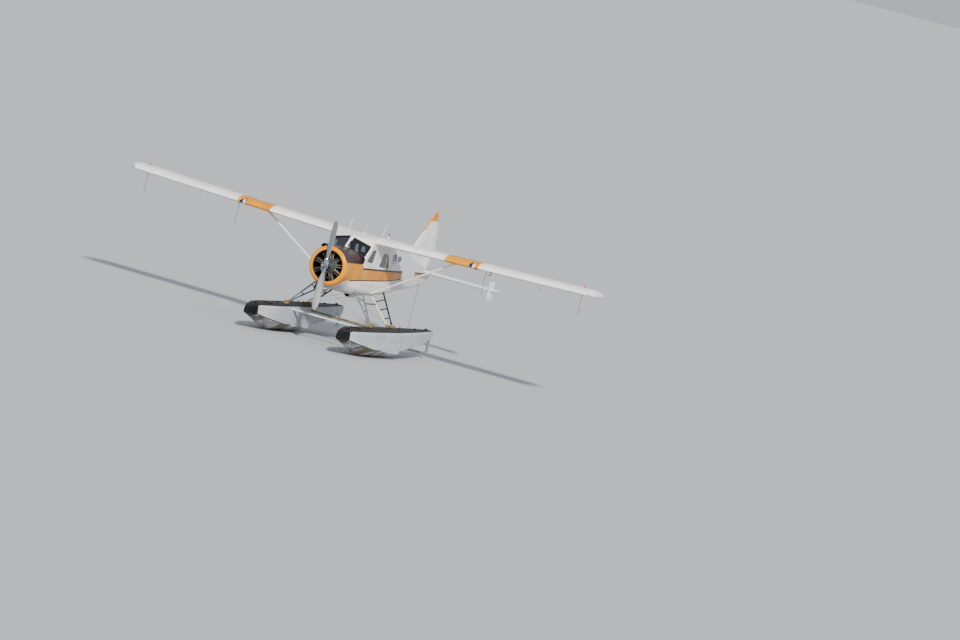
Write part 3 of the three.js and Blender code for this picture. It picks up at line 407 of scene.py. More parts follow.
def wing_rope_points(span, length):
    top = wing_underside(span) - LUG_DROP - 0.3
    s = WING_TIE_STATION
    return [(span, s, top), (span, s, top - 60), (span + 2, s + 4, top - 0.3 * length),
            (span + 5, s + 12, top - 0.6 * length), (span + 4, s + 18, top - 0.82 * length),
            (span, s + 20, top - length)]


ON_FLOOR = -THRUST_HEIGHT + ROPE_DIAMETER / 2 + 1
TAIL_ROPE_POINTS = [
    (0, 8140, -345.3), (0, 8140, -420), (0, 8141, -700), (2, 8144, -1050), (5, 8148, -1400),
    (8, 8152, -1750), (10, 8158, -2040), (13, 8172, -2160), (20, 8205, ON_FLOOR + 22),
    (34, 8260, ON_FLOOR + 2), (80, 8390, ON_FLOOR), (180, 8480, ON_FLOOR),
    (310, 8520, ON_FLOOR), (440, 8480, ON_FLOOR), (500, 8370, ON_FLOOR),
    (470, 8240, ON_FLOOR), (370, 8160, ON_FLOOR), (260, 8120, ON_FLOOR),
    (180, 8050, ON_FLOOR), (120, 7950, ON_FLOOR), (95, 7840, ON_FLOOR)]


def curve_through(points, per_span=24):
    """The centripetal Catmull-Rom curve, the same one that the CAD solid follows."""
    points = np.array(points, float)
    points = np.vstack([2 * points[0] - points[1], points, 2 * points[-1] - points[-2]])
    line = []
    for a, b, c, d in zip(points, points[1:], points[2:], points[3:]):
        da, db, dc = (math.sqrt(np.linalg.norm(q - p)) for p, q in ((a, b), (b, c), (c, d)))
        start = ((b - a) / da - (c - a) / (da + db) + (c - b) / db) * db
        finish = ((c - b) / db - (d - b) / (db + dc) + (d - c) / dc) * db
        for t in np.arange(per_span) / per_span:
            line.append(b + start * t + (3 * (c - b) - 2 * start - finish) * t**2
                        + (2 * (b - c) + start + finish) * t**3)
    return np.array(line + [points[-2]])


def resampled(line, count):
    """The same line with evenly spaced points, and its length."""
    run = np.concatenate([[0], np.cumsum(np.linalg.norm(np.diff(line, axis=0), axis=1))])
    even = np.linspace(0, run[-1], count)
    return np.stack([np.interp(even, run, line[:, axis]) for axis in range(3)], -1), run[-1]


# %% Laid rope
def tube_along(line, diameter, sides, swell=0.0, lay=0.0):
    """A tube on a line. Its radius swells three times round, once in each length of lay."""
    ahead = np.gradient(line, axis=0)
    ahead /= np.linalg.norm(ahead, axis=1)[:, None]
    side = np.cross(ahead[0], (0.3, 0.8, 0.1))
    step = np.linalg.norm(np.diff(line, axis=0), axis=1).mean()
    rings = []
    for i, (centre, run) in enumerate(zip(line, ahead)):
        side = side - run * side.dot(run)
        side /= np.linalg.norm(side)
        other = np.cross(run, side)
        angles = np.arange(sides) * 2 * math.pi / sides
        phase = 2 * math.pi * i * step / lay if lay else 0
        radius = diameter / 2 * (1 + swell * (np.abs(np.cos(1.5 * (angles - phase))) - 0.64))
        rings.append(centre + radius[:, None] * (np.cos(angles)[:, None] * side
                                                 + np.sin(angles)[:, None] * other))
    return loft(rings)


ROPE_LAY = 42          # one full turn of a strand, 3.5 diameters as on laid rope
rope_shapes = {}
for rope_name, points, count in [
        ("band_rope_port", wing_rope_points(3880, 600), 110),
        ("tip_rope_port", wing_rope_points(6820, 540), 100),
        ("tail_rope", TAIL_ROPE_POINTS, 560)]:
    line, length = resampled(curve_through(points), count)
    rope_shapes[rope_name] = (line, length)
    if rope_name.endswith("_port"):
        rope_shapes[rope_name.replace("port", "starboard")] = (line * [-1, 1, 1], length)
    print(rope_name, "is", round(length), "mm long")

# %% [markdown]
# A rope ends in a stopper knot, so that it doesn't unlay. The knot is a short helix of the
# same rope wound over its own end. At the top, each rope passes through a steel ring in the
# wing's lug and is held by a turned eye.

# %% Rope pieces, knots and rings
KNOT_TURNS = 3.6
KNOT_POINTS = 70


def stopper_knot(end, along):
    """A short helix of rope round the rope's own end."""
    along = np.asarray(along, float) / np.linalg.norm(along)
    side = np.cross(along, (0.2, 0.7, 0.4))
    side /= np.linalg.norm(side)
    other = np.cross(along, side)
    turns = np.linspace(0, KNOT_TURNS * 2 * math.pi, KNOT_POINTS)
    reach = 9.5 - 2.5 * np.abs(np.linspace(-1, 1, KNOT_POINTS)) ** 3
    line = (np.asarray(end, float) + along * (turns / (2 * math.pi) * 9 - 30)[:, None]
            + reach[:, None] * (np.cos(turns)[:, None] * side + np.sin(turns)[:, None] * other))
    return tube_along(line, ROPE_DIAMETER * 0.92, 10)


def ring(centre, radius, thickness, across=(1, 0, 0), upright=(0, 0, 1), sides=24):
    """A round ring of wire whose plane holds the two directions."""
    across, upright = np.asarray(across, float), np.asarray(upright, float)
    axis = np.cross(across, upright)
    rings = []
    for angle in np.arange(sides) * 2 * math.pi / sides:
        out = math.cos(angle) * across + math.sin(angle) * upright
        rings.append([np.asarray(centre, float) + out * (radius + thickness / 2 * math.cos(a))
                      + axis * thickness / 2 * math.sin(a)
                      for a in np.arange(8) * math.pi / 4])
    points, faces = loft(rings, capped=False)
    last = (sides - 1) * 8
    faces += [(last + j, last + (j + 1) % 8, (j + 1) % 8, j) for j in range(8)]
    return points, faces


ropes = {}
for rope_name, (line, length) in rope_shapes.items():
    made = piece(f"{rope_name}_laid", tube_along(line, ROPE_DIAMETER, 18, 0.16, ROPE_LAY))
    lift = (0, 0, 9) if rope_name == "tail_rope" else (0, 0, 0)      # its knot lies on the floor
    knot = piece(f"{rope_name}_knot", stopper_knot(line[-1] + lift, line[-1] - line[-4]))
    ropes[rope_name] = (made, knot)
print(len(ropes), "ropes with", sum(len(made.data.polygons) for made, _ in ropes.values()),
      "faces")

# %% [markdown]
# Mooring rope is laid from three strands of nylon or polyester. New it is pale, but years of
# water and hands make it brown-grey, darkest in the grooves between the strands. The fibres
# are far too fine for the picture, so the noise that stands for them is drawn at 3 mm.

# %% Weathered laid rope
weathered_rope, tree = new_finish("weathered laid nylon rope")
where = node(tree, "ShaderNodeTexCoord")
fibres = noise_of(tree, where.outputs["Object"], 330, 4)
soiling = noise_of(tree, where.outputs["Object"], 9, 3)
fibre_tone = blend(tree, fibres, "4a3b30", "8d7a66")
soiled = blend(tree, soiling, fibre_tone, "33291f")
relief = bumped(tree, fibres, 0.5, 0.001)
set_surface(tree, {"Base Color": soiled, "Normal": relief, "Roughness": 0.85,
                   "Sheen Weight": 0.25})

# %% Ropes on the airframe
for rope_name, (made, knot) in ropes.items():
    line, length = rope_shapes[rope_name]
    dressed(made, "airframe", weathered_rope, rope_name)
    dressed(knot, "airframe", weathered_rope)
print("declared", len(ropes), "cords")

# %% [markdown]
# The skin is thin aluminium sheet, riveted to frames and sprayed with gloss enamel. Up close
# such a surface is never one flat colour: sheets meet in lapped seams, rows of rivets run
# beside them, the metal between the frames is a little wavy, and years of spray leave soft
# stains that follow the airflow. One function adds all of that to any paint scheme. Real
# rivets stand 25 mm apart and are 3 mm wide, too fine for a machine 15 m across, so they are
# drawn 9 mm wide and 60 mm apart, and only as gentle relief.

# %% Enamel on riveted sheet
SEAM_WIDTH = 0.006
RIVET_RADIUS = 0.0045
RIVET_PITCH = 0.06
RIVET_OFFSET = 0.022


def stations(tree):
    """Where a point is: x, station and height above the thrust line, in metres."""
    where = node(tree, "ShaderNodeTexCoord")
    moved = node(tree, "ShaderNodeMapping", {
        "Vector": where.outputs["Object"],
        "Location": (0, MID_STATION / 1000, -THRUST_HEIGHT / 1000)})
    parts = node(tree, "ShaderNodeSeparateXYZ", {"Vector": moved.outputs["Vector"]})
    return moved.outputs["Vector"], parts.outputs["X"], parts.outputs["Y"], parts.outputs["Z"]


def seams_and_rivets(tree, along, across, bay, shift=0.0):
    """Masks of the lap seams at every bay, and of the rivet rows beside them."""
    start = calc(tree, "SUBTRACT", along, shift)
    off = calc(tree, "PINGPONG", start, bay / 2)
    seam = remap(tree, off, 0.0, SEAM_WIDTH, 1.0, 0.0, interpolation_type="SMOOTHSTEP")
    row = calc(tree, "SUBTRACT", off, RIVET_OFFSET)
    step = calc(tree, "PINGPONG", across, RIVET_PITCH / 2)
    pair = node(tree, "ShaderNodeCombineXYZ", {"X": row, "Y": step})
    reach = node(tree, "ShaderNodeVectorMath", {0: pair.outputs[0]}, operation="LENGTH")
    rivet = remap(tree, reach.outputs["Value"], 0.0, RIVET_RADIUS, 1.0, 0.0,
                  interpolation_type="SMOOTHSTEP")
    return seam, rivet


def enamel_on_sheet(name, scheme, bays, roughness=0.3, stain="8a7c68", stain_amount=0.32,
                    coat=0.08, specular=0.18):
    """Gloss enamel in a scheme's colours, on riveted sheet with seams at each of the bays."""
    paint, tree = new_finish(name)
    vector, x, station, height = stations(tree)
    axes = {"x": x, "station": station, "height": height}
    colour = scheme(tree, vector, x, station, height)
    relief = None
    grooves = None
    for along, across, bay, shift in bays:
        seam, rivet = seams_and_rivets(tree, axes[along], axes[across], bay, shift)
        raised = calc(tree, "SUBTRACT", rivet, seam)
        if relief is None:
            relief, grooves = raised, seam
        else:
            relief = calc(tree, "ADD", relief, raised)
            grooves = calc(tree, "MAXIMUM", grooves, seam)
    # Stains are drawn out along the airflow: 0.25 m across it and about 1.5 m along it.
    drawn_out = stretched(tree, vector, (4, 0.65, 4))
    streaks = noise_of(tree, drawn_out, 1.6, 8, 0.62)
    patches = remap(tree, streaks, 0.48, 0.82, 0.0, stain_amount)
    stained = blend(tree, patches, colour, stain)
    groove_shade = calc(tree, "MULTIPLY", grooves, 0.45)
    drawn = blend(tree, groove_shade, stained, "3d3a36")
    # The sheet bulges by a fraction of a millimetre between frames about 0.4 m apart.
    waves = noise_of(tree, vector, 2.4, 1)
    swell = bumped(tree, waves, 0.35, 0.012)
    joints = bumped(tree, relief, 0.7, 0.0016, swell)
    peel = noise_of(tree, vector, 60, 3)
    gloss = remap(tree, peel, 0.3, 0.7, roughness - 0.06, roughness + 0.1)
    dull = calc(tree, "ADD", gloss, patches)
    set_surface(tree, {"Coat Weight": coat, "Specular IOR Level": specular, "Coat Roughness": 0.12,
                       "Base Color": drawn, "Roughness": dull, "Normal": joints})
    return paint


# %% [markdown]
# The scheme on the fuselage is white, with an orange cowling that runs back into a broad
# orange band, a matt maroon-black panel ahead of the windscreen that keeps the glare out of
# the pilot's eyes, and thin dark lines along the band. Each border is a curve of height
# against station, taken from the drawing, so one material paints all the panels and the
# pattern runs across doors and seams without a break. The place where a machine carries its
# registration is left white.

# %% Fuselage scheme
# station and height of each border, in metres
ORANGE_TOP = [(0.0, 0.62), (0.05, 0.62), (0.06, 0.22), (1.24, 0.22), (1.262, 0.105),
              (4.88, 0.10), (6.55, 0.07), (7.95, 0.03)]
ORANGE_BOTTOM = [(0.0, -0.72), (0.08, -0.70), (0.14, -0.48), (0.2, -0.36), (0.28, -0.31),
                 (0.5, -0.275), (1.04, -0.25), (1.24, -0.24), (3.13, -0.20),
                 (4.63, -0.13), (6.55, -0.07), (7.95, -0.10)]
MAROON_BOTTOM = [(0.0, 0.8), (0.045, 0.8), (0.05, 0.22), (1.12, 0.22), (1.17, 0.235),
                 (1.21, 0.27), (1.25, 0.36), (1.262, 0.45), (1.30, 0.8)]
CURVE_REACH = 7.0


def border(tree, station, table):
    """A height that follows the station along a table of points."""
    share = calc(tree, "DIVIDE", station, CURVE_REACH)
    shape = node(tree, "ShaderNodeFloatCurve", {"Value": share})
    shape.mapping.use_clip = False
    curve = shape.mapping.curves[0]
    stops = [(s / CURVE_REACH, (h + 1) / 2) for s, h in table]
    for number, (position, value) in enumerate(stops):
        if number < 2 and number < len(curve.points):
            curve.points[number].location = (position, value)
        else:
            curve.points.new(position, value)
    for point in curve.points:
        point.handle_type = "VECTOR"
    shape.mapping.update()
    return calc(tree, "MULTIPLY_ADD", shape.outputs["Value"], 2, -1)


def between_stations(tree, value, low, high):
    """1 where the value lies between two others, else 0."""
    above = calc(tree, "GREATER_THAN", value, low)
    below = calc(tree, "LESS_THAN", value, high)
    return calc(tree, "MULTIPLY", above, below)


def worn_tone(tree, vector, first, second, scale):
    """Two near tones of one paint, mixed by soft noise."""
    noise = noise_of(tree, vector, scale, 4)
    spread = remap(tree, noise, 0.35, 0.65)
    return blend(tree, spread, first, second)


def painted_over(tree, base, mask, colour):
    """A colour laid over another where the mask is 1."""
    value = colour if isinstance(colour, bpy.types.NodeSocket) else linear(colour)
    return blend(tree, mask, base, value)


def fuselage_scheme(tree, vector, x, station, height):
    white = worn_tone(tree, vector, "f1efea", "e4e2dd", 1.3)
    # Painted shade: the rear fuselage is painted a cooler white, for the wing's shade over it.
    painted_wing_shade = remap(tree, station, 3.2, 3.9, 0.0, 0.7)
    white = painted_over(tree, white, painted_wing_shade, "dcdfe8")
    orange = worn_tone(tree, vector, "e09200", "cb8000", 1.8)
    # Painted light: the band's first metre behind the nose is painted paler, for the strong light
    # on the front of the side.
    painted_light_stretch = between_stations(tree, station, 1.27, 1.80)
    pale = calc(tree, "MULTIPLY", painted_light_stretch, 0.45)
    orange = painted_over(tree, orange, pale, "f0a850")
    top = border(tree, station, ORANGE_TOP)
    bottom = border(tree, station, ORANGE_BOTTOM)
    maroon_bottom = border(tree, station, MAROON_BOTTOM)
    under = calc(tree, "LESS_THAN", height, top)
    over = calc(tree, "GREATER_THAN", height, bottom)
    band = calc(tree, "MULTIPLY", under, over)
    fore = between_stations(tree, station, -1, 4.88)
    aft = between_stations(tree, station, 6.55, 7.95)
    runs = calc(tree, "MAXIMUM", fore, aft)
    band = calc(tree, "MULTIPLY", band, runs)
    colour = painted_over(tree, white, band, orange)
    maroon = worn_tone(tree, vector, "2c0f18", "1e0a12", 2.5)
    panel = calc(tree, "GREATER_THAN", height, maroon_bottom)
    colour = painted_over(tree, colour, panel, maroon)
    lip = calc(tree, "LESS_THAN", station, 0.05)
    colour = painted_over(tree, colour, lip, orange)
    # A 55 mm dark line on the band's upper edge and a 35 mm one below it.
    for edge, width, first, last in ((top, 0.055, 1.262, 4.88), (top, 0.055, 6.55, 7.95),
                                     (bottom, 0.035, 0.55, 4.88)):
        offset = calc(tree, "SUBTRACT", height, edge)
        near = between_stations(tree, offset, -width / 2, width / 2)
        reach = between_stations(tree, station, first, last)
        line = calc(tree, "MULTIPLY", near, reach)
        colour = painted_over(tree, colour, line, "160d18")
    # Exhaust soot and oil drift back along the belly.
    low = remap(tree, height, -0.66, -0.38, 1.0, 0.0)
    behind = remap(tree, station, 0.8, 6.5, 0.7, 0.15)
    drawn = stretched(tree, vector, (7, 0.8, 7))
    wisps = noise_of(tree, drawn, 1.5, 6)
    darkened = calc(tree, "MULTIPLY", low, behind)
    darkened = calc(tree, "MULTIPLY", darkened, wisps)
    return painted_over(tree, colour, darkened, "5c4a3a")


fuselage_paint = enamel_on_sheet("gloss enamel on fuselage sheet", fuselage_scheme,
                                 [("station", "height", 0.61, 0.44),
                                  ("height", "station", 0.40, -0.155)])
print("fuselage paint has", len(fuselage_paint.node_tree.nodes), "nodes")

# %% [markdown]
# Inside, the sheet isn't gloss white: the cabin is lined with dark grey padded vinyl, and the
# engine's room is black with soot and heat. A second material goes on every face that looks
# inwards, which is found from the face's own normal.

# %% Linings
def plain_finish(name, first, second, scale, roughness, spread=0.12, bump=0.3, depth=0.001,
                 metallic=0.0, **sockets):
    """A finish of two near tones in soft noise, with its own grain and roughness."""
    made, tree = new_finish(name)
    vector = node(tree, "ShaderNodeTexCoord").outputs["Object"]
    colour = worn_tone(tree, vector, first, second, scale)
    grain = noise_of(tree, vector, scale * 9, 4)
    gloss = remap(tree, grain, 0.3, 0.7, max(0.02, roughness - spread), roughness + spread)
    relief = bumped(tree, grain, bump, depth)
    extra = {socket.replace("_", " "): value for socket, value in sockets.items()}
    set_surface(tree, {"Metallic": metallic, "Base Color": colour, "Roughness": gloss,
                       "Normal": relief, **extra})
    return made


# Vinyl trim over thin foam: matt, with a soft leathery grain about 4 mm across.
cabin_lining = plain_finish("grey vinyl cabin lining", "26282d", "1c1e23", 30, 0.75)
# Heat-stained metal with dry soot: nearly black, brownish where oil has burnt on.
sooty_metal = plain_finish("soot on heat-stained steel", "17120f", "0c0b0b", 12, 0.75)


def finish_two_sides(made, outside, lining, centre_height=100, reveals=(0, 0)):
    """Give a second material to the faces that look towards the machine's middle line.

    Between the two stations in reveals, the sides of openings take it as well.
    """
    middle = place([0, 0, centre_height])[2]
    first, last = (place([0, station, 0])[1] for station in reveals)
    inner = []
    for face in made.data.polygons:
        out = Vector((face.center.x, 0, face.center.z - middle))
        limit = 0.35 if first < face.center.y < last else -0.35
        inner.append(face.normal.dot(out) < limit * out.length)
    made.data.materials.clear()
    made.data.materials.append(outside)
    made.data.materials.append(lining)
    made.data.polygons.foreach_set("material_index", [int(flag) for flag in inner])
    made.data.update()


# %% [markdown]
# ## Cowling
# The cowling is a spun and welded drum of aluminium round the engine. Its front lip is rolled
# inwards in a broad smooth curve, its rear grows into the flat-sided fuselage. A lofted skin
# does both: rings of points follow the outside from the firewall forward, turn round the lip
# on an ellipse, and go back inside to the rear wall of the engine's room, so one closed skin
# has the real wall. Every ring's points lie at the same angles, so that the faces run
# straight along the drum.

# %% Rounded sections
def rounded_ring(section, steps, inset=0.0):
    """A section with four rounded corners, from the port lower corner round."""
    station, half, top, bottom, top_radius, bottom_radius = section
    ring = []
    for x, z, radius, start in (
            (half - bottom_radius, bottom + bottom_radius, bottom_radius, -90),
            (half - top_radius, top - top_radius, top_radius, 0),
            (top_radius - half, top - top_radius, top_radius, 90),
            (bottom_radius - half, bottom + bottom_radius, bottom_radius, 180)):
        for i in range(steps + 1):
            angle = math.radians(start + 90 * i / steps)
            ring.append((x + (radius - inset) * math.cos(angle), station,
                         z + (radius - inset) * math.sin(angle)))
    return ring


def ring_at_angles(section, sides):
    """The same section with points at even angles round the thrust line."""
    corners = np.array(rounded_ring(section, 40))
    shares = np.linspace(0, 1, 30, endpoint=False)[:, None]
    dense = np.concatenate([a + (b - a) * shares
                            for a, b in zip(corners, np.roll(corners, -1, axis=0))])
    angles = np.arctan2(dense[:, 2], dense[:, 0])
    order = np.argsort(angles)
    radii = np.hypot(dense[:, 0], dense[:, 2])[order]
    wanted = np.linspace(-math.pi, math.pi, sides, endpoint=False)
    radius = np.interp(wanted, angles[order], radii, period=2 * math.pi)
    return np.stack([radius * np.cos(wanted), np.full(sides, dense[0, 1]),
                     radius * np.sin(wanted)], -1)


# %% Cowling
FIREWALL = 1050
COWL_SIDES = 160
# station, half width, top, bottom, top corner radius, bottom corner radius
COWL_SECTIONS = [
    [90, 575, 575, -575, 570, 570],
    [260, 588, 588, -592, 580, 580],
    [520, 592, 590, -622, 560, 560],
    [FIREWALL - 0.3, 614, 590, -690, 480, 240],
]
LIP_RADIUS = 470
THROAT_RADIUS = 430
THROAT_STATION = 45

outer = [ring_at_angles(row, COWL_SIDES) for row in smoothed(COWL_SECTIONS, 60)][::-1]
outer.pop()
angles = np.linspace(-math.pi, math.pi, COWL_SIDES, endpoint=False)
spin = np.stack([np.cos(angles), np.zeros(COWL_SIDES), np.sin(angles)], -1)
for swing in np.linspace(0, math.pi / 2, 10):
    outer.append(spin * (LIP_RADIUS + (575 - LIP_RADIUS) * math.cos(swing))
                 + [0, 90 * (1 - math.sin(swing)), 0])
lip = [spin * (THROAT_RADIUS + (LIP_RADIUS - THROAT_RADIUS) * (1 - math.sin(a)))
       + [0, THROAT_STATION * (1 - math.cos(a)), 0] for a in np.linspace(0.2, math.pi / 2, 7)]
room = [spin * radius + [0, station, 0] for station, radius in
        [(70, 434), (110, 480), (150, 535), (190, 556), (820, 556), (900, 480), (900, 200)]]
cowling = piece("cowling_drum", loft(outer + lip + room))
print("cowling has", len(cowling.data.polygons), "faces")

# %% [markdown]
# The exhaust pipe comes out of the cowling's lower starboard side: a steel tube, brown and
# blue from heat, cut off square. It is a turned profile about its own line, with a wall and a
# rolled rim, so that it is open like the real one.

# %% Exhaust pipe
EXHAUST = [(-330, 590, -540), (-395, 600, -770)]


def pipe(start, end, profile, sides=32):
    """A profile of (way along from 0 to 1, radius) rows, turned about a straight line."""
    start, end = np.array(start, float), np.array(end, float)
    run = (end - start) / np.linalg.norm(end - start)
    side = np.cross(run, (1, 0, 0))
    side /= np.linalg.norm(side)
    other = np.cross(run, side)
    turns = np.arange(sides) * 2 * math.pi / sides
    around = np.cos(turns)[:, None] * side + np.sin(turns)[:, None] * other
    return loft([start + (end - start) * share + around * radius for share, radius in profile])


exhaust_pipe = piece("exhaust_pipe", pipe(*EXHAUST, [
    (0.0, 60), (0.02, 65), (0.30, 65), (0.31, 69), (0.34, 69), (0.35, 65), (0.97, 65),
    (0.985, 67), (1.0, 66), (1.0, 58), (0.97, 57), (0.47, 56), (0.45, 20)]))
# Stainless steel after years of heat: straw and brown tones, dull near the cowling.
heated_steel = plain_finish("heat-tinted stainless steel", "6b4a35", "3a2a24", 9, 0.42,
                            metallic=0.85)
dressed(exhaust_pipe, "airframe", heated_steel, edge=0)

# %% [markdown]
# ## Cabin
# The cabin is a box of formed sheet with rounded corners. The whole shell is lofted once, an
# outer skin and an inner skin, and each real panel is then cut out of it: sides, doors, roof,
# nose deck and belly. Cutting them from one shell keeps the curve running on across every
# joint, as it does where a door shuts flush.

# %% Cabin shell
SIDE = 620
WALL = 45
GAP = 0.3
SEAM = 5
FLOOR_TOP = -400
SILL = FLOOR_TOP + GAP
EAVE = 790
DECK_END = 1298
DECK_EDGE = 300
CABIN_END = 4900
# station, half width, top, bottom, top corner radius, bottom corner radius
CABIN_SECTIONS = [
    [1050, 614, 590, -690, 480, 240],
    [1110, 616, 600, -690, 540, 230],
    [1440, SIDE, 925, -690, 200, 200],
    [1750, SIDE, 985, -690, 110, 160],
    [2300, SIDE, 1030, -680, 70, 150],
    [3330, SIDE, 955, -625, 70, 140],
    [3800, 612, 915, -590, 120, 140],
    [4500, 570, 875, -525, 170, 150],
    [CABIN_END, 535, 810, -490, 190, 160],
]
CORNER_STEPS = 9
cabin_rows = [list(row) for row in CABIN_SECTIONS[:3]] + smoothed(CABIN_SECTIONS[3:],
                                                                  150).tolist()


def cabin_skin(inset=0.0, reach=0.0):
    rows = [list(row) for row in cabin_rows]
    rows[0][0] -= reach
    rows[-1][0] += reach
    return loft([rounded_ring(row, CORNER_STEPS, inset) for row in rows])


def across(outline, x):
    """An outline of (station, height) points, as a slab between two values of x."""
    return loft([[(value, s, h) for s, h in outline] for value in x])


def cabin_panel(name, *regions):
    """The part of the cabin's shell inside some regions."""
    made = carved(piece(name, cabin_skin()), cabin_skin(WALL, 10))
    if len(regions) == 1:
        return carved(made, regions[0], operation="INTERSECT")
    region = piece(f"{name}_region", regions[0])
    for extra in regions[1:]:
        carved(region, extra, operation="UNION")
    return worked(made, region, "INTERSECT")


# %% [markdown]
# Two flat panes meet on the middle line as the windscreen. Their planes slice the rounded
# shell, so the same four corners that make the panes also make the tools that cut the roof,
# deck and sides back to them.

# %% Windscreen planes
SCREEN = np.array([[0, 1110, 592], [600, 1260, 390], [600, 0, 760], [0, 1440, 922]], float)
screen_normal = np.cross(SCREEN[1] - SCREEN[0], SCREEN[3] - SCREEN[0])
screen_normal /= np.linalg.norm(screen_normal)
screen_normal *= np.sign(screen_normal[2])
SCREEN[2, 1] = (SCREEN[0].dot(screen_normal) - SCREEN[2, 0] * screen_normal[0]
                - SCREEN[2, 2] * screen_normal[2]) / screen_normal[1]


def screen_ring(scale, lift, side=1):
    middle = SCREEN.mean(axis=0)
    return (middle + scale * (SCREEN - middle) + lift * screen_normal) * [side, 1, 1]


def screen_wedge(side):
    base, side_base, side_top, top = SCREEN
    grown = np.array([base, side_base + 0.15 * (side_base - base),
                      side_top + 0.15 * (side_top - top), top])
    grown[1, 0], grown[2, 0] = side_base[0] * 1.15, side_top[0] * 1.15
    grown[0, 0] = grown[3, 0] = -1
    return loft([(grown + [0, -reach, reach]) * [side, 1, 1] for reach in (0, 700)])


screen_cuts = [screen_wedge(1), screen_wedge(-1)] + [
    loft([screen_ring(0.84, 60, side), screen_ring(0.84, -140, side)]) for side in (1, -1)]
print("pane corner at station", round(SCREEN[2, 1]))

# %% Outlines of doors and windows
CREW_DOOR = [(1310, -380), (1310, 300), (1720, 735), (2080, 735), (2150, -380)]
CREW_WINDOW = [(1400, 320), (1730, 668), (2010, 672), (1900, 278)]
CABIN_DOOR = [(2440, -380), (2440, 735), (3230, 735), (3470, 120), (3490, -380)]
CABIN_WINDOW = [(2530, 200), (2675, 602), (3115, 608), (3350, 168)]
REAR_WINDOWS = [[(3555, 325), (3490, 600), (3825, 612), (3930, 322)],
                [(4045, 390), (3990, 560), (4350, 550), (4420, 385)]]


def rounded(outline, radius, inset=0.0, steps=5):
    """The outline moved inwards, with its corners rounded."""
    points = np.array(outline, float)
    turn = np.sign(sum(a[0] * b[1] - b[0] * a[1]
                       for a, b in zip(points, np.roll(points, -1, 0))))
    result = []
    for before, here, after in zip(np.roll(points, 1, 0), points, np.roll(points, -1, 0)):
        arrive = (here - before) / np.linalg.norm(here - before)
        leave = (after - here) / np.linalg.norm(after - here)
        left = turn * np.array([-leave[1], leave[0]])
        half = math.acos(np.clip(arrive.dot(leave), -1, 1)) / 2
        inner = (turn * np.array([-arrive[1], arrive[0]]) + left)
        inner /= np.linalg.norm(inner)
        corner = here + inner * inset / math.cos(half)
        if radius < 1:
            result.append(tuple(corner))
            continue
        centre = corner + inner * radius / math.cos(half)
        start = -turn * np.array([-arrive[1], arrive[0]])
        for share in np.linspace(-1, 1, steps + 1):
            swing = turn * half * (share + 1)
            c, s = math.cos(swing), math.sin(swing)
            result.append(tuple(centre + radius * np.array([c * start[0] - s * start[1],
                                                            s * start[0] + c * start[1]])))
    return result


def through_skin(outline):
    return across(outline, (450, 700))


# %% [markdown]
# Doors turn on two pinned hinges that stand outside the skin at their front edge. The
# airframe carries the outer lugs and the pin, the door carries the barrel between them.

# %% Door hinges
HINGE_OUT = SIDE + 16
HINGE_HEIGHTS = (-250, 170)
HINGE_BARREL = 26
HINGE_PIN = 12
BARREL_HALF = 25


def hinge_parts(front, of_door):
    station = front - 10
    parts = []
    for height in HINGE_HEIGHTS:
        if of_door:
            low, high = height - BARREL_HALF + 1, height + BARREL_HALF - 1
            parts.append(rod((HINGE_OUT, station, low), (HINGE_OUT, station, high),
                             HINGE_BARREL, 20))
            parts.append(block((SIDE + 1, SIDE + 6), (front + 6, front + 95), (low, high)))
            parts.append(block((SIDE + 4, HINGE_OUT + 6), (station + 8, front + 12),
                               (low, high)))
            continue
        for end in (-1, 1):
            low, high = sorted((height + end * BARREL_HALF, height + end * (BARREL_HALF + 22)))
            parts.append(rod((HINGE_OUT, station, low), (HINGE_OUT, station, high),
                             HINGE_BARREL, 20))
            parts.append(block((SIDE - 8, HINGE_OUT + 6), (station - 45, station - 8),
                               (low, high)))
        parts.append(rod((HINGE_OUT, station, height - 52), (HINGE_OUT, station, height + 52),
                         HINGE_PIN, 16))
    return together(*parts)


# %% Cabin sides and doors
WINDOW_CORNER = 38
DOOR_CORNER = 45
side_region = [block((440, 700), (DECK_END, CABIN_END), (SILL, EAVE)),
               block((440, 700), (FIREWALL + GAP, DECK_END + 10), (SILL, DECK_EDGE))]
side = cabin_panel("cabin_side", *side_region)
carved(side, through_skin(rounded(CREW_DOOR, DOOR_CORNER)),
       through_skin(rounded(CABIN_DOOR, DOOR_CORNER)),
       *[through_skin(rounded(outline, WINDOW_CORNER)) for outline in REAR_WINDOWS],
       *screen_cuts)


def door(name, outline, window):
    made = cabin_panel(name, through_skin(rounded(outline, DOOR_CORNER - SEAM, SEAM)))
    return carved(made, through_skin(rounded(window, WINDOW_CORNER)))


crew_door = door("crew_door", CREW_DOOR, CREW_WINDOW)
cabin_door = door("cabin_door", CABIN_DOOR, CABIN_WINDOW)


def other_side(made, name):
    """A copy of a piece on the starboard side, with its faces turned out again."""
    copy = in_scene(name, made.data.copy())
    copy.data.transform(Matrix.Diagonal((-1, 1, 1, 1)))
    copy.data.flip_normals()
    return copy


def pair(made, base, material, nodes, body="airframe", edge=0.0, lining=None,
         slot="strut_grey", reveals=(0, 0)):
    """Dress a port piece and its starboard copy."""
    made.name = f"{base}_port"
    copies = [("port", made), ("starboard", other_side(made, f"{base}_starboard"))]
    for side_name, copy in copies:
        if lining:
            finish_two_sides(copy, material, lining, reveals=reveals)
        names = [f"{name}_{side_name}" for name in nodes]
        rides = body if body == "airframe" else f"{body}_{side_name}"
        dressed(copy, rides, material, names, edge)
    return [copy for _, copy in copies]


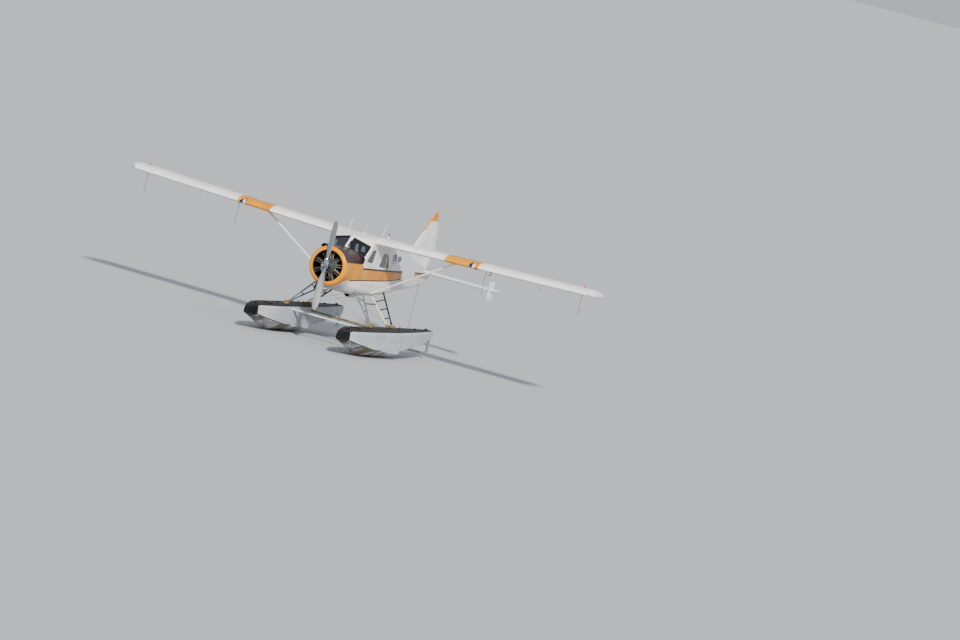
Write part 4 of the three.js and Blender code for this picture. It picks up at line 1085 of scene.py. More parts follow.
pair(side, "cabin_side_skin", fuselage_paint, ["cabin_side"], edge=2, lining=cabin_lining,
     reveals=(3480, 4480))
pair(crew_door, "crew_door_skin", fuselage_paint, ["crew_door"], "crew_door", edge=2,
     lining=cabin_lining, reveals=(1300, 2160))
pair(cabin_door, "cabin_door_skin", fuselage_paint, ["cabin_door"], "cabin_door", edge=2,
     lining=cabin_lining, reveals=(2430, 3500))
print("side panel has", len(side.data.polygons), "faces")
finish_two_sides(cowling, fuselage_paint, sooty_metal, 0)
dressed(cowling, "airframe", fuselage_paint, "cowling", edge=0)

# %% [markdown]
# The roof, the deck ahead of the windscreen and the belly are the rest of the same shell. The
# roof's front edge stands on a short upright brow that closes the room above the flat panes.
# The belly keeps the cabin floor, a plate across the machine, as one piece with it.

# %% Roof, nose deck and belly
BROW = 35


def above_screen(side_sign, start, end):
    top, side_top = SCREEN[3], SCREEN[2]
    outer_point = side_top + 0.15 * (side_top - top)
    outer_point[0] = side_top[0] * 1.15
    return loft([[(-side_sign, top[1] + reach, top[2]),
                  (side_sign * outer_point[0], outer_point[1] + reach, outer_point[2]),
                  (side_sign * outer_point[0], outer_point[1] + reach, 1200),
                  (-side_sign, top[1] + reach, 1200)] for reach in (start, end)])


brow_cuts = [above_screen(sign, -700, 0) for sign in (1, -1)]
roof_region = block((-700, 700), (1300, CABIN_END), (EAVE + GAP, 1200))
roof = cabin_panel("cabin_roof_skin", roof_region)
for sign in (1, -1):
    brow = piece("brow", cabin_skin())
    carved(brow, roof_region, above_screen(sign, 0, BROW), operation="INTERSECT")
    worked(roof, brow, "UNION")
carved(roof, *screen_cuts, *brow_cuts)
finish_two_sides(roof, fuselage_paint, cabin_lining)
dressed(roof, "airframe", fuselage_paint, "cabin_roof", edge=1.5)

deck = cabin_panel("nose_deck_skin", block((-700, 700), (FIREWALL + GAP, DECK_END - GAP),
                                           (DECK_EDGE + GAP, EAVE)))
carved(deck, *screen_cuts)
finish_two_sides(deck, fuselage_paint, cabin_lining)
dressed(deck, "airframe", fuselage_paint, "nose_deck", edge=1)

belly = cabin_panel("belly_skin", block((-700, 700), (FIREWALL + GAP, CABIN_END),
                                        (-900, FLOOR_TOP)))
floor_plate = piece("floor_plate", cabin_skin())
carved(floor_plate, block((-700, 700), (FIREWALL + GAP, CABIN_END),
                          (FLOOR_TOP - 45, FLOOR_TOP)), operation="INTERSECT")
worked(belly, floor_plate, "UNION", 32)
# Ribbed rubber matting lies on the floor: nearly black, dull, worn grey where feet go.
floor_mat = plain_finish("worn rubber floor matting", "2b2b2c", "1c1c1d", 18, 0.85)
finish_two_sides(belly, fuselage_paint, floor_mat)
dressed(belly, "airframe", fuselage_paint, "cabin_floor", edge=1.5)
print("roof, deck and belly:", [len(made.data.polygons) for made in (roof, deck, belly)])

# %% [markdown]
# ## Rear fuselage
# Behind the cabin the fuselage tapers to the tail. It is a semi-monocoque: the skin itself
# carries the load, so it is one long loft with a bulkhead at its front. The tailplane sits in
# a cut-out near its end, and a small ring plate for the tie rope hangs below.

# %% Rear fuselage
TAIL_SECTIONS = [
    [CABIN_END + GAP, 535, 810, -490, 190, 160],
    [5760, 435, 640, -455, 190, 150],
    [6800, 310, 430, -385, 160, 120],
    [7600, 215, 285, -325, 130, 100],
    [8160, 130, 150, -245, 90, 80],
    [8740, 50, 10, -110, 45, 45],
]
TAIL_WALL = 35
TAILPLANE_HEIGHT = 100
ELEVATOR_HINGE = 8340
TAILPLANE_REAR = ELEVATOR_HINGE - 46
# span station, leading edge, half thickness
TAILPLANE_SECTIONS = [(-2260, 7850, 36), (-60, 7720, 48), (60, 7720, 48), (2260, 7850, 36)]


def tail_rings(rows, inset=0.0, steps=9):
    return [rounded_ring(row, steps, inset) for row in rows]


def tailplane_box(span, lead, half, grow=0.0):
    """The rough section of the tailplane, for its seat in the fuselage."""
    lead -= grow
    half += grow
    shares = [(0, 3), (0.1, half * 0.65), (0.4, half), (1, half * 0.85), (1, -half * 0.85),
              (0.4, -half), (0.1, -half * 0.65), (0, -3)]
    return [(span, lead + (TAILPLANE_REAR - lead) * share, TAILPLANE_HEIGHT + rise)
            for share, rise in shares]


tail_rows = smoothed(TAIL_SECTIONS, 160)
inner_rows = tail_rows[tail_rows[:, 0] < 8165].copy()
inner_rows[0, 0] = CABIN_END + 45
rear = piece("rear_fuselage_skin", loft(tail_rings(tail_rows)))
carved(rear, loft(tail_rings(inner_rows, TAIL_WALL)),
       block((-150, 150), (CABIN_END - 50, CABIN_END + 100), (-60, 240)),
       loft([tailplane_box(*row, grow=1) for row in TAILPLANE_SECTIONS]),
       block((-200, 200), (8135, ELEVATOR_HINGE + 60), (TAILPLANE_HEIGHT, 200)),
       block((-200, 200), (TAILPLANE_REAR - 1, ELEVATOR_HINGE + 60), (55, 200)))
RING_PLATE = [(8090, -225), (8190, -225), (8168, -330), (8155, -345), (8125, -345),
              (8112, -330)]
carved(rear, across(RING_PLATE, (-12, 12)), operation="UNION")
dressed(rear, "airframe", fuselage_paint, "rear_fuselage", edge=1.5)
print("rear fuselage has", len(rear.data.polygons), "faces")

# %% [markdown]
# ## Windscreen
# The screen's frame is pressed sheet, white, about 25 mm wide, with a centre post where the
# two panes meet. Each half is a flat ring: the pane's outline with a rounded opening cut in
# it. On the real frame the panes are clamped from inside, so the glass lies a little behind
# the frame's face.

# %% Windscreen frame and panes
FRAME_RIM = 25
FRAME_FACE = 26            # how far the frame's face stands ahead of the panes' plane
SCREEN_CORNER = 34


def in_screen_plane(corner_radius, side_sign=1, rim=0.0):
    """The pane's outline as a rounded loop of points in its own plane."""
    corners = screen_ring(1.0, 0, 1)
    along = (SCREEN[1] - SCREEN[0]) / np.linalg.norm(SCREEN[1] - SCREEN[0])
    across_pane = np.cross(screen_normal, along)
    flat = [((point - SCREEN[0]).dot(along), (point - SCREEN[0]).dot(across_pane))
            for point in corners]
    loop = rounded(flat, corner_radius, rim)
    return np.array([SCREEN[0] + u * along + v * across_pane for u, v in loop]) * [
        side_sign, 1, 1]


def screen_slab(loop, low, high, side_sign):
    normal = screen_normal * [side_sign, 1, 1]
    return loft([loop + normal * low, loop + normal * high])


halves = []
for sign in (1, -1):
    half = piece("frame_half", screen_slab(in_screen_plane(0, sign), 2, FRAME_FACE, sign))
    carved(half, screen_slab(in_screen_plane(SCREEN_CORNER, sign, FRAME_RIM), -30, 60, sign))
    carved(half, block((-700 if sign > 0 else 0, 0 if sign > 0 else 700), (900, 1900),
                       (200, 1200)))
    halves.append(half)
screen_frame = halves[0]
worked(screen_frame, halves[1], "UNION")
carved(screen_frame, rod((0, 1110 - 22, 592 - 4), (0, 1440 - 22, 922 - 4), 44, 16),
       operation="UNION")
screen_frame.name = "windscreen_frame_pressed"


def frame_scheme_with_painted_shade(tree, vector, x, station, height):
    """White to port and over the post, with painted shade in dark blue-grey round the starboard
    pane's sides.
    """
    white = worn_tone(tree, vector, "f4f3ef", "e7e6e2", 3)
    # Painted shade: the starboard pane's sides are drawn dark blue-grey, as if in shadow.
    dark = worn_tone(tree, vector, "232839", "2d3346", 4)
    starboard = calc(tree, "LESS_THAN", x, -0.04)
    line = calc(tree, "MULTIPLY_ADD", station, 0.32, 0.185)
    above = calc(tree, "GREATER_THAN", height, line)
    part = calc(tree, "MULTIPLY", starboard, above)
    return painted_over(tree, white, part, dark)


frame_paint = enamel_on_sheet("white and dark enamel on the screen frame", frame_scheme_with_painted_shade,
                              [("x", "height", 3.0, 1.5)], stain_amount=0.2)
dressed(screen_frame, "airframe", frame_paint, "windscreen_frame", edge=3)
print("frame has", len(screen_frame.data.polygons), "faces")

# %% [markdown]
# Aircraft windows are acrylic sheet, 6 to 8 mm thick: clear, a little blue at the edges, with
# fine scratches from years of wiping. Acrylic bends light less than glass does, so its IOR is
# 1.49. The windscreen's panes are flat slabs; the side panes follow the wall's curve.

# %% Acrylic panes
PANE_DEPTH = 6             # how far the side panes lie behind the skin's outer face
PANE_THICKNESS = 7
acrylic, tree = new_finish("scratched acrylic window sheet")
where = node(tree, "ShaderNodeTexCoord")
wiped = stretched(tree, where.outputs["Object"], (18, 3, 18))
scratches = noise_of(tree, wiped, 12, 8, 0.7)
haze = remap(tree, scratches, 0.5, 0.75, 0.0, 0.03)
tint = blend(tree, haze, "b9c6cc", "aab8be")
set_surface(tree, {"Transmission Weight": 1.0, "IOR": 1.49, "Specular IOR Level": 0.3,
                   "Base Color": tint, "Roughness": haze})

for sign, side_name in ((1, "port"), (-1, "starboard")):
    pane = piece(f"windscreen_pane_{side_name}",
                 screen_slab(in_screen_plane(SCREEN_CORNER, sign, 10), -2 - PANE_THICKNESS, -2,
                             sign))
    dressed(pane, "airframe", acrylic, f"windscreen_{side_name}", edge=1)


def panes_in_skin(name, *outlines):
    """Sheets that follow the wall, a little behind its outer face, in windows of it."""
    made = piece(name, cabin_skin(PANE_DEPTH))
    carved(made, cabin_skin(PANE_DEPTH + PANE_THICKNESS, 10))
    windows = together(*[through_skin(rounded(outline, WINDOW_CORNER - 1, 1))
                         for outline in outlines])
    return carved(made, windows, operation="INTERSECT")


pair(panes_in_skin("crew_window", CREW_WINDOW), "crew_door_window", acrylic,
     ["crew_door_glass"], "crew_door")
pair(panes_in_skin("cabin_window", CABIN_WINDOW), "cabin_door_window", acrylic,
     ["cabin_door_glass"], "cabin_door")
pair(panes_in_skin("rear_windows", *REAR_WINDOWS), "rear_window_sheet", acrylic,
     ["rear_glass"])

# %% [markdown]
# ## Wings
# Each wing is one long metal skin over ribs and two spars, with the same section from root to
# tip and a rounded tip. The section is a table of heights above and below the chord line.
# Between its rows the curve is drawn against the square root of the way aft, which gives the
# nose its round front. The tip shrinks the section along a superellipse, so it closes softly.

# %% Wing section
HALF_SPAN = 7315
CHORD = 1590
WING_STATION = 1740
WING_HEIGHT = 870
# share of the chord, height above it, depth below it, both as shares of the chord
AIRFOIL = [(0, 0.000, 0.000), (0.012, 0.024, -0.018), (0.05, 0.051, -0.032),
           (0.12, 0.077, -0.041), (0.25, 0.098, -0.048), (0.42, 0.099, -0.049),
           (0.60, 0.080, -0.040), (0.80, 0.043, -0.022), (1, 0.004, -0.003)]
airfoil = smoothed([(math.sqrt(share), top, bottom) for share, top, bottom in AIRFOIL], 0.035)
airfoil[:, 0] **= 2
print("wing section has", 2 * len(airfoil) - 1, "points")


def wing_height(span):
    return WING_HEIGHT + abs(span) * WING_RISE


def wing_ring(span, scale=1.0, share=0.45):
    lead = WING_STATION + CHORD * (1 - scale) * share
    upper = [(span, lead + CHORD * scale * f, wing_height(span) + CHORD * scale * top)
             for f, top, _ in airfoil]
    lower = [(span, lead + CHORD * scale * f, wing_height(span) + CHORD * scale * bottom)
             for f, _, bottom in airfoil[:0:-1]]
    return upper + lower


TIP_START = 6950
TIP_POWER = 2.6
wing_rings = [wing_ring(span) for span in np.linspace(SIDE - 60, TIP_START, 24)]
for swing in np.linspace(0.12, 1.54, 13):
    span = TIP_START + (HALF_SPAN - TIP_START) * math.sin(swing) ** (2 / TIP_POWER)
    wing_rings.append(wing_ring(span, math.cos(swing) ** (2 / TIP_POWER)))

# %% [markdown]
# Slotted flaps and ailerons make the rear quarter of the wing. Each has a round nose that
# turns about its hinge line in a cove of the wing, with 8 mm of air all round.

# %% Trailing surfaces and their coves
WING_HINGE = WING_STATION + 1190
WING_TAIL = WING_STATION + CHORD
HINGE_RISE = 22
NOSE_RADIUS = 58
COVE = 8
FLAP_SPAN = (700, 4150)
AILERON_SPAN = (4200, 6900)
PIN = 20
PIN_LENGTH = 40


def arc(centre, radius, start, end, steps):
    return [(centre[0] + radius * math.cos(math.radians(a)),
             centre[1] + radius * math.sin(math.radians(a)))
            for a in np.linspace(start, end, steps + 1)]


def along_wing(outline, spans):
    return loft([[(span, s, h + wing_height(span)) for s, h in outline] for span in spans])


def hinge_rod(start, end, diameter):
    ends = [(span, WING_HINGE, wing_height(span) + HINGE_RISE) for span in (start, end)]
    return rod(*ends, diameter, 20)


def coves(inner, outer):
    return (along_wing(arc((WING_HINGE, HINGE_RISE), NOSE_RADIUS + COVE, 0, 345, 23),
                       (inner, outer)),
            along_wing([(WING_HINGE - 22, -200), (WING_TAIL + 60, -200),
                        (WING_TAIL + 60, 300), (WING_HINGE - 22, 300)], (inner, outer)))


# The upper side bulges a little between nose and edge, as the wing's own curve does.
surface_outline = arc((WING_HINGE, HINGE_RISE), NOSE_RADIUS, 80, 280, 20) + [
    (WING_TAIL - 4, -4), (WING_TAIL - 1, 1), (WING_TAIL - 4, 6),
    (WING_HINGE + 260, 41), (WING_HINGE + 130, 64)]


def trailing_surface(name, inner, outer):
    made = piece(name, along_wing(surface_outline, np.linspace(inner + 6, outer - 6, 12)))
    return carved(made, hinge_rod(inner - 10, inner + PIN_LENGTH + 10, PIN + 2),
                  hinge_rod(outer - PIN_LENGTH - 10, outer + 10, PIN + 2))


TIE_SPANS = (3880, 6820)
PAD_STATION = WING_TIE_STATION - 75
wing = piece("wing_skin", loft(wing_rings))
cabin_room = cabin_skin()
cabin_room = (cabin_room[0] + [GAP, 0, 0], cabin_room[1])
carved(wing, *coves(*FLAP_SPAN), *coves(*AILERON_SPAN), cabin_room)
pins = [hinge_rod(a, b, PIN) for inner, outer in (FLAP_SPAN, AILERON_SPAN)
        for a, b in ((inner - 20, inner + PIN_LENGTH), (outer - PIN_LENGTH, outer + 20))]
pads = [block((span - 30, span + 30), (PAD_STATION - 40, PAD_STATION + 40),
              (wing_underside(span) - 14, wing_underside(span) + 40)) for span in TIE_SPANS]
lugs = [block((span - 8, span + 8), (WING_TIE_STATION - 16, WING_TIE_STATION + 16),
              (wing_underside(span) - LUG_DROP, wing_underside(span) + 40))
        for span in TIE_SPANS]
carved(wing, *pins, *pads, *lugs, operation="UNION")
flap = trailing_surface("flap_skin", *FLAP_SPAN)
aileron = trailing_surface("aileron_skin", *AILERON_SPAN)
print("wing:", len(wing.data.polygons), "flap:", len(flap.data.polygons))

# %% [markdown]
# The wings are the same white enamel with one broad orange band each. Their ribs stand about
# 0.4 m apart, and the skin is riveted along them and along the two spars. The tips and the
# leading edge have lost some gloss to spray.

# %% Wing scheme
BAND = (2.74, 3.78)


def wing_scheme(tree, vector, x, station, height):
    white = worn_tone(tree, vector, "f3f2ee", "e6e6e6", 0.9)
    span = calc(tree, "ABSOLUTE", x)
    band = between_stations(tree, span, *BAND)
    orange = worn_tone(tree, vector, "e09200", "cb8000", 1.8)
    colour = painted_over(tree, white, band, orange)
    nose = remap(tree, station, 1.74, 1.82, 0.35, 0.0)
    pits = noise_of(tree, vector, 55, 5)
    chips = remap(tree, pits, 0.6, 0.7)
    bare = calc(tree, "MULTIPLY", nose, chips)
    return painted_over(tree, colour, bare, "9a9a98")


wing_paint = enamel_on_sheet("gloss enamel on wing sheet", wing_scheme,
                             [("x", "station", 0.415, 0.18),
                              ("station", "x", 0.62, 1.96)], roughness=0.27,
                             stain_amount=0.22)
pair(wing, "wing_skin", wing_paint, ["wing"], edge=1.5)
pair(flap, "flap_skin", wing_paint, ["flap"], "flap", edge=1.5)

# %% [markdown]
# Each aileron carries a mass balance: a bent arm under the wing with a lead weight at its
# end, which keeps the aileron from fluttering. On the port wing a pitot head reaches out
# ahead of the leading edge and measures the airspeed.

# %% Aileron balance and pitot head
BALANCE_SPAN = 5350
balance_height = wing_height(BALANCE_SPAN)
arm_points = curve_through([(BALANCE_SPAN, WING_HINGE + aft, balance_height - drop)
                            for aft, drop in ((60, 22), (30, 90), (-40, 215), (-70, 238))], 8)
arm = tube_along(arm_points, 20, 12)


weight = pipe((BALANCE_SPAN, WING_HINGE - 55, balance_height - 235),
              (BALANCE_SPAN, WING_HINGE - 150, balance_height - 260),
              [(0, 6), (0.03, 17), (0.15, 23), (0.7, 23), (0.92, 14), (1, 4)], 24)
foot = pipe((BALANCE_SPAN, WING_HINGE + 62, balance_height - 12),
            (BALANCE_SPAN, WING_HINGE + 56, balance_height - 34),
            [(0, 26), (0.8, 26), (1, 14)], 24)
carved(aileron, foot, arm, operation="UNION")
carved(aileron, weight, operation="UNION")
pair(aileron, "aileron_skin", wing_paint, ["aileron"], "aileron", edge=1.0)

PITOT_SPAN = 4150
pitot_height = wing_underside(PITOT_SPAN) - 55
pitot = piece("pitot_head", together(
    pipe((PITOT_SPAN, WING_STATION + 142, wing_underside(PITOT_SPAN) + 30),
         (PITOT_SPAN, WING_STATION + 120, pitot_height - 4),
         [(0, 20), (0.45, 19), (0.55, 12), (1, 11)], 20),
    pipe((PITOT_SPAN, WING_STATION + 165, pitot_height),
         (PITOT_SPAN, WING_STATION - 150, pitot_height),
         [(0, 3), (0.03, 10), (0.35, 13), (0.62, 13), (0.68, 8.5), (0.97, 8), (1, 6.5),
          (1, 4), (0.96, 3)], 24)))
# Anodised aluminium tube, weathered dark.
dark_anodised = plain_finish("dark anodised aluminium tube", "33353a", "1f2024", 40, 0.38,
                             metallic=0.7)
dressed(pitot, "airframe", dark_anodised)

# %% [markdown]
# The landing lights sit in the leading edge, at the outer end of each orange band: a dark
# bezel and a curved lens that follows the wing's nose. Points on a disc are pushed back to
# the section's own curve, so the light lies flush.

# %% Landing lights
LIGHT_SPAN = 3600


def nose_station(rise):
    """How far aft the section's surface lies at a height above or below its nose."""
    column = 1 if rise >= 0 else 2
    rows = airfoil[airfoil[:, 0] < 0.25]
    return CHORD * float(np.interp(abs(rise) / CHORD, np.abs(rows[:, column]), rows[:, 0]))


def nose_disc(span, radius, low, high, centre_rise=14, rings=7, sides=40):
    """A lens-shaped body on the wing's nose, between two distances ahead of the skin."""
    def point(r, angle, lift):
        rise = centre_rise + r * math.sin(angle)
        return (span + r * math.cos(angle), WING_STATION + nose_station(rise) - lift,
                wing_height(span) + rise)
    turns = np.arange(sides) * 2 * math.pi / sides
    front_rings = [[point(radius * k / rings, a, high) for a in turns]
                   for k in range(1, rings + 1)]
    rear_rings = [[point(radius * k / rings, a, low) for a in turns]
                  for k in range(rings, 0, -1)]
    return loft(front_rings + rear_rings)


# A painted steel bezel, nearly black.
bezel_paint = plain_finish("black stove enamel on a bezel", "1b1b1d", "101012", 30, 0.35)
# A clear lens with a silvered reflector behind its outer half and a painted shadow, near-black,
# behind the inner half, drawn as one coated surface because the lamp behind it is closed.
lamp_lens, tree = new_finish("lens over a silvered reflector")
vector, x, *_ = stations(tree)
offset = calc(tree, "SUBTRACT", x, LIGHT_SPAN / 1000)
mirror_offset = calc(tree, "ADD", x, LIGHT_SPAN / 1000)
is_port = calc(tree, "GREATER_THAN", x, 0.0)
split = node(tree, "ShaderNodeMix", {"Factor": is_port, "A": mirror_offset, "B": offset})
bright = remap(tree, split.outputs["Result"], -0.012, 0.0)
ribbing = node(tree, "ShaderNodeTexWave", {"Vector": vector, "Scale": 28}, bands_direction="X")
# Painted shadow on the inner half of each lens, bright reflector on the outer half.
reflector_and_painted_shadow = blend(tree, bright, "15181c", "f2f4f6")
flute = bumped(tree, ribbing.outputs["Fac"], 0.3, 0.002)
set_surface(tree, {"Base Color": reflector_and_painted_shadow, "Normal": flute, "Metallic": 0.35, "Roughness": 0.12,
                   "Coat Weight": 1.0})

for shape, base, finish in (
        (nose_disc(LIGHT_SPAN, 103, -12, 3), "landing_light_bezel", bezel_paint),
        (nose_disc(LIGHT_SPAN, 82, -10, 6), "landing_light_lens", lamp_lens)):
    port = piece(f"{base}_port", shape)
    for made in (port, other_side(port, f"{base}_starboard")):
        dressed(made, "airframe", finish)

# %% [markdown]
# Lamps mark the tips: red to port and green to starboard on the nose of the tip, and a small
# red flashing lamp on top near each tip. Each lens is a low dome on a base ring.

# %% Tip lamps
def lens_finish(name, code):
    """Coloured acrylic over a lamp: clear, saturated, bright where light passes."""
    made, tree = new_finish(name)
    vector = node(tree, "ShaderNodeTexCoord").outputs["Object"]
    fluting = node(tree, "ShaderNodeTexWave", {"Vector": vector, "Scale": 90},
                   bands_direction="Z")
    shades = worn_tone(tree, vector, code, code[:2] + "2018", 20)
    relief = bumped(tree, fluting.outputs["Fac"], 0.3, 0.001)
    set_surface(tree, {"Base Color": shades, "Normal": relief, "Roughness": 0.08,
                       "Transmission Weight": 0.25, "Coat Weight": 1.0, "IOR": 1.49})
    return made


red_lens = lens_finish("red acrylic lamp lens", "d01410")
green_lens = lens_finish("green acrylic lamp lens", "108a3c")


def dome(centre, radius, height, axis=(0, 0, 1), sides=24):
    """A low dome with a base ring, standing along an axis."""
    axis = np.asarray(axis, float) / np.linalg.norm(axis)
    profile = [(-0.3, radius * 1.15), (0.06, radius * 1.15), (0.08, radius)]
    profile += [(0.08 + 0.92 * math.sin(a), max(1.5, radius * math.cos(a)))
                for a in np.linspace(0.2, 1.5, 7)]
    start = np.asarray(centre, float)
    return pipe(start, start + axis * height, profile, sides)


for sign, side_name, lens in ((1, "port", red_lens), (-1, "starboard", green_lens)):
    top_at = (sign * 6840, WING_STATION + 480, wing_height(6840) + 0.0985 * CHORD - 2)
    flasher = piece(f"tip_flasher_{side_name}", dome(top_at, 30, 52))
    dressed(flasher, "airframe", red_lens)
    nose_at = (sign * 7120, WING_STATION + 74, wing_height(7120) + 8)
    marker = piece(f"tip_lamp_{side_name}", dome(nose_at, 26, 60, (sign * 0.55, -0.83, 0)))
    dressed(marker, "airframe", lens)

# %% [markdown]
# ## Wing struts
# One strut a side braces each wing. It is an extruded tube of teardrop section, blunt nose
# forward, with a short fairing at each end where it is bolted to wing and fuselage.

# %% Teardrop struts
def teardrop(start, end, chord, thickness, fore=(0, 1, 0), steps=11, ends=((0, 1), (1, 1))):
    """A streamlined bar: shares along it with a scale of its section at each."""
    start, end = np.asarray(start, float), np.asarray(end, float)
    run = (end - start) / np.linalg.norm(end - start)
    fore = np.asarray(fore, float)
    fore = fore - run * fore.dot(run)
    fore /= np.linalg.norm(fore)
    side_way = np.cross(run, fore)
    share = (1 - np.cos(np.linspace(0, math.pi, steps))) / 2
    half = 2.6 * (0.2969 * np.sqrt(share) - 0.126 * share - 0.3516 * share**2
                  + 0.2843 * share**3 - 0.1015 * share**4) * 0.5 / 0.13 * 0.5
    half = half / half.max() * 0.5
    outline = np.concatenate([np.stack([share - 0.45, half], -1),
                              np.stack([share - 0.45, -half], -1)[-2:0:-1]])
    section = outline[:, :1] * fore * chord + outline[:, 1:] * side_way * thickness
    return loft([start + (end - start) * s + section * scale for s, scale in ends])


STRUT_TOP = np.array([3040, WING_STATION + 450, wing_height(3040)])
STRUT_FOOT_POINT = np.array([575, 2470, -620])
strut = piece("wing_strut_tube", teardrop(STRUT_FOOT_POINT, STRUT_TOP, 128, 48))
carved(strut, loft(wing_rings), cabin_skin())
cuffs = [teardrop(STRUT_FOOT_POINT, STRUT_TOP, 138, 60,
                  ends=((0.028, 0.9), (0.034, 1), (0.085, 1), (0.092, 0.94))),
         teardrop(STRUT_FOOT_POINT, STRUT_TOP, 138, 62,
                  ends=((0.925, 0.94), (0.932, 1), (0.965, 1), (0.972, 0.95)))]
carved(strut, *cuffs, operation="UNION")
strut_enamel = enamel_on_sheet(
    "cream enamel on an extruded strut",
    lambda tree, vector, x, station, height: worn_tone(tree, vector, "f4efe2", "e9e4d6", 3),
    [("x", "height", 0.9, 0.1)], roughness=0.3, stain="8a6f52", stain_amount=0.2)
pair(strut, "wing_strut_tube", strut_enamel, ["wing_strut"], edge=0.8)
# The root fitting: a forged bracket, brown with old primer and oil.
root_fitting = piece("strut_root_fitting", together(
    block((520, 600), (2405, 2540), (-640, -560)),
    rod((500, 2470, -606), (640, 2470, -606), 34, 16)))
carved(root_fitting, cabin_skin())
oily_primer = plain_finish("oily brown primer on a forging", "6a4a32", "4b3626", 25, 0.55)
pair(root_fitting, "strut_root_fitting", oily_primer, [])

# %% [markdown]
# ## Tail
# The fin is a tall blade that grows out of the rear fuselage, the rudder hangs behind it on a
# round nose, and the tailplane passes through the fuselage. Each is a thin closed body whose
# section is thickest two fifths of the way aft. The outlines are drawn through few rows with
# a smooth curve, so the fin's top rounds over.

# %% Fin and tailplane
SLAB_SHARES = [(0, 0.0), (0.02, 0.3), (0.06, 0.5), (0.12, 0.7), (0.25, 0.91), (0.4, 1.0),
               (0.7, 0.94), (1, 0.82)]
# height, leading edge, trailing edge, half thickness
FIN = [(60, 6010, 8122, 50), (480, 6450, 8122, 50), (1320, 7390, 8126, 36),
       (1760, 7905, 8130, 24), (1850, 8030, 8131, 19), (1880, 8085, 8132, 16)]


def slab_ring(lead, trail, half, nose=3.0):
    """Half thickness on both sides of a chord: (across, along) points."""
    rows = [(nose + (half - nose) * rise, lead + (trail - lead) * share)
            for share, rise in SLAB_SHARES]
    return rows + [(-rise, along) for rise, along in rows[::-1]]


fin_rows = smoothed(FIN, 60)
fin = piece("fin_skin", loft([[(x, s, height) for x, s in slab_ring(lead, trail, half)]
                              for height, lead, trail, half in fin_rows]))
carved(fin, loft(tail_rings(tail_rows, -0.3)),
       loft([[(x, s, h) for x, s in [(-60, 5800), (60, 5800), (60, CABIN_END + 200),
                                     (-60, CABIN_END + 200)]] for h in (50, 60)]))
TIPS = [(2258, 7850, 8650, 36), (2320, 7905, 8625, 33), (2370, 7995, 8560, 26),
        (2402, 8080, 8480, 19), (2415, 8130, 8430, 12)]


def flat_ring(span, lead, trail, half, height=TAILPLANE_HEIGHT):
    return [(span, s, height + rise) for rise, s in slab_ring(lead, trail, half)]


stab_rows = [(-2258, 7850, 36), (-1200, 7789, 41.8), (-60, 7720, 48), (60, 7720, 48),
             (1200, 7789, 41.8), (2258, 7850, 36)]
stab = piece("tailplane_skin", loft([flat_ring(span, lead, TAILPLANE_REAR, half)
                                     for span, lead, half in stab_rows]))
tips = [loft([flat_ring(sign * span, lead, trail, half) for span, lead, trail, half in TIPS])
        for sign in (1, -1)]
tail_pins = [rod((sign * 2210, ELEVATOR_HINGE, TAILPLANE_HEIGHT),
                 (sign * 2270, ELEVATOR_HINGE, TAILPLANE_HEIGHT), PIN, 20) for sign in (1, -1)]
RUDDER_HINGE = 8180
rudder_post = rod((0, RUDDER_HINGE, 110), (0, RUDDER_HINGE, 250), PIN, 20)
bridge = block((-30, 30), (RUDDER_HINGE - 30, TAILPLANE_REAR), (TAILPLANE_HEIGHT - 20, 140))
carved(stab, *tips, *tail_pins, rudder_post, bridge, operation="UNION")
print("fin:", len(fin.data.polygons), "tailplane:", len(stab.data.polygons))

# %% [markdown]
# The moving surfaces turn about a line inside their round noses. The elevator is one piece:
# its halves are joined by a tube that passes behind the rudder's foot.

# %% Rudder and elevator
# height, trailing edge, nose radius
RUDDER = [(175, 8380, 42), (320, 8560, 41), (700, 8660, 38), (1160, 8625, 32),
          (1600, 8425, 24), (1850, 8270, 18)]
ELEVATOR = [(150, 8400), (330, 8705), (1400, 8680), (2244, 8650)]
ELEVATOR_NOSE = 38


def nosed_ring(hinge, trail, radius, steps=14):
    """A round nose about the hinge that thins to the trailing edge."""
    nose = [(radius * math.sin(a), hinge - radius * math.cos(a))
            for a in np.linspace(-1.75, 1.75, steps)]
    run = trail - hinge
    taper = [(share, radius * (1 - share) ** 0.9 * 0.98) for share in (0.25, 0.5, 0.75, 0.9)]
    side_points = [(half + 1.5, hinge + run * share) for share, half in taper]
    return nose + side_points + [(1.5, trail), (-1.5, trail)] + [
        (-half, s) for half, s in side_points[::-1]]


rudder_rows = smoothed(RUDDER, 70)
rudder = piece("rudder_skin", loft([[(x, s, h) for x, s in nosed_ring(RUDDER_HINGE, trail, r)]
                                    for h, trail, r in rudder_rows]))
carved(rudder, rod((0, RUDDER_HINGE, 150), (0, RUDDER_HINGE, 262), PIN + 2, 20))
trim_tab = block((-7, 7), (8652, 8690), (520, 900))
carved(rudder, trim_tab, operation="UNION")
elevator = piece("elevator_skin", rod((-160, ELEVATOR_HINGE, TAILPLANE_HEIGHT),
                                      (160, ELEVATOR_HINGE, TAILPLANE_HEIGHT), 44, 28))
elevator_rows = smoothed(ELEVATOR, 130)
for sign in (1, -1):
    half_elevator = loft([[(sign * span, s, TAILPLANE_HEIGHT + rise)
                           for rise, s in nosed_ring(ELEVATOR_HINGE, trail, ELEVATOR_NOSE)]
                          for span, trail in elevator_rows])
    carved(elevator, half_elevator, operation="UNION")
    carved(elevator, rod((sign * 2200, ELEVATOR_HINGE, TAILPLANE_HEIGHT),
                         (sign * 2300, ELEVATOR_HINGE, TAILPLANE_HEIGHT), PIN + 2, 20))
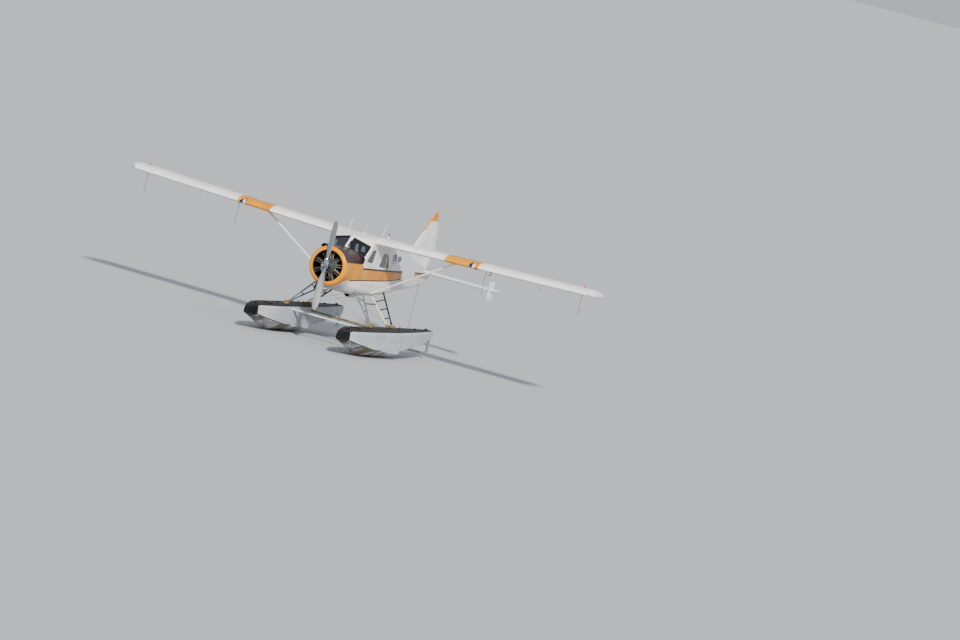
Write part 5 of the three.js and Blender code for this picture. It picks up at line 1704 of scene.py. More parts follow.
# small end plates that steady the machine on floats
FINLET = [(7800, -200), (8200, -200), (8200, 360), (7800, 360)]
finlet_outline, finlet_edge = rounded(FINLET, 60), rounded(FINLET, 60, 4)
finlet = piece("finlet_plate", loft([[(2250 + x, s, h) for s, h in outline]
                                     for x, outline in ((-9, finlet_edge), (-5, finlet_outline),
                                                        (5, finlet_outline), (9, finlet_edge))]))
carved(finlet, loft([flat_ring(span, lead - 0.3, TAILPLANE_REAR, half + 0.3)
                     for span, lead, half in stab_rows]))
print("rudder:", len(rudder.data.polygons), "elevator:", len(elevator.data.polygons))

# %% [markdown]
# The tail is white like the wing. The fin carries an orange cap and a narrow orange strip on
# its leading edge; spray has left the lower skins a little yellowed.

# %% Tail scheme
def tail_scheme(tree, vector, x, station, height):
    white = worn_tone(tree, vector, "f1f0ec", "e2e3e4", 1.1)
    orange = worn_tone(tree, vector, "e09200", "cb8000", 2)
    cap = calc(tree, "GREATER_THAN", height, 1.6)
    # the leading edge runs from (6.45, 0.48) to (7.905, 1.76): 1.137 m aft for each metre up
    edge_station = calc(tree, "MULTIPLY_ADD", height, 1.137, 5.945)
    strip = calc(tree, "LESS_THAN", station, edge_station)
    raised = calc(tree, "GREATER_THAN", height, 1.3)
    strip_high = calc(tree, "MULTIPLY", strip, raised)
    orange_part = calc(tree, "MAXIMUM", cap, strip_high)
    return painted_over(tree, white, orange_part, orange)


tail_paint = enamel_on_sheet("gloss enamel on tail sheet", tail_scheme,
                             [("height", "station", 0.42, 0.1),
                              ("x", "station", 0.38, 0.19)], roughness=0.3,
                             stain_amount=0.4)
dressed(fin, "airframe", tail_paint, "fin", edge=1.5)
dressed(stab, "airframe", tail_paint, "tailplane", edge=1.0)
dressed(rudder, "rudder", tail_paint, "rudder", edge=1.0)
dressed(elevator, "elevator", tail_paint, "elevator", edge=1.0)
pair(finlet, "finlet_plate", tail_paint, ["finlet"])

# %% [markdown]
# ## Floats
# A float is a small boat: a keel, a hard chine, a flat flared side and a rounded deck. Near
# its middle the bottom steps up by about 95 mm, so that it can break free of the water. The
# rows of the table are hull frames. In front of the step and behind it the hull is drawn
# through its frames with a smooth curve, and each ring has finer points over the deck.

# %% Float hull
FLOAT_CENTRE = 1430
# station, chine half, gunwale half, keel, chine, gunwale, crown
FLOAT_FRAMES = [
    (-1700, 24, 22, -1800, -1785, -1735, 6), (-1665, 58, 50, -1808, -1782, -1700, 10),
    (-1590, 92, 80, -1824, -1781, -1655, 16), (-1480, 130, 112, -1844, -1784, -1612, 24),
    (-1300, 185, 158, -1878, -1794, -1576, 36), (-1050, 258, 222, -1935, -1830, -1550, 50),
    (-780, 330, 290, -2018, -1872, -1534, 58), (-500, 375, 333, -2100, -1905, -1525, 64),
    (-200, 396, 355, -2168, -1940, -1518, 68), (100, 402, 365, -2215, -1965, -1514, 70),
    (500, 405, 370, -2250, -2005, -1509, 70), (2600, 405, 370, -2250, -2050, -1475, 70),
    (2603, 400, 368, -2155, -1965, -1475, 70), (4300, 320, 300, -1905, -1785, -1448, 60),
    (5900, 150, 140, -1640, -1600, -1400, 30)]


def float_ring(row, grow=0.0):
    station, chine_half, gun_half, keel, chine, gun, crown = row
    half = [(0, keel), (0.34 * chine_half, keel + 0.3 * (chine - keel)),
            (0.7 * chine_half, keel + 0.66 * (chine - keel)), (chine_half - 7, chine - 2),
            (chine_half, chine + 3), (gun_half + 8, gun - 46), (gun_half + 5, gun - 16),
            (gun_half - 3, gun - 1)]
    half += [(gun_half * math.cos(a), gun + crown * math.sin(a))
             for a in (0.25, 0.55, 0.9, 1.25)]
    ring_points = half + [(0, gun + crown)] + [(-x, h) for x, h in half[:0:-1]]
    return [(FLOAT_CENTRE + x * (1 + grow), station, h) for x, h in ring_points]


forward_rows = smoothed(FLOAT_FRAMES[:12], 150)
after_rows = smoothed(FLOAT_FRAMES[12:], 170)
float_rows = np.concatenate([forward_rows, after_rows])
hull = piece("float_hull", loft([float_ring(row) for row in float_rows]), 28)
sheet_rows = smoothed(FLOAT_FRAMES[:10], 90)
wrap = block((FLOAT_CENTRE - 400, FLOAT_CENTRE + 400), (-1760, -1230), (-2300, -1400))

# %% [markdown]
# A black rubber bumper caps the bow. It is a moulding that follows the hull, with two short
# ribs down the front.

# %% Bow bumper
def bumper_ring(row, grow):
    """The float's ring, a little larger about its middle."""
    ring_points = np.array(float_ring(row))
    centre = np.array([FLOAT_CENTRE, row[0], (row[3] + row[5]) / 2])
    return centre + (ring_points - centre) * (1 + grow)


bumper_rows = [row for row in sheet_rows if row[0] < -1150]
bumper = piece("bumper_block", loft([bumper_ring(row, 0.035) for row in bumper_rows]), 28)
worked(bumper, piece("wrap", wrap), "INTERSECT")
carved(hull, wrap)
ribs = [rod((FLOAT_CENTRE + x, -1686, -1798), (FLOAT_CENTRE + x, -1664, -1712), 20, 12)
        for x in (-17, 17)]
carved(bumper, *ribs, operation="UNION", sharp_angle=28)
swell = bumper.modifiers.new("moulded corners", "BEVEL")
swell.width, swell.segments = 0.022, 4
swell.limit_method, swell.angle_limit = "ANGLE", math.radians(20)
baked(bumper, 60)

# %% [markdown]
# Cleats to moor by stand on small pads, a rubbing strip runs along each chine, and a keel
# strip saves the bottom from the beach. A handful of pump-out plugs and a hatch lie along the
# deck; short posts carry the paddle clips.

# %% Deck gear
CLEATS = [(-1000, -1508), (700, -1450), (4610, -1396), (5600, -1376)]


def deck_height(station):
    row = np.array([np.interp(station, float_rows[:, 0], float_rows[:, k]) for k in (5, 6)])
    return float(row.sum())


gear = []
for station, deck in CLEATS:
    gear.append(block((FLOAT_CENTRE - 45, FLOAT_CENTRE + 45), (station - 45, station + 45),
                      (deck - 30, deck + 12)))
    gear.append(rod((FLOAT_CENTRE, station, deck), (FLOAT_CENTRE, station, deck + 26), 36, 16))
    horn = [(0, 6), (0.06, 12), (0.3, 17), (0.5, 20), (0.7, 17), (0.94, 12), (1, 6)]
    gear.append(pipe((FLOAT_CENTRE, station - 90, deck + 30),
                     (FLOAT_CENTRE, station + 90, deck + 30), horn, 16))
for station in (2370, 3310):
    top = deck_height(station)
    gear.append(rod((FLOAT_CENTRE, station, top - 10), (FLOAT_CENTRE, station, top + 70), 26,
                    16))
    gear.append(rod((FLOAT_CENTRE, station, top + 62), (FLOAT_CENTRE, station, top + 74), 40,
                    16))
for station in (-560, 300, 1900, 2900, 3700, 5000):
    plug_height = deck_height(station) - 2
    gear.append(rod((FLOAT_CENTRE + 120, station, plug_height - 22),
                    (FLOAT_CENTRE + 120, station, plug_height + 4), 46, 20))
hatch_height = deck_height(-250)
gear.append(rod((FLOAT_CENTRE - 60, -250, hatch_height - 30),
                (FLOAT_CENTRE - 60, -250, hatch_height + 10), 300, 36))
gear.append(rod((FLOAT_CENTRE - 60, -250, hatch_height), (FLOAT_CENTRE - 60, -250,
                                                          hatch_height + 22), 60, 24))


def strip(first, last, corner, width, thickness):
    """A strip along a hull line, from one station to another."""
    rows = [row for row in float_rows if first <= row[0] <= last]
    rings = []
    for row in rows:
        x, height = corner(row)
        rings.append([(FLOAT_CENTRE + x - width / 2, row[0], height - thickness),
                      (FLOAT_CENTRE + x + width / 2, row[0], height - thickness),
                      (FLOAT_CENTRE + x + width / 2, row[0], height + thickness * 3),
                      (FLOAT_CENTRE + x - width / 2, row[0], height + thickness * 3)])
    return loft(rings)


gear.append(strip(-1300, 2600, lambda row: (0, row[3]), 26, 6))
gear.append(strip(2603, 5700, lambda row: (0, row[3]), 26, 6))
for way in (1, -1):
    gear.append(strip(-1400, 2590, lambda row: (way * (row[1] - 4), row[4]), 20, 8))
    gear.append(strip(2610, 5800, lambda row: (way * (row[1] - 4), row[4]), 16, 6))
# hinge lugs for the water rudder
for low, high in ((-1399, -1384), (-1626, -1611)):
    gear.append(block((FLOAT_CENTRE - 22, FLOAT_CENTRE + 22), (5860, 5970), (low, high)))
carved(hull, *gear, operation="UNION", sharp_angle=28)
carved(hull, rod((FLOAT_CENTRE, 5950, -1700), (FLOAT_CENTRE, 5950, -1300), 18, 16),
       sharp_angle=28)
print("float has", len(hull.data.polygons), "faces")

# %% [markdown]
# The floats are pale grey-blue, with dark non-slip paint on the deck and a dark line along
# the forward chine. Bottom paint has worn to a tan brown near the bow, and a brown patch of
# dirt sits low on the outboard side. Bulkheads every 0.55 m show as rivet lines.

# %% Float finish
def float_scheme(tree, vector, x, station, height):
    side = worn_tone(tree, vector, "b9c0c7", "a7aeb6", 1.4)
    deck = worn_tone(tree, vector, "0e0f12", "17181b", 6)
    gun = border(tree, station, [(-1.7, -1.73), (-1.48, -1.6), (-1.05, -1.525),
                                 (-0.5, -1.5), (0.5, -1.484), (2.6, -1.45), (5.9, -1.385)])
    on_deck = calc(tree, "GREATER_THAN", height, gun)
    colour = painted_over(tree, side, on_deck, deck)
    chine = border(tree, station, [(-1.7, -1.775), (-1.3, -1.786), (-1.05, -1.822), (-0.78, -1.864),
                                   (0.1, -1.958), (0.5, -1.998), (2.6, -2.04),
                                   (2.61, -1.955), (5.9, -1.592)])
    below = calc(tree, "LESS_THAN", height, chine)
    forward = remap(tree, station, 1.3, 2.1, 1.0, 0.25)
    patchy = noise_of(tree, vector, 2.2, 6, 0.65)
    spread = remap(tree, patchy, 0.36, 0.52)
    worn = calc(tree, "MULTIPLY", forward, spread)
    worn_bottom = calc(tree, "MULTIPLY", worn, below)
    tan = worn_tone(tree, vector, "6d5f4c", "54493a", 5)
    colour = painted_over(tree, colour, worn_bottom, tan)
    gap = calc(tree, "SUBTRACT", height, chine)
    near = between_stations(tree, gap, -0.006, 0.03)
    ahead = calc(tree, "LESS_THAN", station, 1.1)
    line = calc(tree, "MULTIPLY", near, ahead)
    black = worn_tone(tree, vector, "26282b", "3a3c3f", 8)
    colour = painted_over(tree, colour, line, black)
    spot = node(tree, "ShaderNodeVectorMath",
                {0: vector, 1: (1.83, 2.70 - MID_STATION / 1000, THRUST_HEIGHT / 1000 - 1.58)},
                operation="DISTANCE")
    patch = remap(tree, spot.outputs["Value"], 0.05, 0.2, 1.0, 0.0)
    rough_patch = calc(tree, "MULTIPLY", patch, spread)
    brown = worn_tone(tree, vector, "5e4632", "473425", 14)
    return painted_over(tree, colour, rough_patch, brown)


float_paint = enamel_on_sheet("grey-blue enamel on float sheet", float_scheme,
                              [("station", "height", 0.55, 0.12),
                               ("height", "station", 0.31, 1.47)], roughness=0.5,
                              stain="6d6a60", stain_amount=0.25, coat=0.0,
                              specular=0.2)
pair(hull, "float_hull", float_paint, ["float"], edge=1.5)
black_rubber = plain_finish("black rubber scuffed grey", "050506", "0c0c0e", 24, 0.5,
                            bump=0.5, Specular_IOR_Level=0.25)
pair(bumper, "bumper_block", black_rubber, ["bow_bumper"])

# %% [markdown]
# A water rudder hangs on the stern of each float: a bent aluminium blade on an upright post,
# stiffened by two pressed ribs. It turns in the lugs with the air rudder.

# %% Water rudders
WATER_RUDDER_STATION = 5950
BLADE = [(5955, -1420), (6060, -1420), (6190, -1640), (6230, -2020), (6010, -2060),
         (5990, -1700), (5990, -1600), (5955, -1595)]
blade_outline = rounded(BLADE, 22, 0, 4)


def upright(outline, low, high, centre=FLOAT_CENTRE):
    return loft([[(centre + x, s, h) for s, h in outline] for x in (low, high)])


water_rudder = piece("water_rudder_blade", upright(blade_outline, -6, 6))
post = rod((FLOAT_CENTRE, WATER_RUDDER_STATION, -1610),
           (FLOAT_CENTRE, WATER_RUDDER_STATION, -1400), 40, 24)
post_pin = rod((FLOAT_CENTRE, WATER_RUDDER_STATION, -1634),
               (FLOAT_CENTRE, WATER_RUDDER_STATION, -1376), 16, 16)
stiffeners = [teardrop((FLOAT_CENTRE, 6000, h), (FLOAT_CENTRE, far, h - 30), 30, 20,
                       (0, 0, 1)) for h, far in ((-1650, 6150), (-1880, 6190))]
carved(water_rudder, post, post_pin, *stiffeners, operation="UNION")
worn_alloy = plain_finish("brushed aluminium, salt-stained", "b9bcbf", "8f9498", 16, 0.42,
                          metallic=0.85, bump=0.2)
pair(water_rudder, "water_rudder_blade", worn_alloy, ["water_rudder"], "water_rudder",
     edge=0.8)

# %% [markdown]
# ## Struts between floats and fuselage
# Four streamlined struts a side carry the machine on its floats, with diagonal wires between
# them and two spreader bars from float to float. The struts stand in pairs with
# rungs between them, a ladder up to the cabin doors.

# %% Strut frames
STRUT_FOOT_X = 1310
STRUT_FOOT_HEIGHT = -1400
STRUT_CHORD = 70
STRUT_THICK = 46
RUNG = 36
FRONT_FEET = [1100, 1130]
REAR_FEET = [2620, 3020]
FRONT_TOPS = [(540, 1150, -500), (540, 1960, -610)]
REAR_TOPS = [(540, 2620, -610), (575, 3520, -480)]
fuselage_block = cabin_skin()
float_loft = loft([float_ring(row) for row in float_rows])


def strut_frame(name, feet, tops, foot_blocks, rungs, step_share, wires):
    rails = [((STRUT_FOOT_X, foot, STRUT_FOOT_HEIGHT), top)
             for foot, top in zip(feet, tops)]
    made = piece(name, teardrop(*rails[0], STRUT_CHORD, STRUT_THICK))
    extra = [teardrop(*rails[1], STRUT_CHORD, STRUT_THICK)]
    for start, end in rails:
        extra.append(teardrop(start, end, STRUT_CHORD + 12, STRUT_THICK + 12,
                              ends=((0.045, 0.9), (0.055, 1), (0.13, 1), (0.14, 0.93))))
    for foot in foot_blocks:
        extra.append(block((STRUT_FOOT_X - 60, STRUT_FOOT_X + 60), (foot - 70, foot + 70),
                           (-1460, -1340)))
        extra.append(rod((STRUT_FOOT_X - 70, foot, -1372), (STRUT_FOOT_X + 70, foot, -1372),
                         30, 16))
    first, second = [(np.array(s, float), np.array(e, float)) for s, e in rails]
    for share in rungs:
        left = first[0] + (first[1] - first[0]) * share
        right = second[0] + (second[1] - second[0]) * share
        extra.append(rod(left, right, RUNG, 16))
    if step_share:
        left = second[0] + (second[1] - second[0]) * step_share
        extra.append(rod(left, (left[0], REAR_FEET[0] - 32.6, left[2]), RUNG, 16))
    for start, end in wires:
        extra.append(rod(start, end, 8, 10))
        run = (np.array(end) - start) / np.linalg.norm(np.subtract(end, start))
        extra.append(rod(start + run * 60, start + run * 190, 15, 12))
    carved(made, *extra, operation="UNION")
    carved(made, fuselage_block, float_loft)
    return made


def wire_ends(side_sign, rows):
    """Crossing wires: foot on this float, top at the other side of the belly."""
    return [((side_sign * 1290, foot + side_sign * 12, -1370),
             (-side_sign * 480, top + side_sign * 12, -640)) for foot, top in rows]


WIRES = {"front": [(1140, 1175)], "rear": [(2650, 2710)]}


# Grey-blue enamel for the front frames, cream for the forward rear rail, and near-black for the
# boarding ladder and the front frame's step.
def strut_scheme(tree, vector, x, station, height):
    grey = worn_tone(tree, vector, "6f7883", "5f6771", 4)
    cream = worn_tone(tree, vector, "ece3cd", "dcd2bb", 4)
    dark = worn_tone(tree, vector, "22262f", "181b22", 5)
    step_level = between_stations(tree, height, -0.89, -0.83)
    step_reach = between_stations(tree, station, 1.72, 2.59)
    on_step = calc(tree, "MULTIPLY", step_level, step_reach)
    behind = calc(tree, "GREATER_THAN", station, 2.3)
    # the rungs and the aft rail begin just behind the cream rail
    ladder = calc(tree, "GREATER_THAN", station, 2.662)
    colour = painted_over(tree, grey, behind, cream)
    colour = painted_over(tree, colour, ladder, dark)
    colour = painted_over(tree, colour, on_step, dark)
    foot_zone = calc(tree, "LESS_THAN", height, -1.325)
    tan = worn_tone(tree, vector, "8a7458", "6e5a40", 14)
    return painted_over(tree, colour, foot_zone, tan)


strut_paint = enamel_on_sheet("enamel on streamlined strut tube", strut_scheme,
                              [("height", "station", 1.9, 0.4)], roughness=0.34,
                              stain="6b5b47", stain_amount=0.5)
for sign, side_name in ((1, "port"), (-1, "starboard")):
    for base, feet, tops, blocks, rungs in (
            ("front", FRONT_FEET, FRONT_TOPS, [1110], (0.43, 0.75)),
            ("rear", REAR_FEET, REAR_TOPS, REAR_FEET, (0.255, 0.515, 0.755))):
        own_wires = wire_ends(1, WIRES[base])
        if sign < 0:
            own_wires = [((a[0], a[1] - 24, a[2]), (b[0], b[1] - 24, b[2]))
                         for a, b in own_wires]
        frame_made = strut_frame(f"{base}_strut_frame_{side_name}", feet, tops, blocks,
                                 rungs, 0.68 if base == "front" else 0, own_wires)
        if sign < 0:
            mirror = other_side(frame_made, "mirror_copy")
            bpy.data.objects.remove(frame_made)
            mirror.name = f"{base}_strut_frame_{side_name}"
            frame_made = mirror
        dressed(frame_made, "airframe", strut_paint, f"{base}_struts_{side_name}", edge=0.8)

# %% [markdown]
# The spreader bars are streamlined tubes bolted to both floats. The front one shows bare,
# silvery metal with a groove along it; the rear one has kept its tan primer.

# %% Spreader bars
for base, station, finish in (
        ("front", 1100, plain_finish("bare extruded aluminium", "dfe3e7", "c9ced3", 10, 0.35,
                                     metallic=0.15)),
        ("rear", 2620, plain_finish("tan primer on extruded tube", "8a7558", "6f5d44", 12,
                                    0.5))):
    spreader = piece(f"{base}_spreader_tube",
                     teardrop((-1130, station, -1535), (1130, station, -1535), 148, 54))
    grooves = [rod((-1200, station - 6, -1535 + way * 28), (1200, station - 6,
                                                         -1535 + way * 28), 9, 10)
               for way in (1, -1)]
    carved(spreader, *grooves)
    end_caps = [teardrop((way * 1090, station, -1535), (way * 1120, station, -1535), 150, 55)
                for way in (1, -1)]
    carved(spreader, *end_caps, operation="UNION")
    carved(spreader, float_loft, mirrored(float_loft))
    dressed(spreader, "airframe", finish, f"{base}_spreader", edge=0.8)
print("struts and spreaders stand")

# %% [markdown]
# ## Engine
# The engine is an air-cooled radial: nine finned cylinders around a crankcase, each with two
# pushrod tubes in front, two rocker boxes on its head and two spark plugs. One cylinder is
# modelled at the top, and Geometry Nodes repeat it around the shaft, because every cylinder
# is the same casting turned by forty degrees.

# %% Repeating a piece about the shaft
def new_group(name, inputs, with_geometry=False):
    """A Geometry Nodes tree with named inputs, and the node that reads them."""
    tree = bpy.data.node_groups.new(name, "GeometryNodeTree")
    tree.interface.new_socket("Geometry", in_out="OUTPUT", socket_type="NodeSocketGeometry")
    kinds = {"Geometry": "Geometry", **inputs} if with_geometry else inputs
    for label, kind in kinds.items():
        tree.interface.new_socket(label, in_out="INPUT", socket_type=f"NodeSocket{kind}")
    return tree, tree.nodes.new("NodeGroupInput").outputs


def grown(made, tree, geometry, values, sharp_angle):
    """Paint the tree's geometry, run it on an object and bake the result."""
    painted = node(tree, "GeometryNodeSetMaterial", {"Geometry": geometry,
                                                     "Material": values["Finish"]})
    out = tree.nodes.new("NodeGroupOutput")
    tree.links.new(painted.outputs["Geometry"], out.inputs["Geometry"])
    step = made.modifiers.new("grow", "NODES")
    step.node_group = tree
    for item in tree.interface.items_tree:
        if item.in_out == "INPUT" and item.name in values:
            step[item.identifier] = values[item.name]
    baked(made, sharp_angle)
    made.data.materials.clear()
    made.data.materials.append(values["Finish"])
    made.data.polygons.foreach_set("material_index", [0] * len(made.data.polygons))
    return made


def turned_copies(name, unit, count, finish, first_angle=0.0):
    """Instance a unit round the shaft line, then bake the result to a plain mesh."""
    tree, given = new_group("repeat about a shaft", {
        "Unit": "Object", "Count": "Int", "First angle": "Float", "Shaft height": "Float"})
    below = calc(tree, "MULTIPLY", given["Shaft height"], -1.0)
    lowered = node(tree, "ShaderNodeCombineXYZ", {"Z": below})
    raised = node(tree, "ShaderNodeCombineXYZ", {"Z": given["Shaft height"]})
    source = node(tree, "GeometryNodeObjectInfo", {"Object": given["Unit"]})
    at_shaft = node(tree, "GeometryNodeTransform", {"Geometry": source.outputs["Geometry"],
                                                    "Translation": lowered.outputs[0]})
    spots = node(tree, "GeometryNodeMeshLine", {"Count": given["Count"], "Offset": (0, 0, 0)})
    pitch = calc(tree, "DIVIDE", math.tau, given["Count"])
    index = node(tree, "GeometryNodeInputIndex")
    angle = calc(tree, "MULTIPLY_ADD", index.outputs[0], pitch, given["First angle"])
    turn = node(tree, "ShaderNodeCombineXYZ", {"Y": angle})
    copies = node(tree, "GeometryNodeInstanceOnPoints",
                  {"Points": spots.outputs["Mesh"], "Instance": at_shaft.outputs["Geometry"],
                   "Rotation": turn.outputs[0]})
    real = node(tree, "GeometryNodeRealizeInstances", {"Geometry": copies.outputs[0]})
    placed = node(tree, "GeometryNodeTransform", {"Geometry": real.outputs[0],
                                                  "Translation": raised.outputs[0]})
    values = {"Unit": unit, "Count": count, "First angle": first_angle,
              "Shaft height": THRUST_HEIGHT / 1000, "Finish": finish}
    made = grown(in_scene(name, bpy.data.meshes.new(name)), tree,
                 placed.outputs["Geometry"], values, 32)
    bpy.data.objects.remove(unit)
    return made


# %% Engine finishes
# Cast and machined aluminium fins, blackened by heat-resistant paint and oil.
black_fins = plain_finish("heat-black cylinder paint", "1d1c1b", "2d2a27", 30, 0.6)
# Pushrod tubes and rocker covers are plated or bare alloy, with brown oil haze.
bare_alloy = plain_finish("oil-hazed bare alloy", "b9b3a8", "8c8072", 18, 0.38, metallic=0.8)
# The crankcase wears grey engine enamel, darkened by oil.
case_enamel = plain_finish("grey engine enamel, oily", "43464a", "2f3033", 10, 0.45)
braided = plain_finish("braided ignition lead", "6e6048", "4a4030", 90, 0.7, bump=0.6)

# %% One cylinder, pointing up
CYLINDERS = 9
CYLINDER_STATION = 330


def fins(low, high, count, valley, peak):
    """A row of thin cooling fins as (radius from the shaft, cylinder radius)."""
    rows = []
    for k in range(count):
        base = low + (high - low) * k / count
        pitch = (high - low) / count
        rows += [(base, valley), (base + pitch * 0.4, valley), (base + pitch * 0.5, peak),
                 (base + pitch * 0.85, peak)]
    return rows


barrel_rows = [(150, 78), (182, 78), (186, 62)] + fins(200, 405, 14, 60, 74)
head_rows = fins(412, 536, 9, 76, 94) + [(536, 60), (548, 40)]
span = 400
unit = piece("cylinder_unit", pipe(
    (0, CYLINDER_STATION, 150), (0, CYLINDER_STATION, 150 + span),
    [((radius - 150) / span, size) for radius, size in barrel_rows + head_rows], 26))
intake = tube_along(curve_through([(46, 500, 190), (52, 500, 300), (50, 470, 390),
                                   (38, 420, 425)], 6), 52, 12)
carved(unit, intake, operation="UNION")
cylinders = turned_copies("cylinders_finned", unit, CYLINDERS, black_fins)

# %% Pushrods, rocker boxes, plugs and leads
bright = []
leads = []
for shift in (48, -48):
    foot, top = (0.7 * shift, 175, 165), (shift, 215, 505)
    bright.append(rod(foot, top, 20, 12))
    for at, size in ((0.03, 34), (0.90, 30)):
        a = np.array(foot) + (np.array(top) - foot) * at
        b = np.array(foot) + (np.array(top) - foot) * (at + 0.06)
        bright.append(rod(a, b, size, 12))
    bright.append(pipe((shift, 192, 500), (shift, 318, 500),
                       [(0, 18), (0.04, 25), (0.1, 27), (0.3, 27), (0.34, 24), (0.66, 24),
                        (0.7, 27), (0.9, 27), (0.96, 25), (1, 18)], 16))
    bright.append(rod((shift * 0.62, 232, 440), (shift * 0.62, 206, 448), 22, 6))
    leads.append(tube_along(curve_through(
        [(0.42 * shift, 108, 196), (0.5 * shift, 132, 300), (0.6 * shift, 170, 400),
         (0.62 * shift, 206, 446)], 5), 12, 8))
tubes = turned_copies("pushrods_and_rockers", piece("bright_unit", together(*bright)),
                      CYLINDERS, bare_alloy)
harness_unit = piece("lead_unit", together(*leads))
harness = turned_copies("ignition_leads", harness_unit, CYLINDERS, braided)
print("cylinders:", len(cylinders.data.polygons), "tubes:", len(tubes.data.polygons))

# %% [markdown]
# The crankcase is a stepped drum. Its nose carries the reduction of diameter to the shaft
# bearing, a ring of studs and the ring-shaped conduit that feeds the spark leads. Behind the
# cylinders the blower drum and the mount ring close the room up to the firewall.

# %% Crankcase, nose case and conduit
case = piece("crankcase_drum", turned([
    (-70, 50), (-66, 58), (-52, 60), (-48, 72), (-30, 92), (-22, 106), (10, 112), (40, 132),
    (60, 150), (84, 158), (88, 170), (100, 172), (104, 156), (150, 176), (190, 200),
    (230, 212), (300, 216), (440, 216), (470, 222), (520, 250), (640, 252), (660, 232),
    (899, 226), (899, 30)], 56))
shaft = rod((0, -150, 0), (0, -40, 0), 76, 32)
conduit = ring((0, 118, 0), 196, 22, sides=54)
sump = pipe((0, 60, -128), (0, 250, -150), [(0, 24), (0.1, 34), (0.9, 44), (1, 36)], 24)
governor = pipe((0, 96, 118), (0, -6, 128), [(0, 40), (0.5, 40), (0.55, 32), (0.9, 32),
                                             (1, 20)], 20)
carved(case, shaft, conduit, sump, governor, operation="UNION")
stud = piece("stud_unit", rod((0, 80, 160), (0, 110, 160), 11, 6))
studs = turned_copies("nose_case_studs", stud, 27, bare_alloy)
dressed(case, "airframe", case_enamel, "engine")
for made in (cylinders, tubes, harness, studs):
    dressed(made, "airframe", list(made.data.materials))
mount = together(*[tube_along(curve_through(
    [(240 * math.cos(a), 640, 240 * math.sin(a)), (300 * math.cos(a), 800, 300 * math.sin(a)),
     (340 * math.cos(a), 898, 340 * math.sin(a))], 3), 26, 10)
    for a in np.radians([45, 135, 225, 315])])
mount_tubes = piece("engine_mount_tubes", mount)
dressed(mount_tubes, "airframe", sooty_metal)

# %% [markdown]
# ## Propeller
# Two solid aluminium blades in a variable-pitch hub. A blade is a twisted aerofoil: steep and
# thick at the root, flat and thin at the tip. The hub's pitch cylinder is the bright pointed
# dome that shows in the middle of the cowling.

# %% Blades
# radius, chord, thickness, angle in degrees
BLADE_SECTIONS = [(60, 90, 90, 30), (130, 96, 88, 34), (200, 104, 80, 38),
                  (300, 140, 60, 35), (420, 180, 45, 32), (800, 205, 26, 22),
                  (1150, 180, 16, 17), (1250, 130, 12, 15.5), (1295, 60, 8, 15)]
PROPELLER_STATION = -175
blade_rows = smoothed(BLADE_SECTIONS, 34)


def blade_ring(radius, chord, thick, angle, sign, sides=28):
    """Flat on the rear face, curved in front, as a propeller's working section is."""
    turns = np.arange(sides) * 2 * math.pi / sides
    along = np.cos(turns) * chord / 2
    flat = min(1.0, thick / 80)
    rise = np.where(np.sin(turns) > 0, np.sin(turns), np.sin(turns) * (0.25 + 0.75 * flat))
    swing = math.radians(angle)
    x = along * math.cos(swing) - rise * thick / 2 * math.sin(swing)
    s = along * math.sin(swing) + rise * thick / 2 * math.cos(swing)
    return [(sign * a, PROPELLER_STATION - b, sign * radius) for a, b in zip(x, s)]


dome_profile = [(-460, 1.5), (-458, 8), (-448, 22), (-428, 40), (-400, 55), (-365, 71),
                (-330, 82), (-300, 88), (-296, 94), (-272, 96), (-268, 91), (-250, 98),
                (-245, 112), (-180, 118), (-110, 116), (-78, 112), (-76, 104), (-76, 39.2),
                (-165, 39.2), (-165, 1)]
hub = piece("propeller_hub", turned(dome_profile, 48))
cuffs = []
for sign in (1, -1):
    cuffs.append(pipe((0, PROPELLER_STATION, sign * 30), (0, PROPELLER_STATION, sign * 210),
                      [(0, 60), (0.62, 64), (0.66, 76), (0.80, 76), (0.84, 66), (0.97, 60),
                       (1, 50)], 32))
    cuffs.append(block((sign * 58, sign * 92), (-232, -190), (sign * 60, sign * 140)))
carved(hub, *cuffs, operation="UNION")
hub_bore = rod((0, -200, 0), (0, -60, 0), 78.4, 40)
carved(hub, hub_bore)
blades = piece("propeller_blades", together(*[
    loft([blade_ring(*row, sign) for row in blade_rows]) for sign in (1, -1)]))
# Polished steel tinted blue-grey: the blue is a painted reflection of the sky.
hub_steel_with_painted_sky_tint = plain_finish("polished hub steel", "b4bcc8", "8e98a8", 6, 0.2, metallic=1.0,
                          spread=0.06)
dressed(hub, "propeller", hub_steel_with_painted_sky_tint, "propeller", edge=0.8)

# Blades are ground aluminium: silver-grey in front, matt anti-glare black on the pilot's side.
blade_metal, tree = new_finish("ground aluminium blade, black behind")
vector = stations(tree)[0]
way = node(tree, "ShaderNodeNewGeometry")
parts = node(tree, "ShaderNodeSeparateXYZ", {"Vector": way.outputs["Normal"]})
behind = remap(tree, parts.outputs["Y"], 0.1, 0.25)
streaks = stretched(tree, vector, (80, 80, 2))
grind = noise_of(tree, streaks, 3, 4)
silver = blend(tree, grind, "83888f", "b3b7bc")
both = blend(tree, behind, silver, "18191b")
metal = remap(tree, behind, 0, 1, 0.85, 0.0)
rough = remap(tree, grind, 0, 1, 0.28, 0.5)
set_surface(tree, {"Base Color": both, "Metallic": metal, "Roughness": rough})
dressed(blades, "propeller", blade_metal)
print("blades:", len(blades.data.polygons), "hub:", len(hub.data.polygons))

# %% [markdown]
# ## Inside the cabin
# The panel is a flat sheet with round instruments under a padded hood. One control wheel
# stands on a column in the middle and can be swung to either seat. It is shown to port.

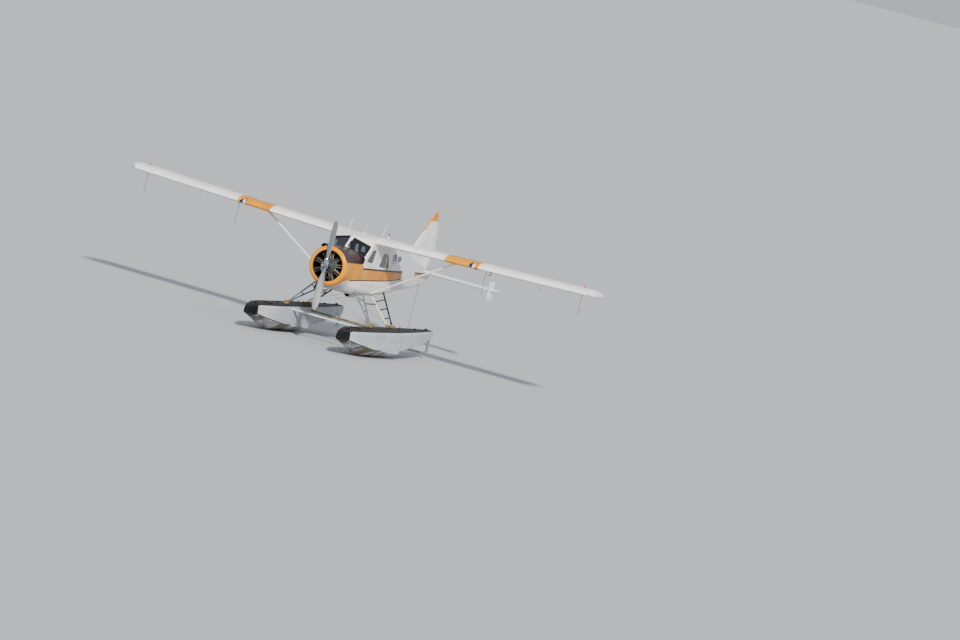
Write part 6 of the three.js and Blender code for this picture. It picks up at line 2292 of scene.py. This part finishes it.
# %% Instrument panel
panel_edge = [(-588, 60), (-588, 290), (-520, 330), (520, 330), (588, 290), (588, 60)]
panel_outline = rounded(panel_edge, 30)
panel = piece("instrument_panel_sheet", loft([[(x, s, h) for x, h in panel_outline]
                                              for s in (1208, 1225)]))
box_behind = block((-560, 560), (1190, 1210), (80, 305))
pedestal = loft([[(x * 110, s, h) for x, s in ((-1, low), (1, low), (1, high), (-1, high))]
                 for h, low, high in ((-399.5, 1200, 1260), (-120, 1196, 1260),
                                      (100, 1190, 1244))])
hood = loft([[(x, 1190, 300), (x, 1200, 338), (x, 1230, 345), (x, 1265, 343),
              (x, 1286, 332), (x, 1290, 318), (x, 1282, 305), (x, 1262, 300)]
             for x in (-588, -580, -300, 0, 300, 580, 588)])
carved(panel, box_behind, pedestal, hood, operation="UNION")
crackle = plain_finish("black crackle paint", "1d1e20", "2a2b2e", 60, 0.55, bump=0.6)
dressed(panel, "airframe", crackle, "instrument_panel", edge=1.5)

# x, height, radius of each round instrument; the big ones stand before the pilot
GAUGES = [(200, 240, 41), (300, 240, 41), (400, 240, 41), (200, 140, 41), (300, 140, 41),
          (400, 140, 41), (490, 210, 28), (490, 130, 28), (110, 250, 28), (40, 250, 28),
          (110, 180, 28), (40, 180, 28), (-40, 250, 28), (-300, 240, 34), (-390, 240, 34)]
bezels, faces, marks = [], [], []
for x, height, radius in GAUGES:
    bezels.append(ring((x, 1231, height), radius, 9, sides=32))
    faces.append(rod((x, 1224, height), (x, 1229, height), 2 * radius, 32))
    for k in range(12):
        a = k * math.pi / 6
        c, s = math.cos(a), math.sin(a)
        inner, outer = radius * 0.74, radius * 0.9
        marks.append(bar((x + c * inner, 1229.5, height + s * inner),
                         (x + c * outer, 1229.5, height + s * outer), 2, 3, 4))
    a = 0.8 + 1.7 * (x + height) / 100
    marks.append(bar((x - 8 * math.cos(a), 1231, height - 8 * math.sin(a)),
                     (x + radius * 0.66 * math.cos(a), 1231,
                      height + radius * 0.66 * math.sin(a)), 2, 3, 4))
for k in range(9):
    bezels.append(rod((-160 + 40 * k, 1220, 84), (-160 + 40 * k, 1244, 88), 11, 10))
for row, (low, high) in enumerate(((100, 130), (135, 165))):
    bezels.append(block((-250, -80), (1222, 1236), (low, high)))
for x, low in ((-60, 60), (0, 60), (60, 60)):
    marks.append(tube_along(curve_through([(x, 1240, low - 20), (x, 1290, low + 10),
                                           (x, 1320, low + 12)], 4), 9, 8))
    marks.append(rod((x, 1316, low + 12), (x, 1344, low + 12), 26, 14))
black_moulding = plain_finish("black moulded plastic", "141414", "222222", 40, 0.4)
dial_face = plain_finish("matt black dial paper", "0d0e10", "17181b", 50, 0.6)
white_marks = plain_finish("cream luminous paint", "e8e3c8", "cfc9a8", 40, 0.6)
for name, shapes, finish in (("gauge_bezels", bezels, black_moulding),
                             ("gauge_faces", faces, dial_face),
                             ("gauge_marks_and_knobs", marks, white_marks)):
    dressed(piece(name, together(*shapes)), "airframe", finish)

# %% Control column and pedals
column = piece("control_column_tubes", pipe(
    (0, 1400, -399.5), (0, 1460, 110),
    [(0, 58), (0.015, 60), (0.09, 34), (0.12, 30), (0.86, 30), (0.87, 36), (1, 36)], 28))
arm_line = curve_through([(0, 1460, 96), (60, 1464, 120), (180, 1467, 138), (300, 1470, 150)], 8)
wheel_centre = np.array([300, 1560, 150.0])
wheel = [tube_along(arm_line, 44, 20),
         pipe((300, 1445, 150), (300, 1572, 150),
              [(0, 26), (0.3, 28), (0.32, 18), (0.85, 18), (0.86, 34), (1, 30)], 24),
         ring(wheel_centre, 118, 14, sides=48)]
for a in (-0.15, math.pi + 0.15, -math.pi / 2):
    wheel.append(bar(wheel_centre, wheel_centre + 116 * np.array([math.cos(a), 0, math.sin(a)]),
                     24, 11, 12, (0, 0, 1)))
carved(column, *wheel, operation="UNION")
dressed(column, "airframe", black_moulding, "control_column", edge=1.0)
pedals = []
for x in (-390, -210, 210, 390):
    pedals.append(bar((x - 55, 1330, -255), (x + 55, 1330, -255), 70, 14, 16, (0, 0.35, 1)))
    pedals.append(tube_along(curve_through([(x, 1300, -397), (x, 1316, -330),
                                            (x, 1326, -262)], 4), 18, 10))
dressed(piece("rudder_pedals", together(*pedals)), "airframe", bare_alloy)

# %% [markdown]
# ## Seats
# A front seat is a welded frame of tube with a sheet pan, a thick seat cushion and a back
# cushion. The cushions start as blocks with rounded corners, a little smaller than they end.
# Cloth simulation then inflates them, so that they crown between their seams. How far a point
# may move is capped. The rear seat is a bench made the same way.

# %% Stuffed cushions
def stuffed(name, shape, voxel, cap, channels=(), depth=7.0):
    """Inflate a closed block into a cushion, then press sewn channels across it."""
    made = piece(name, shape, 180)
    remesh = made.modifiers.new("even mesh", "REMESH")
    remesh.mode = "VOXEL"
    remesh.voxel_size = voxel / 1000
    baked(made)
    rest = np.empty(len(made.data.vertices) * 3)
    made.data.vertices.foreach_get("co", rest)
    rest = rest.reshape(-1, 3)
    cloth = made.modifiers.new("filling", "CLOTH")
    cloth.settings.use_pressure = True
    cloth.settings.uniform_pressure_force = 4
    cloth.settings.effector_weights.gravity = 0
    cloth.settings.quality = 4
    scene = bpy.context.scene
    for moment in range(1, 21):
        scene.frame_set(moment)
    baked(made)
    scene.frame_set(1)
    swollen = np.empty(len(rest) * 3)
    made.data.vertices.foreach_get("co", swollen)
    move = swollen.reshape(-1, 3) - rest
    reach = np.linalg.norm(move, axis=1)[:, None]
    move *= np.minimum(1, cap / 1000 / np.maximum(reach, 1e-9))
    made.data.vertices.foreach_set("co", (rest + move).ravel())
    smooth = made.modifiers.new("finer", "SUBSURF")
    smooth.levels = smooth.render_levels = 1
    baked(made)
    points = np.empty(len(made.data.vertices) * 3)
    normals = np.empty(len(made.data.vertices) * 3)
    made.data.vertices.foreach_get("co", points)
    made.data.vertices.foreach_get("normal", normals)
    points, normals = points.reshape(-1, 3), normals.reshape(-1, 3)
    for x in channels:
        away = (points[:, 0] - x / 1000) / 0.011
        points -= normals * (depth / 1000 * np.exp(-away**2))[:, None]
    made.data.vertices.foreach_set("co", points.ravel())
    made.data.update()
    shade(made, 180)
    return made


CUSHION_CORNER = 34


def cushion_loop(low, high, share, inset):
    """A cushion's outline at a share of its height, and that height."""
    level = low + (high - low) * share
    x0, s0, x1, s1 = level[0], level[1], level[3], level[4]
    corners = [(x0, s0), (x1, s0), (x1, s1), (x0, s1)]
    return rounded(corners, CUSHION_CORNER, inset), level[2]


def soft_block(low, high):
    """A block with rounded corners seen from above; corners are (x, station, height)."""
    levels = [cushion_loop(low, high, share, inset) for share, inset in
              ((0, 14), (0.12, 3), (0.3, 0), (0.7, 0), (0.88, 3), (1, 14))]
    return loft([[(x, s, height) for x, s in loop] for loop, height in levels])


def seam_welt(made, loop, diameter=8):
    """Piping along a loop of points, pulled onto the cushion's skin."""
    tree = bvhtree.BVHTree.FromObject(made, bpy.context.evaluated_depsgraph_get())
    on_skin = [tree.find_nearest(Vector(point))[0] for point in place(loop)]
    line = np.array(on_skin) * 1000 + [0, MID_STATION, -THRUST_HEIGHT]
    line = np.concatenate([line, line[:1]])
    fine, _ = resampled(line, 2 * len(line))
    return tube_along(fine, diameter, 8)


def edge_loop(low, high, share):
    """Points about 25 mm apart along a cushion's seam."""
    corners, height = cushion_loop(low, high, share, 4)
    loop = []
    for a, b in zip(corners, corners[1:] + corners[:1]):
        pieces = max(1, int(math.dist(a, b) / 25))
        loop += [(a[0] + (b[0] - a[0]) * k / pieces, a[1] + (b[1] - a[1]) * k / pieces,
                  height) for k in range(pieces)]
    return loop


# each cushion: its section low down and high up as x, station and height limits
CREW_CUSHION = (np.array([82, 1698, -192, 498, 2102, -192.0]),
                np.array([82, 1698, -84, 498, 2102, -84.0]))
CREW_BACK = (np.array([88, 2064, -104, 492, 2150, -104.0]),
             np.array([88, 2142, 402, 492, 2206, 402.0]))
BENCH_CUSHION = (np.array([-482, 3018, -212, 482, 3482, -212.0]),
                 np.array([-482, 3018, -104, 482, 3482, -104.0]))
BENCH_BACK = (np.array([-482, 3446, -122, 482, 3544, -122.0]),
              np.array([-482, 3534, 384, 482, 3606, 384.0]))
red_leather = plain_finish("red-brown leather, creased", "7d3322", "5c2418", 22, 0.5,
                           bump=0.6, depth=0.002)
blue_cloth = plain_finish("grey-blue woven seat cloth", "76889a", "5f7284", 220, 0.85,
                          bump=0.7, depth=0.001)
for name, (low, high), voxel, cap, channels, finish in (
        ("crew_cushion", CREW_CUSHION, 10, 18, (190, 290, 390), red_leather),
        ("crew_backrest", CREW_BACK, 10, 14, (190, 290, 390), red_leather),
        ("bench_cushion", BENCH_CUSHION, 12, 22, (-160, 160), blue_cloth),
        ("bench_backrest", BENCH_BACK, 12, 16, (-160, 160), blue_cloth)):
    made = stuffed(name, soft_block(low, high), voxel, cap, channels)
    welts = piece(f"{name}_welt", together(*[
        seam_welt(made, edge_loop(low, high, share)) for share in (0.1, 0.9)]))
    pairs = [(made, welts)]
    if name.startswith("crew"):
        pairs.append((other_side(made, f"{name}_starboard"),
                      other_side(welts, f"{name}_welt_starboard")))
    for soft, piping in pairs:
        dressed(soft, "airframe", finish)
        dressed(piping, "airframe", finish)
    print(name, len(made.data.polygons), "faces")

# %% Seat frames
def seat_frame(name, low_x, high_x, fore, aft, pan_height, back_low, back_top, tilt):
    """Tube legs on floor rails, a pan, and a bent tube that holds the backrest."""
    parts = [block((low_x, high_x), (fore, aft), (pan_height - 12, pan_height))]
    for x in (low_x + 30, high_x - 30):
        parts.append(block((x - 16, x + 16), (fore, aft), (-399.5, -386)))
        for station in (fore + 30, aft - 30):
            parts.append(rod((x, station, -392), (x, station, pan_height - 6), 26, 14))
        parts.append(rod((x, fore + 30, -360), (x, aft - 30, pan_height - 30), 20, 12))
    inner, outer = low_x + 40, high_x - 40
    loop = curve_through([(inner, aft - 24, pan_height - 6), (inner, back_low, -100),
                          (inner, back_low + tilt * 0.8, 300), (inner + 50, back_top, 380),
                          (outer - 50, back_top, 380), (outer, back_low + tilt * 0.8, 300),
                          (outer, back_low, -100), (outer, aft - 24, pan_height - 6)], 8)
    made = piece(name, parts[0])
    return carved(made, *parts[1:], tube_along(loop, 24, 12), operation="UNION")


crew_frame = seat_frame("crew_seat_frame", 120, 460, 1720, 2060, -203, 2172, 2224, 40)
pair(crew_frame, "crew_seat_frame", case_enamel, ["crew_seat"])
bench_frame = seat_frame("bench_seat_frame", -450, 450, 3060, 3440, -224, 3566, 3622, 44)
dressed(bench_frame, "airframe", case_enamel, "bench_seat")
print("seats done")

# %% [markdown]
# ## Scoops
# Two air scoops stand proud of the skin: the oil cooler's under the belly, to port, and the
# carburettor's beside the cowling, to starboard. Each is a spun sheet shell with a rolled lip
# and a black throat, faired out to nothing behind.

# %% Oil cooler scoop and carburettor scoop
SCOOP_X = 300
# station, radius, height of its middle
SCOOP_ROWS = [(1360, 80, -702), (1368, 88, -702), (1400, 93, -705), (1520, 100, -712),
              (1800, 94, -710), (2050, 72, -696), (2250, 38, -680)]


def scoop_rings(rows, sides=40):
    angles = np.arange(sides) * 2 * math.pi / sides
    return [[(SCOOP_X + radius * math.cos(a), station, height + radius * math.sin(a))
             for a in angles] for station, radius, height in rows]


chin = piece("chin_scoop_shell", loft(scoop_rings(smoothed(SCOOP_ROWS, 40))))
carved(chin, block((SCOOP_X - 30, SCOOP_X + 30), (1400, 2000), (-720, -660)),
       operation="UNION")
carved(chin, turned([(1300, 76), (1362, 75), (1390, 71), (1660, 68)], 40, (SCOOP_X, -708)),
       cabin_skin(-0.4))
matrix = together(*[block((SCOOP_X + x - 1.5, SCOOP_X + x + 1.5), (1632, 1656), (-772, -644))
                    for x in range(-48, 49, 8)])
fins_deep = piece("cooler_fins", matrix)
side_scoop = piece("side_scoop_shell", turned(
    [(470, 70), (472, 76), (480, 81), (500, 86), (530, 88), (700, 87), (820, 82), (880, 66),
     (930, 50), (960, 40)], 44, (-420, 480)))
carved(side_scoop, bar((-420, 560, 480), (-340, 560, 360), 120, 60, 20), operation="UNION")
carved(side_scoop, turned([(440, 66), (476, 65), (500, 60), (760, 58)], 44, (-420, 480)))


def two_zone(name, outside, inside, axis_x, axis_height, bore):
    """Paint outside and near-black in the throat, told apart by the distance from its axis."""
    made, tree = new_finish(name)
    vector, x, _, height = stations(tree)
    across_axis = calc(tree, "SUBTRACT", x, axis_x)
    above_axis = calc(tree, "SUBTRACT", height, axis_height)
    square = calc(tree, "MULTIPLY", across_axis, across_axis)
    both = calc(tree, "MULTIPLY_ADD", above_axis, above_axis, square)
    inner = calc(tree, "LESS_THAN", both, bore**2)
    skin = worn_tone(tree, vector, *outside, 4)
    darkened = worn_tone(tree, vector, *inside, 30)
    colour = painted_over(tree, skin, inner, darkened)
    grain = noise_of(tree, vector, 60, 3)
    gloss = remap(tree, grain, 0, 1, 0.22, 0.46)
    set_surface(tree, {"Base Color": colour, "Roughness": gloss})
    return made


dressed(chin, "airframe", two_zone("white enamel, sooty throat", ("efeade", "ddd5c4"),
                                   ("0c0b0b", "15110f"), 0.3, -0.708, 0.0785),
        "chin_scoop", edge=0.8)
dressed(side_scoop, "airframe", two_zone("maroon enamel, dark throat", ("43222b", "33181f"),
                                         ("0c0b0b", "151012"), -0.42, 0.48, 0.0668),
        "side_scoop", edge=0.8)
dressed(fins_deep, "airframe", sooty_metal)

# %% [markdown]
# ## Fittings
# Small hardware that the eye expects: door hinges and handles, whip aerials, the flashing
# beacon on its pylon, a lifting ring plate, a roof vent, tie-down rings and the fasteners of
# the cowling.

# %% Door hinges and handles
chromed = plain_finish("chromed casting", "c9ccd0", "a9adb3", 12, 0.18, metallic=1.0,
                       spread=0.06)


def handle(station):
    """A lever handle on a round plate, pointing aft."""
    return together(
        pipe((SIDE - 3, station - 22, 195), (SIDE + 8, station - 22, 195),
             [(0, 21), (0.7, 21), (1, 18)], 24),
        pipe((SIDE + 4, station - 22, 195), (SIDE + 26, station - 22, 195),
             [(0, 8), (1, 8)], 16),
        teardrop((SIDE + 20, station - 30, 195), (SIDE + 20, station + 44, 191), 16, 9,
                 (0, 0, 1), 7))


for base, front, station in (("crew_door", 1310, 1935), ("cabin_door", 2440, 3385)):
    fixed = piece(f"{base}_hinge_lugs", hinge_parts(front, False))
    pair(fixed, f"{base}_hinge_lugs", fuselage_paint, [], slot="white_paint")
    moving = piece(f"{base}_hinge_straps", hinge_parts(front, True))
    pair(moving, f"{base}_hinge_straps", fuselage_paint, [], base, slot="white_paint")
    lever = piece(f"{base}_handle", handle(station))
    pair(lever, f"{base}_handle", chromed, [], base, slot="bare_metal")

# %% Aerials, beacon, lifting plate and vent
whip_paint = plain_finish("white whip aerial", "f1f0ec", "dfe0e0", 30, 0.35)
# foot, top
WHIPS = [((-380, 2050, 1000), (-380, 2150, 1400)), ((0, 2200, 1000), (0, 2420, 1300)),
         ((0, 3780, 890), (0, 4120, 1330))]
for number, (foot, top) in enumerate(WHIPS):
    whip = together(pipe(np.subtract(foot, (0, 0, 40)), top,
                         [(0, 20), (0.14, 19), (0.17, 9), (0.5, 7.5), (0.98, 5), (1, 3)], 16),
                    rod((foot[0], foot[1], foot[2] - 60), (foot[0], foot[1] + 2, foot[2] - 6),
                        66, 20))
    dressed(piece(f"whip_aerial_{number + 1}", whip), "airframe", whip_paint)
pylon = piece("beacon_pylon", loft([
    [(x * half, fore + (aft - fore) * share, height) for share, x in
     ((0, 0.15), (0.12, 0.7), (0.4, 1), (1, 0.5), (1, -0.5), (0.4, -1), (0.12, -0.7),
      (0, -0.15))]
    for half, fore, aft, height in ((30, 4440, 4640, 840), (26, 4442, 4600, 900),
                                    (22, 4441, 4550, 980), (30, 4440, 4532, 1004),
                                    (30, 4442, 4530, 1010))]))
dressed(pylon, "airframe", whip_paint, edge=1.5)
beacon = piece("beacon_lens", pipe(
    (0, 4482, 1004), (0, 4478, 1090),
    [(0, 33), (0.1, 34), (0.12, 29), (0.2, 31), (0.3, 29), (0.4, 31), (0.5, 29), (0.6, 30),
     (0.75, 27), (0.9, 18), (0.98, 8), (1, 2)], 28))
dressed(beacon, "airframe", red_lens)
plate = piece("lifting_plate", loft([[(x, s, h) for x, s in rounded(
    [(-60, 2390), (60, 2390), (60, 2510), (-60, 2510)], 14, inset)]
    for h, inset in ((950, 0), (1046, 0), (1050, 3))]))
carved(plate, rod((0, 2450, 1020), (0, 2450, 1080), 34, 24))
dressed(plate, "airframe", fuselage_paint)
vent_at = np.array([324, 1752, 930.0])
vent = piece("roof_vent", dome(vent_at, 26, 34, (0.18, -0.35, 0.92)))
dressed(vent, "airframe", black_moulding)

# %% [markdown]
# The tie-down rings are welded steel. The wing's hang in their lugs, the tail's hangs from
# the plate behind the fin, rusty where the paint is gone.

# %% Tie rings
rusty_steel = plain_finish("rust-stained ring steel", "8c4a30", "5a3524", 40, 0.6,
                           metallic=0.5)
tie_rings = [ring((sign * span, WING_TIE_STATION, wing_underside(span) - LUG_DROP + 4), 17, 7)
             for span in TIE_SPANS for sign in (1, -1)]
tie_rings.append(ring((0, 8140, -338), 19, 8, sides=28))
dressed(piece("tie_rings", together(*tie_rings)), "airframe", rusty_steel)

# %% [markdown]
# The cowling is in two halves, held by quarter-turn fasteners along its joints. Rows of
# round-headed screws close the windscreen's frame and the roof; Geometry Nodes set them along
# lines of points.

# %% Screws along lines
def studded(name, lines, radius, rise, finish, body="airframe", sides=8):
    """Low domes at points that each carry an outward direction."""
    points = np.array([point for line in lines for point, _ in line])
    ways = np.array([way for line in lines for _, way in line])
    mesh = bpy.data.meshes.new(name)
    mesh.from_pydata(place(points).tolist(), [], [])
    outward = mesh.attributes.new("outward", "FLOAT_VECTOR", "POINT")
    outward.data.foreach_set("vector", (ways / np.linalg.norm(ways, axis=1)[:, None]).ravel())
    made = in_scene(name, mesh)
    tree, given = new_group("screws at points", {"Radius": "Float", "Rise": "Float",
                                                 "Sides": "Int"}, with_geometry=True)
    crown = calc(tree, "MULTIPLY", given["Radius"], 0.6)
    depth = calc(tree, "MULTIPLY", given["Rise"], 2.0)
    head = node(tree, "GeometryNodeMeshCone", {"Vertices": given["Sides"], "Radius Top": crown,
                                               "Radius Bottom": given["Radius"], "Depth": depth})
    sunk = calc(tree, "MULTIPLY", given["Rise"], -1.0)
    lower = node(tree, "ShaderNodeCombineXYZ", {"Z": sunk})
    seated = node(tree, "GeometryNodeTransform", {"Geometry": head.outputs["Mesh"],
                                                  "Translation": lower.outputs[0]})
    way = node(tree, "GeometryNodeInputNamedAttribute", {"Name": "outward"},
               data_type="FLOAT_VECTOR")
    turn = node(tree, "FunctionNodeAlignRotationToVector", {"Vector": way.outputs[0]},
                axis="Z")
    heads = node(tree, "GeometryNodeInstanceOnPoints",
                 {"Points": given["Geometry"], "Instance": seated.outputs["Geometry"],
                  "Rotation": turn.outputs[0]})
    real = node(tree, "GeometryNodeRealizeInstances", {"Geometry": heads.outputs[0]})
    values = {"Radius": radius / 1000, "Rise": rise / 1000, "Sides": sides, "Finish": finish}
    grown(made, tree, real.outputs[0], values, 30)
    return dressed(made, body, finish)


def on_surface(target, rays):
    """Where rays from outside meet a piece, with its outward normal there."""
    tree = bvhtree.BVHTree.FromObject(target, bpy.context.evaluated_depsgraph_get())
    found = []
    for origin, way in rays:
        hit, normal, _, _ = tree.ray_cast(Vector(place(origin)), Vector(way))
        if hit is not None:
            found.append((np.array(hit) * 1000 + [0, MID_STATION, -THRUST_HEIGHT],
                          np.array(normal)))
    return found


def round_body(target, station, start, end, count):
    """Points round a body at one station, from one angle to another."""
    return on_surface(target, [((2000 * math.cos(a), station, 2000 * math.sin(a)),
                                (-math.cos(a), 0, -math.sin(a)))
                               for a in np.radians(np.linspace(start, end, count))])


cowl_lines = [round_body(cowling, station, 0, 356, 46) for station in (105, 470, 1022)]
for angle in (8, 172, 250, 290):
    a = math.radians(angle)
    cowl_lines.append(on_surface(cowling, [
        ((2000 * math.cos(a), station, 2000 * math.sin(a)), (-math.cos(a), 0, -math.sin(a)))
        for station in range(140, 1020, 55)]))
worn_orange_steel = plain_finish("plated quarter-turn fastener", "b7a58a", "8d7a60", 60, 0.4,
                                 metallic=0.6)
studded("cowling_fasteners", cowl_lines, 6.5, 1.6, worn_orange_steel)
screen_lines = []
for sign in (1, -1):
    corners = screen_ring(0.975, 0, sign)
    for a, b in zip(corners, np.roll(corners, -1, 0)):
        count = int(np.linalg.norm(b - a) / 60)
        normal = screen_normal * [sign, 1, 1]
        screen_lines.append([(a + (b - a) * (k + 0.5) / count + normal * FRAME_FACE, normal)
                             for k in range(count)])
studded("windscreen_screws", screen_lines, 4.5, 1.5, chromed)
roof_lines = [on_surface(roof, [((x, station, 1600), (0, 0, -1)) for x in range(-500, 501, 50)])
              for station in (1640, 3290, 3350)]
studded("roof_screws", roof_lines, 4.0, 1.2, whip_paint)
print("fittings done")
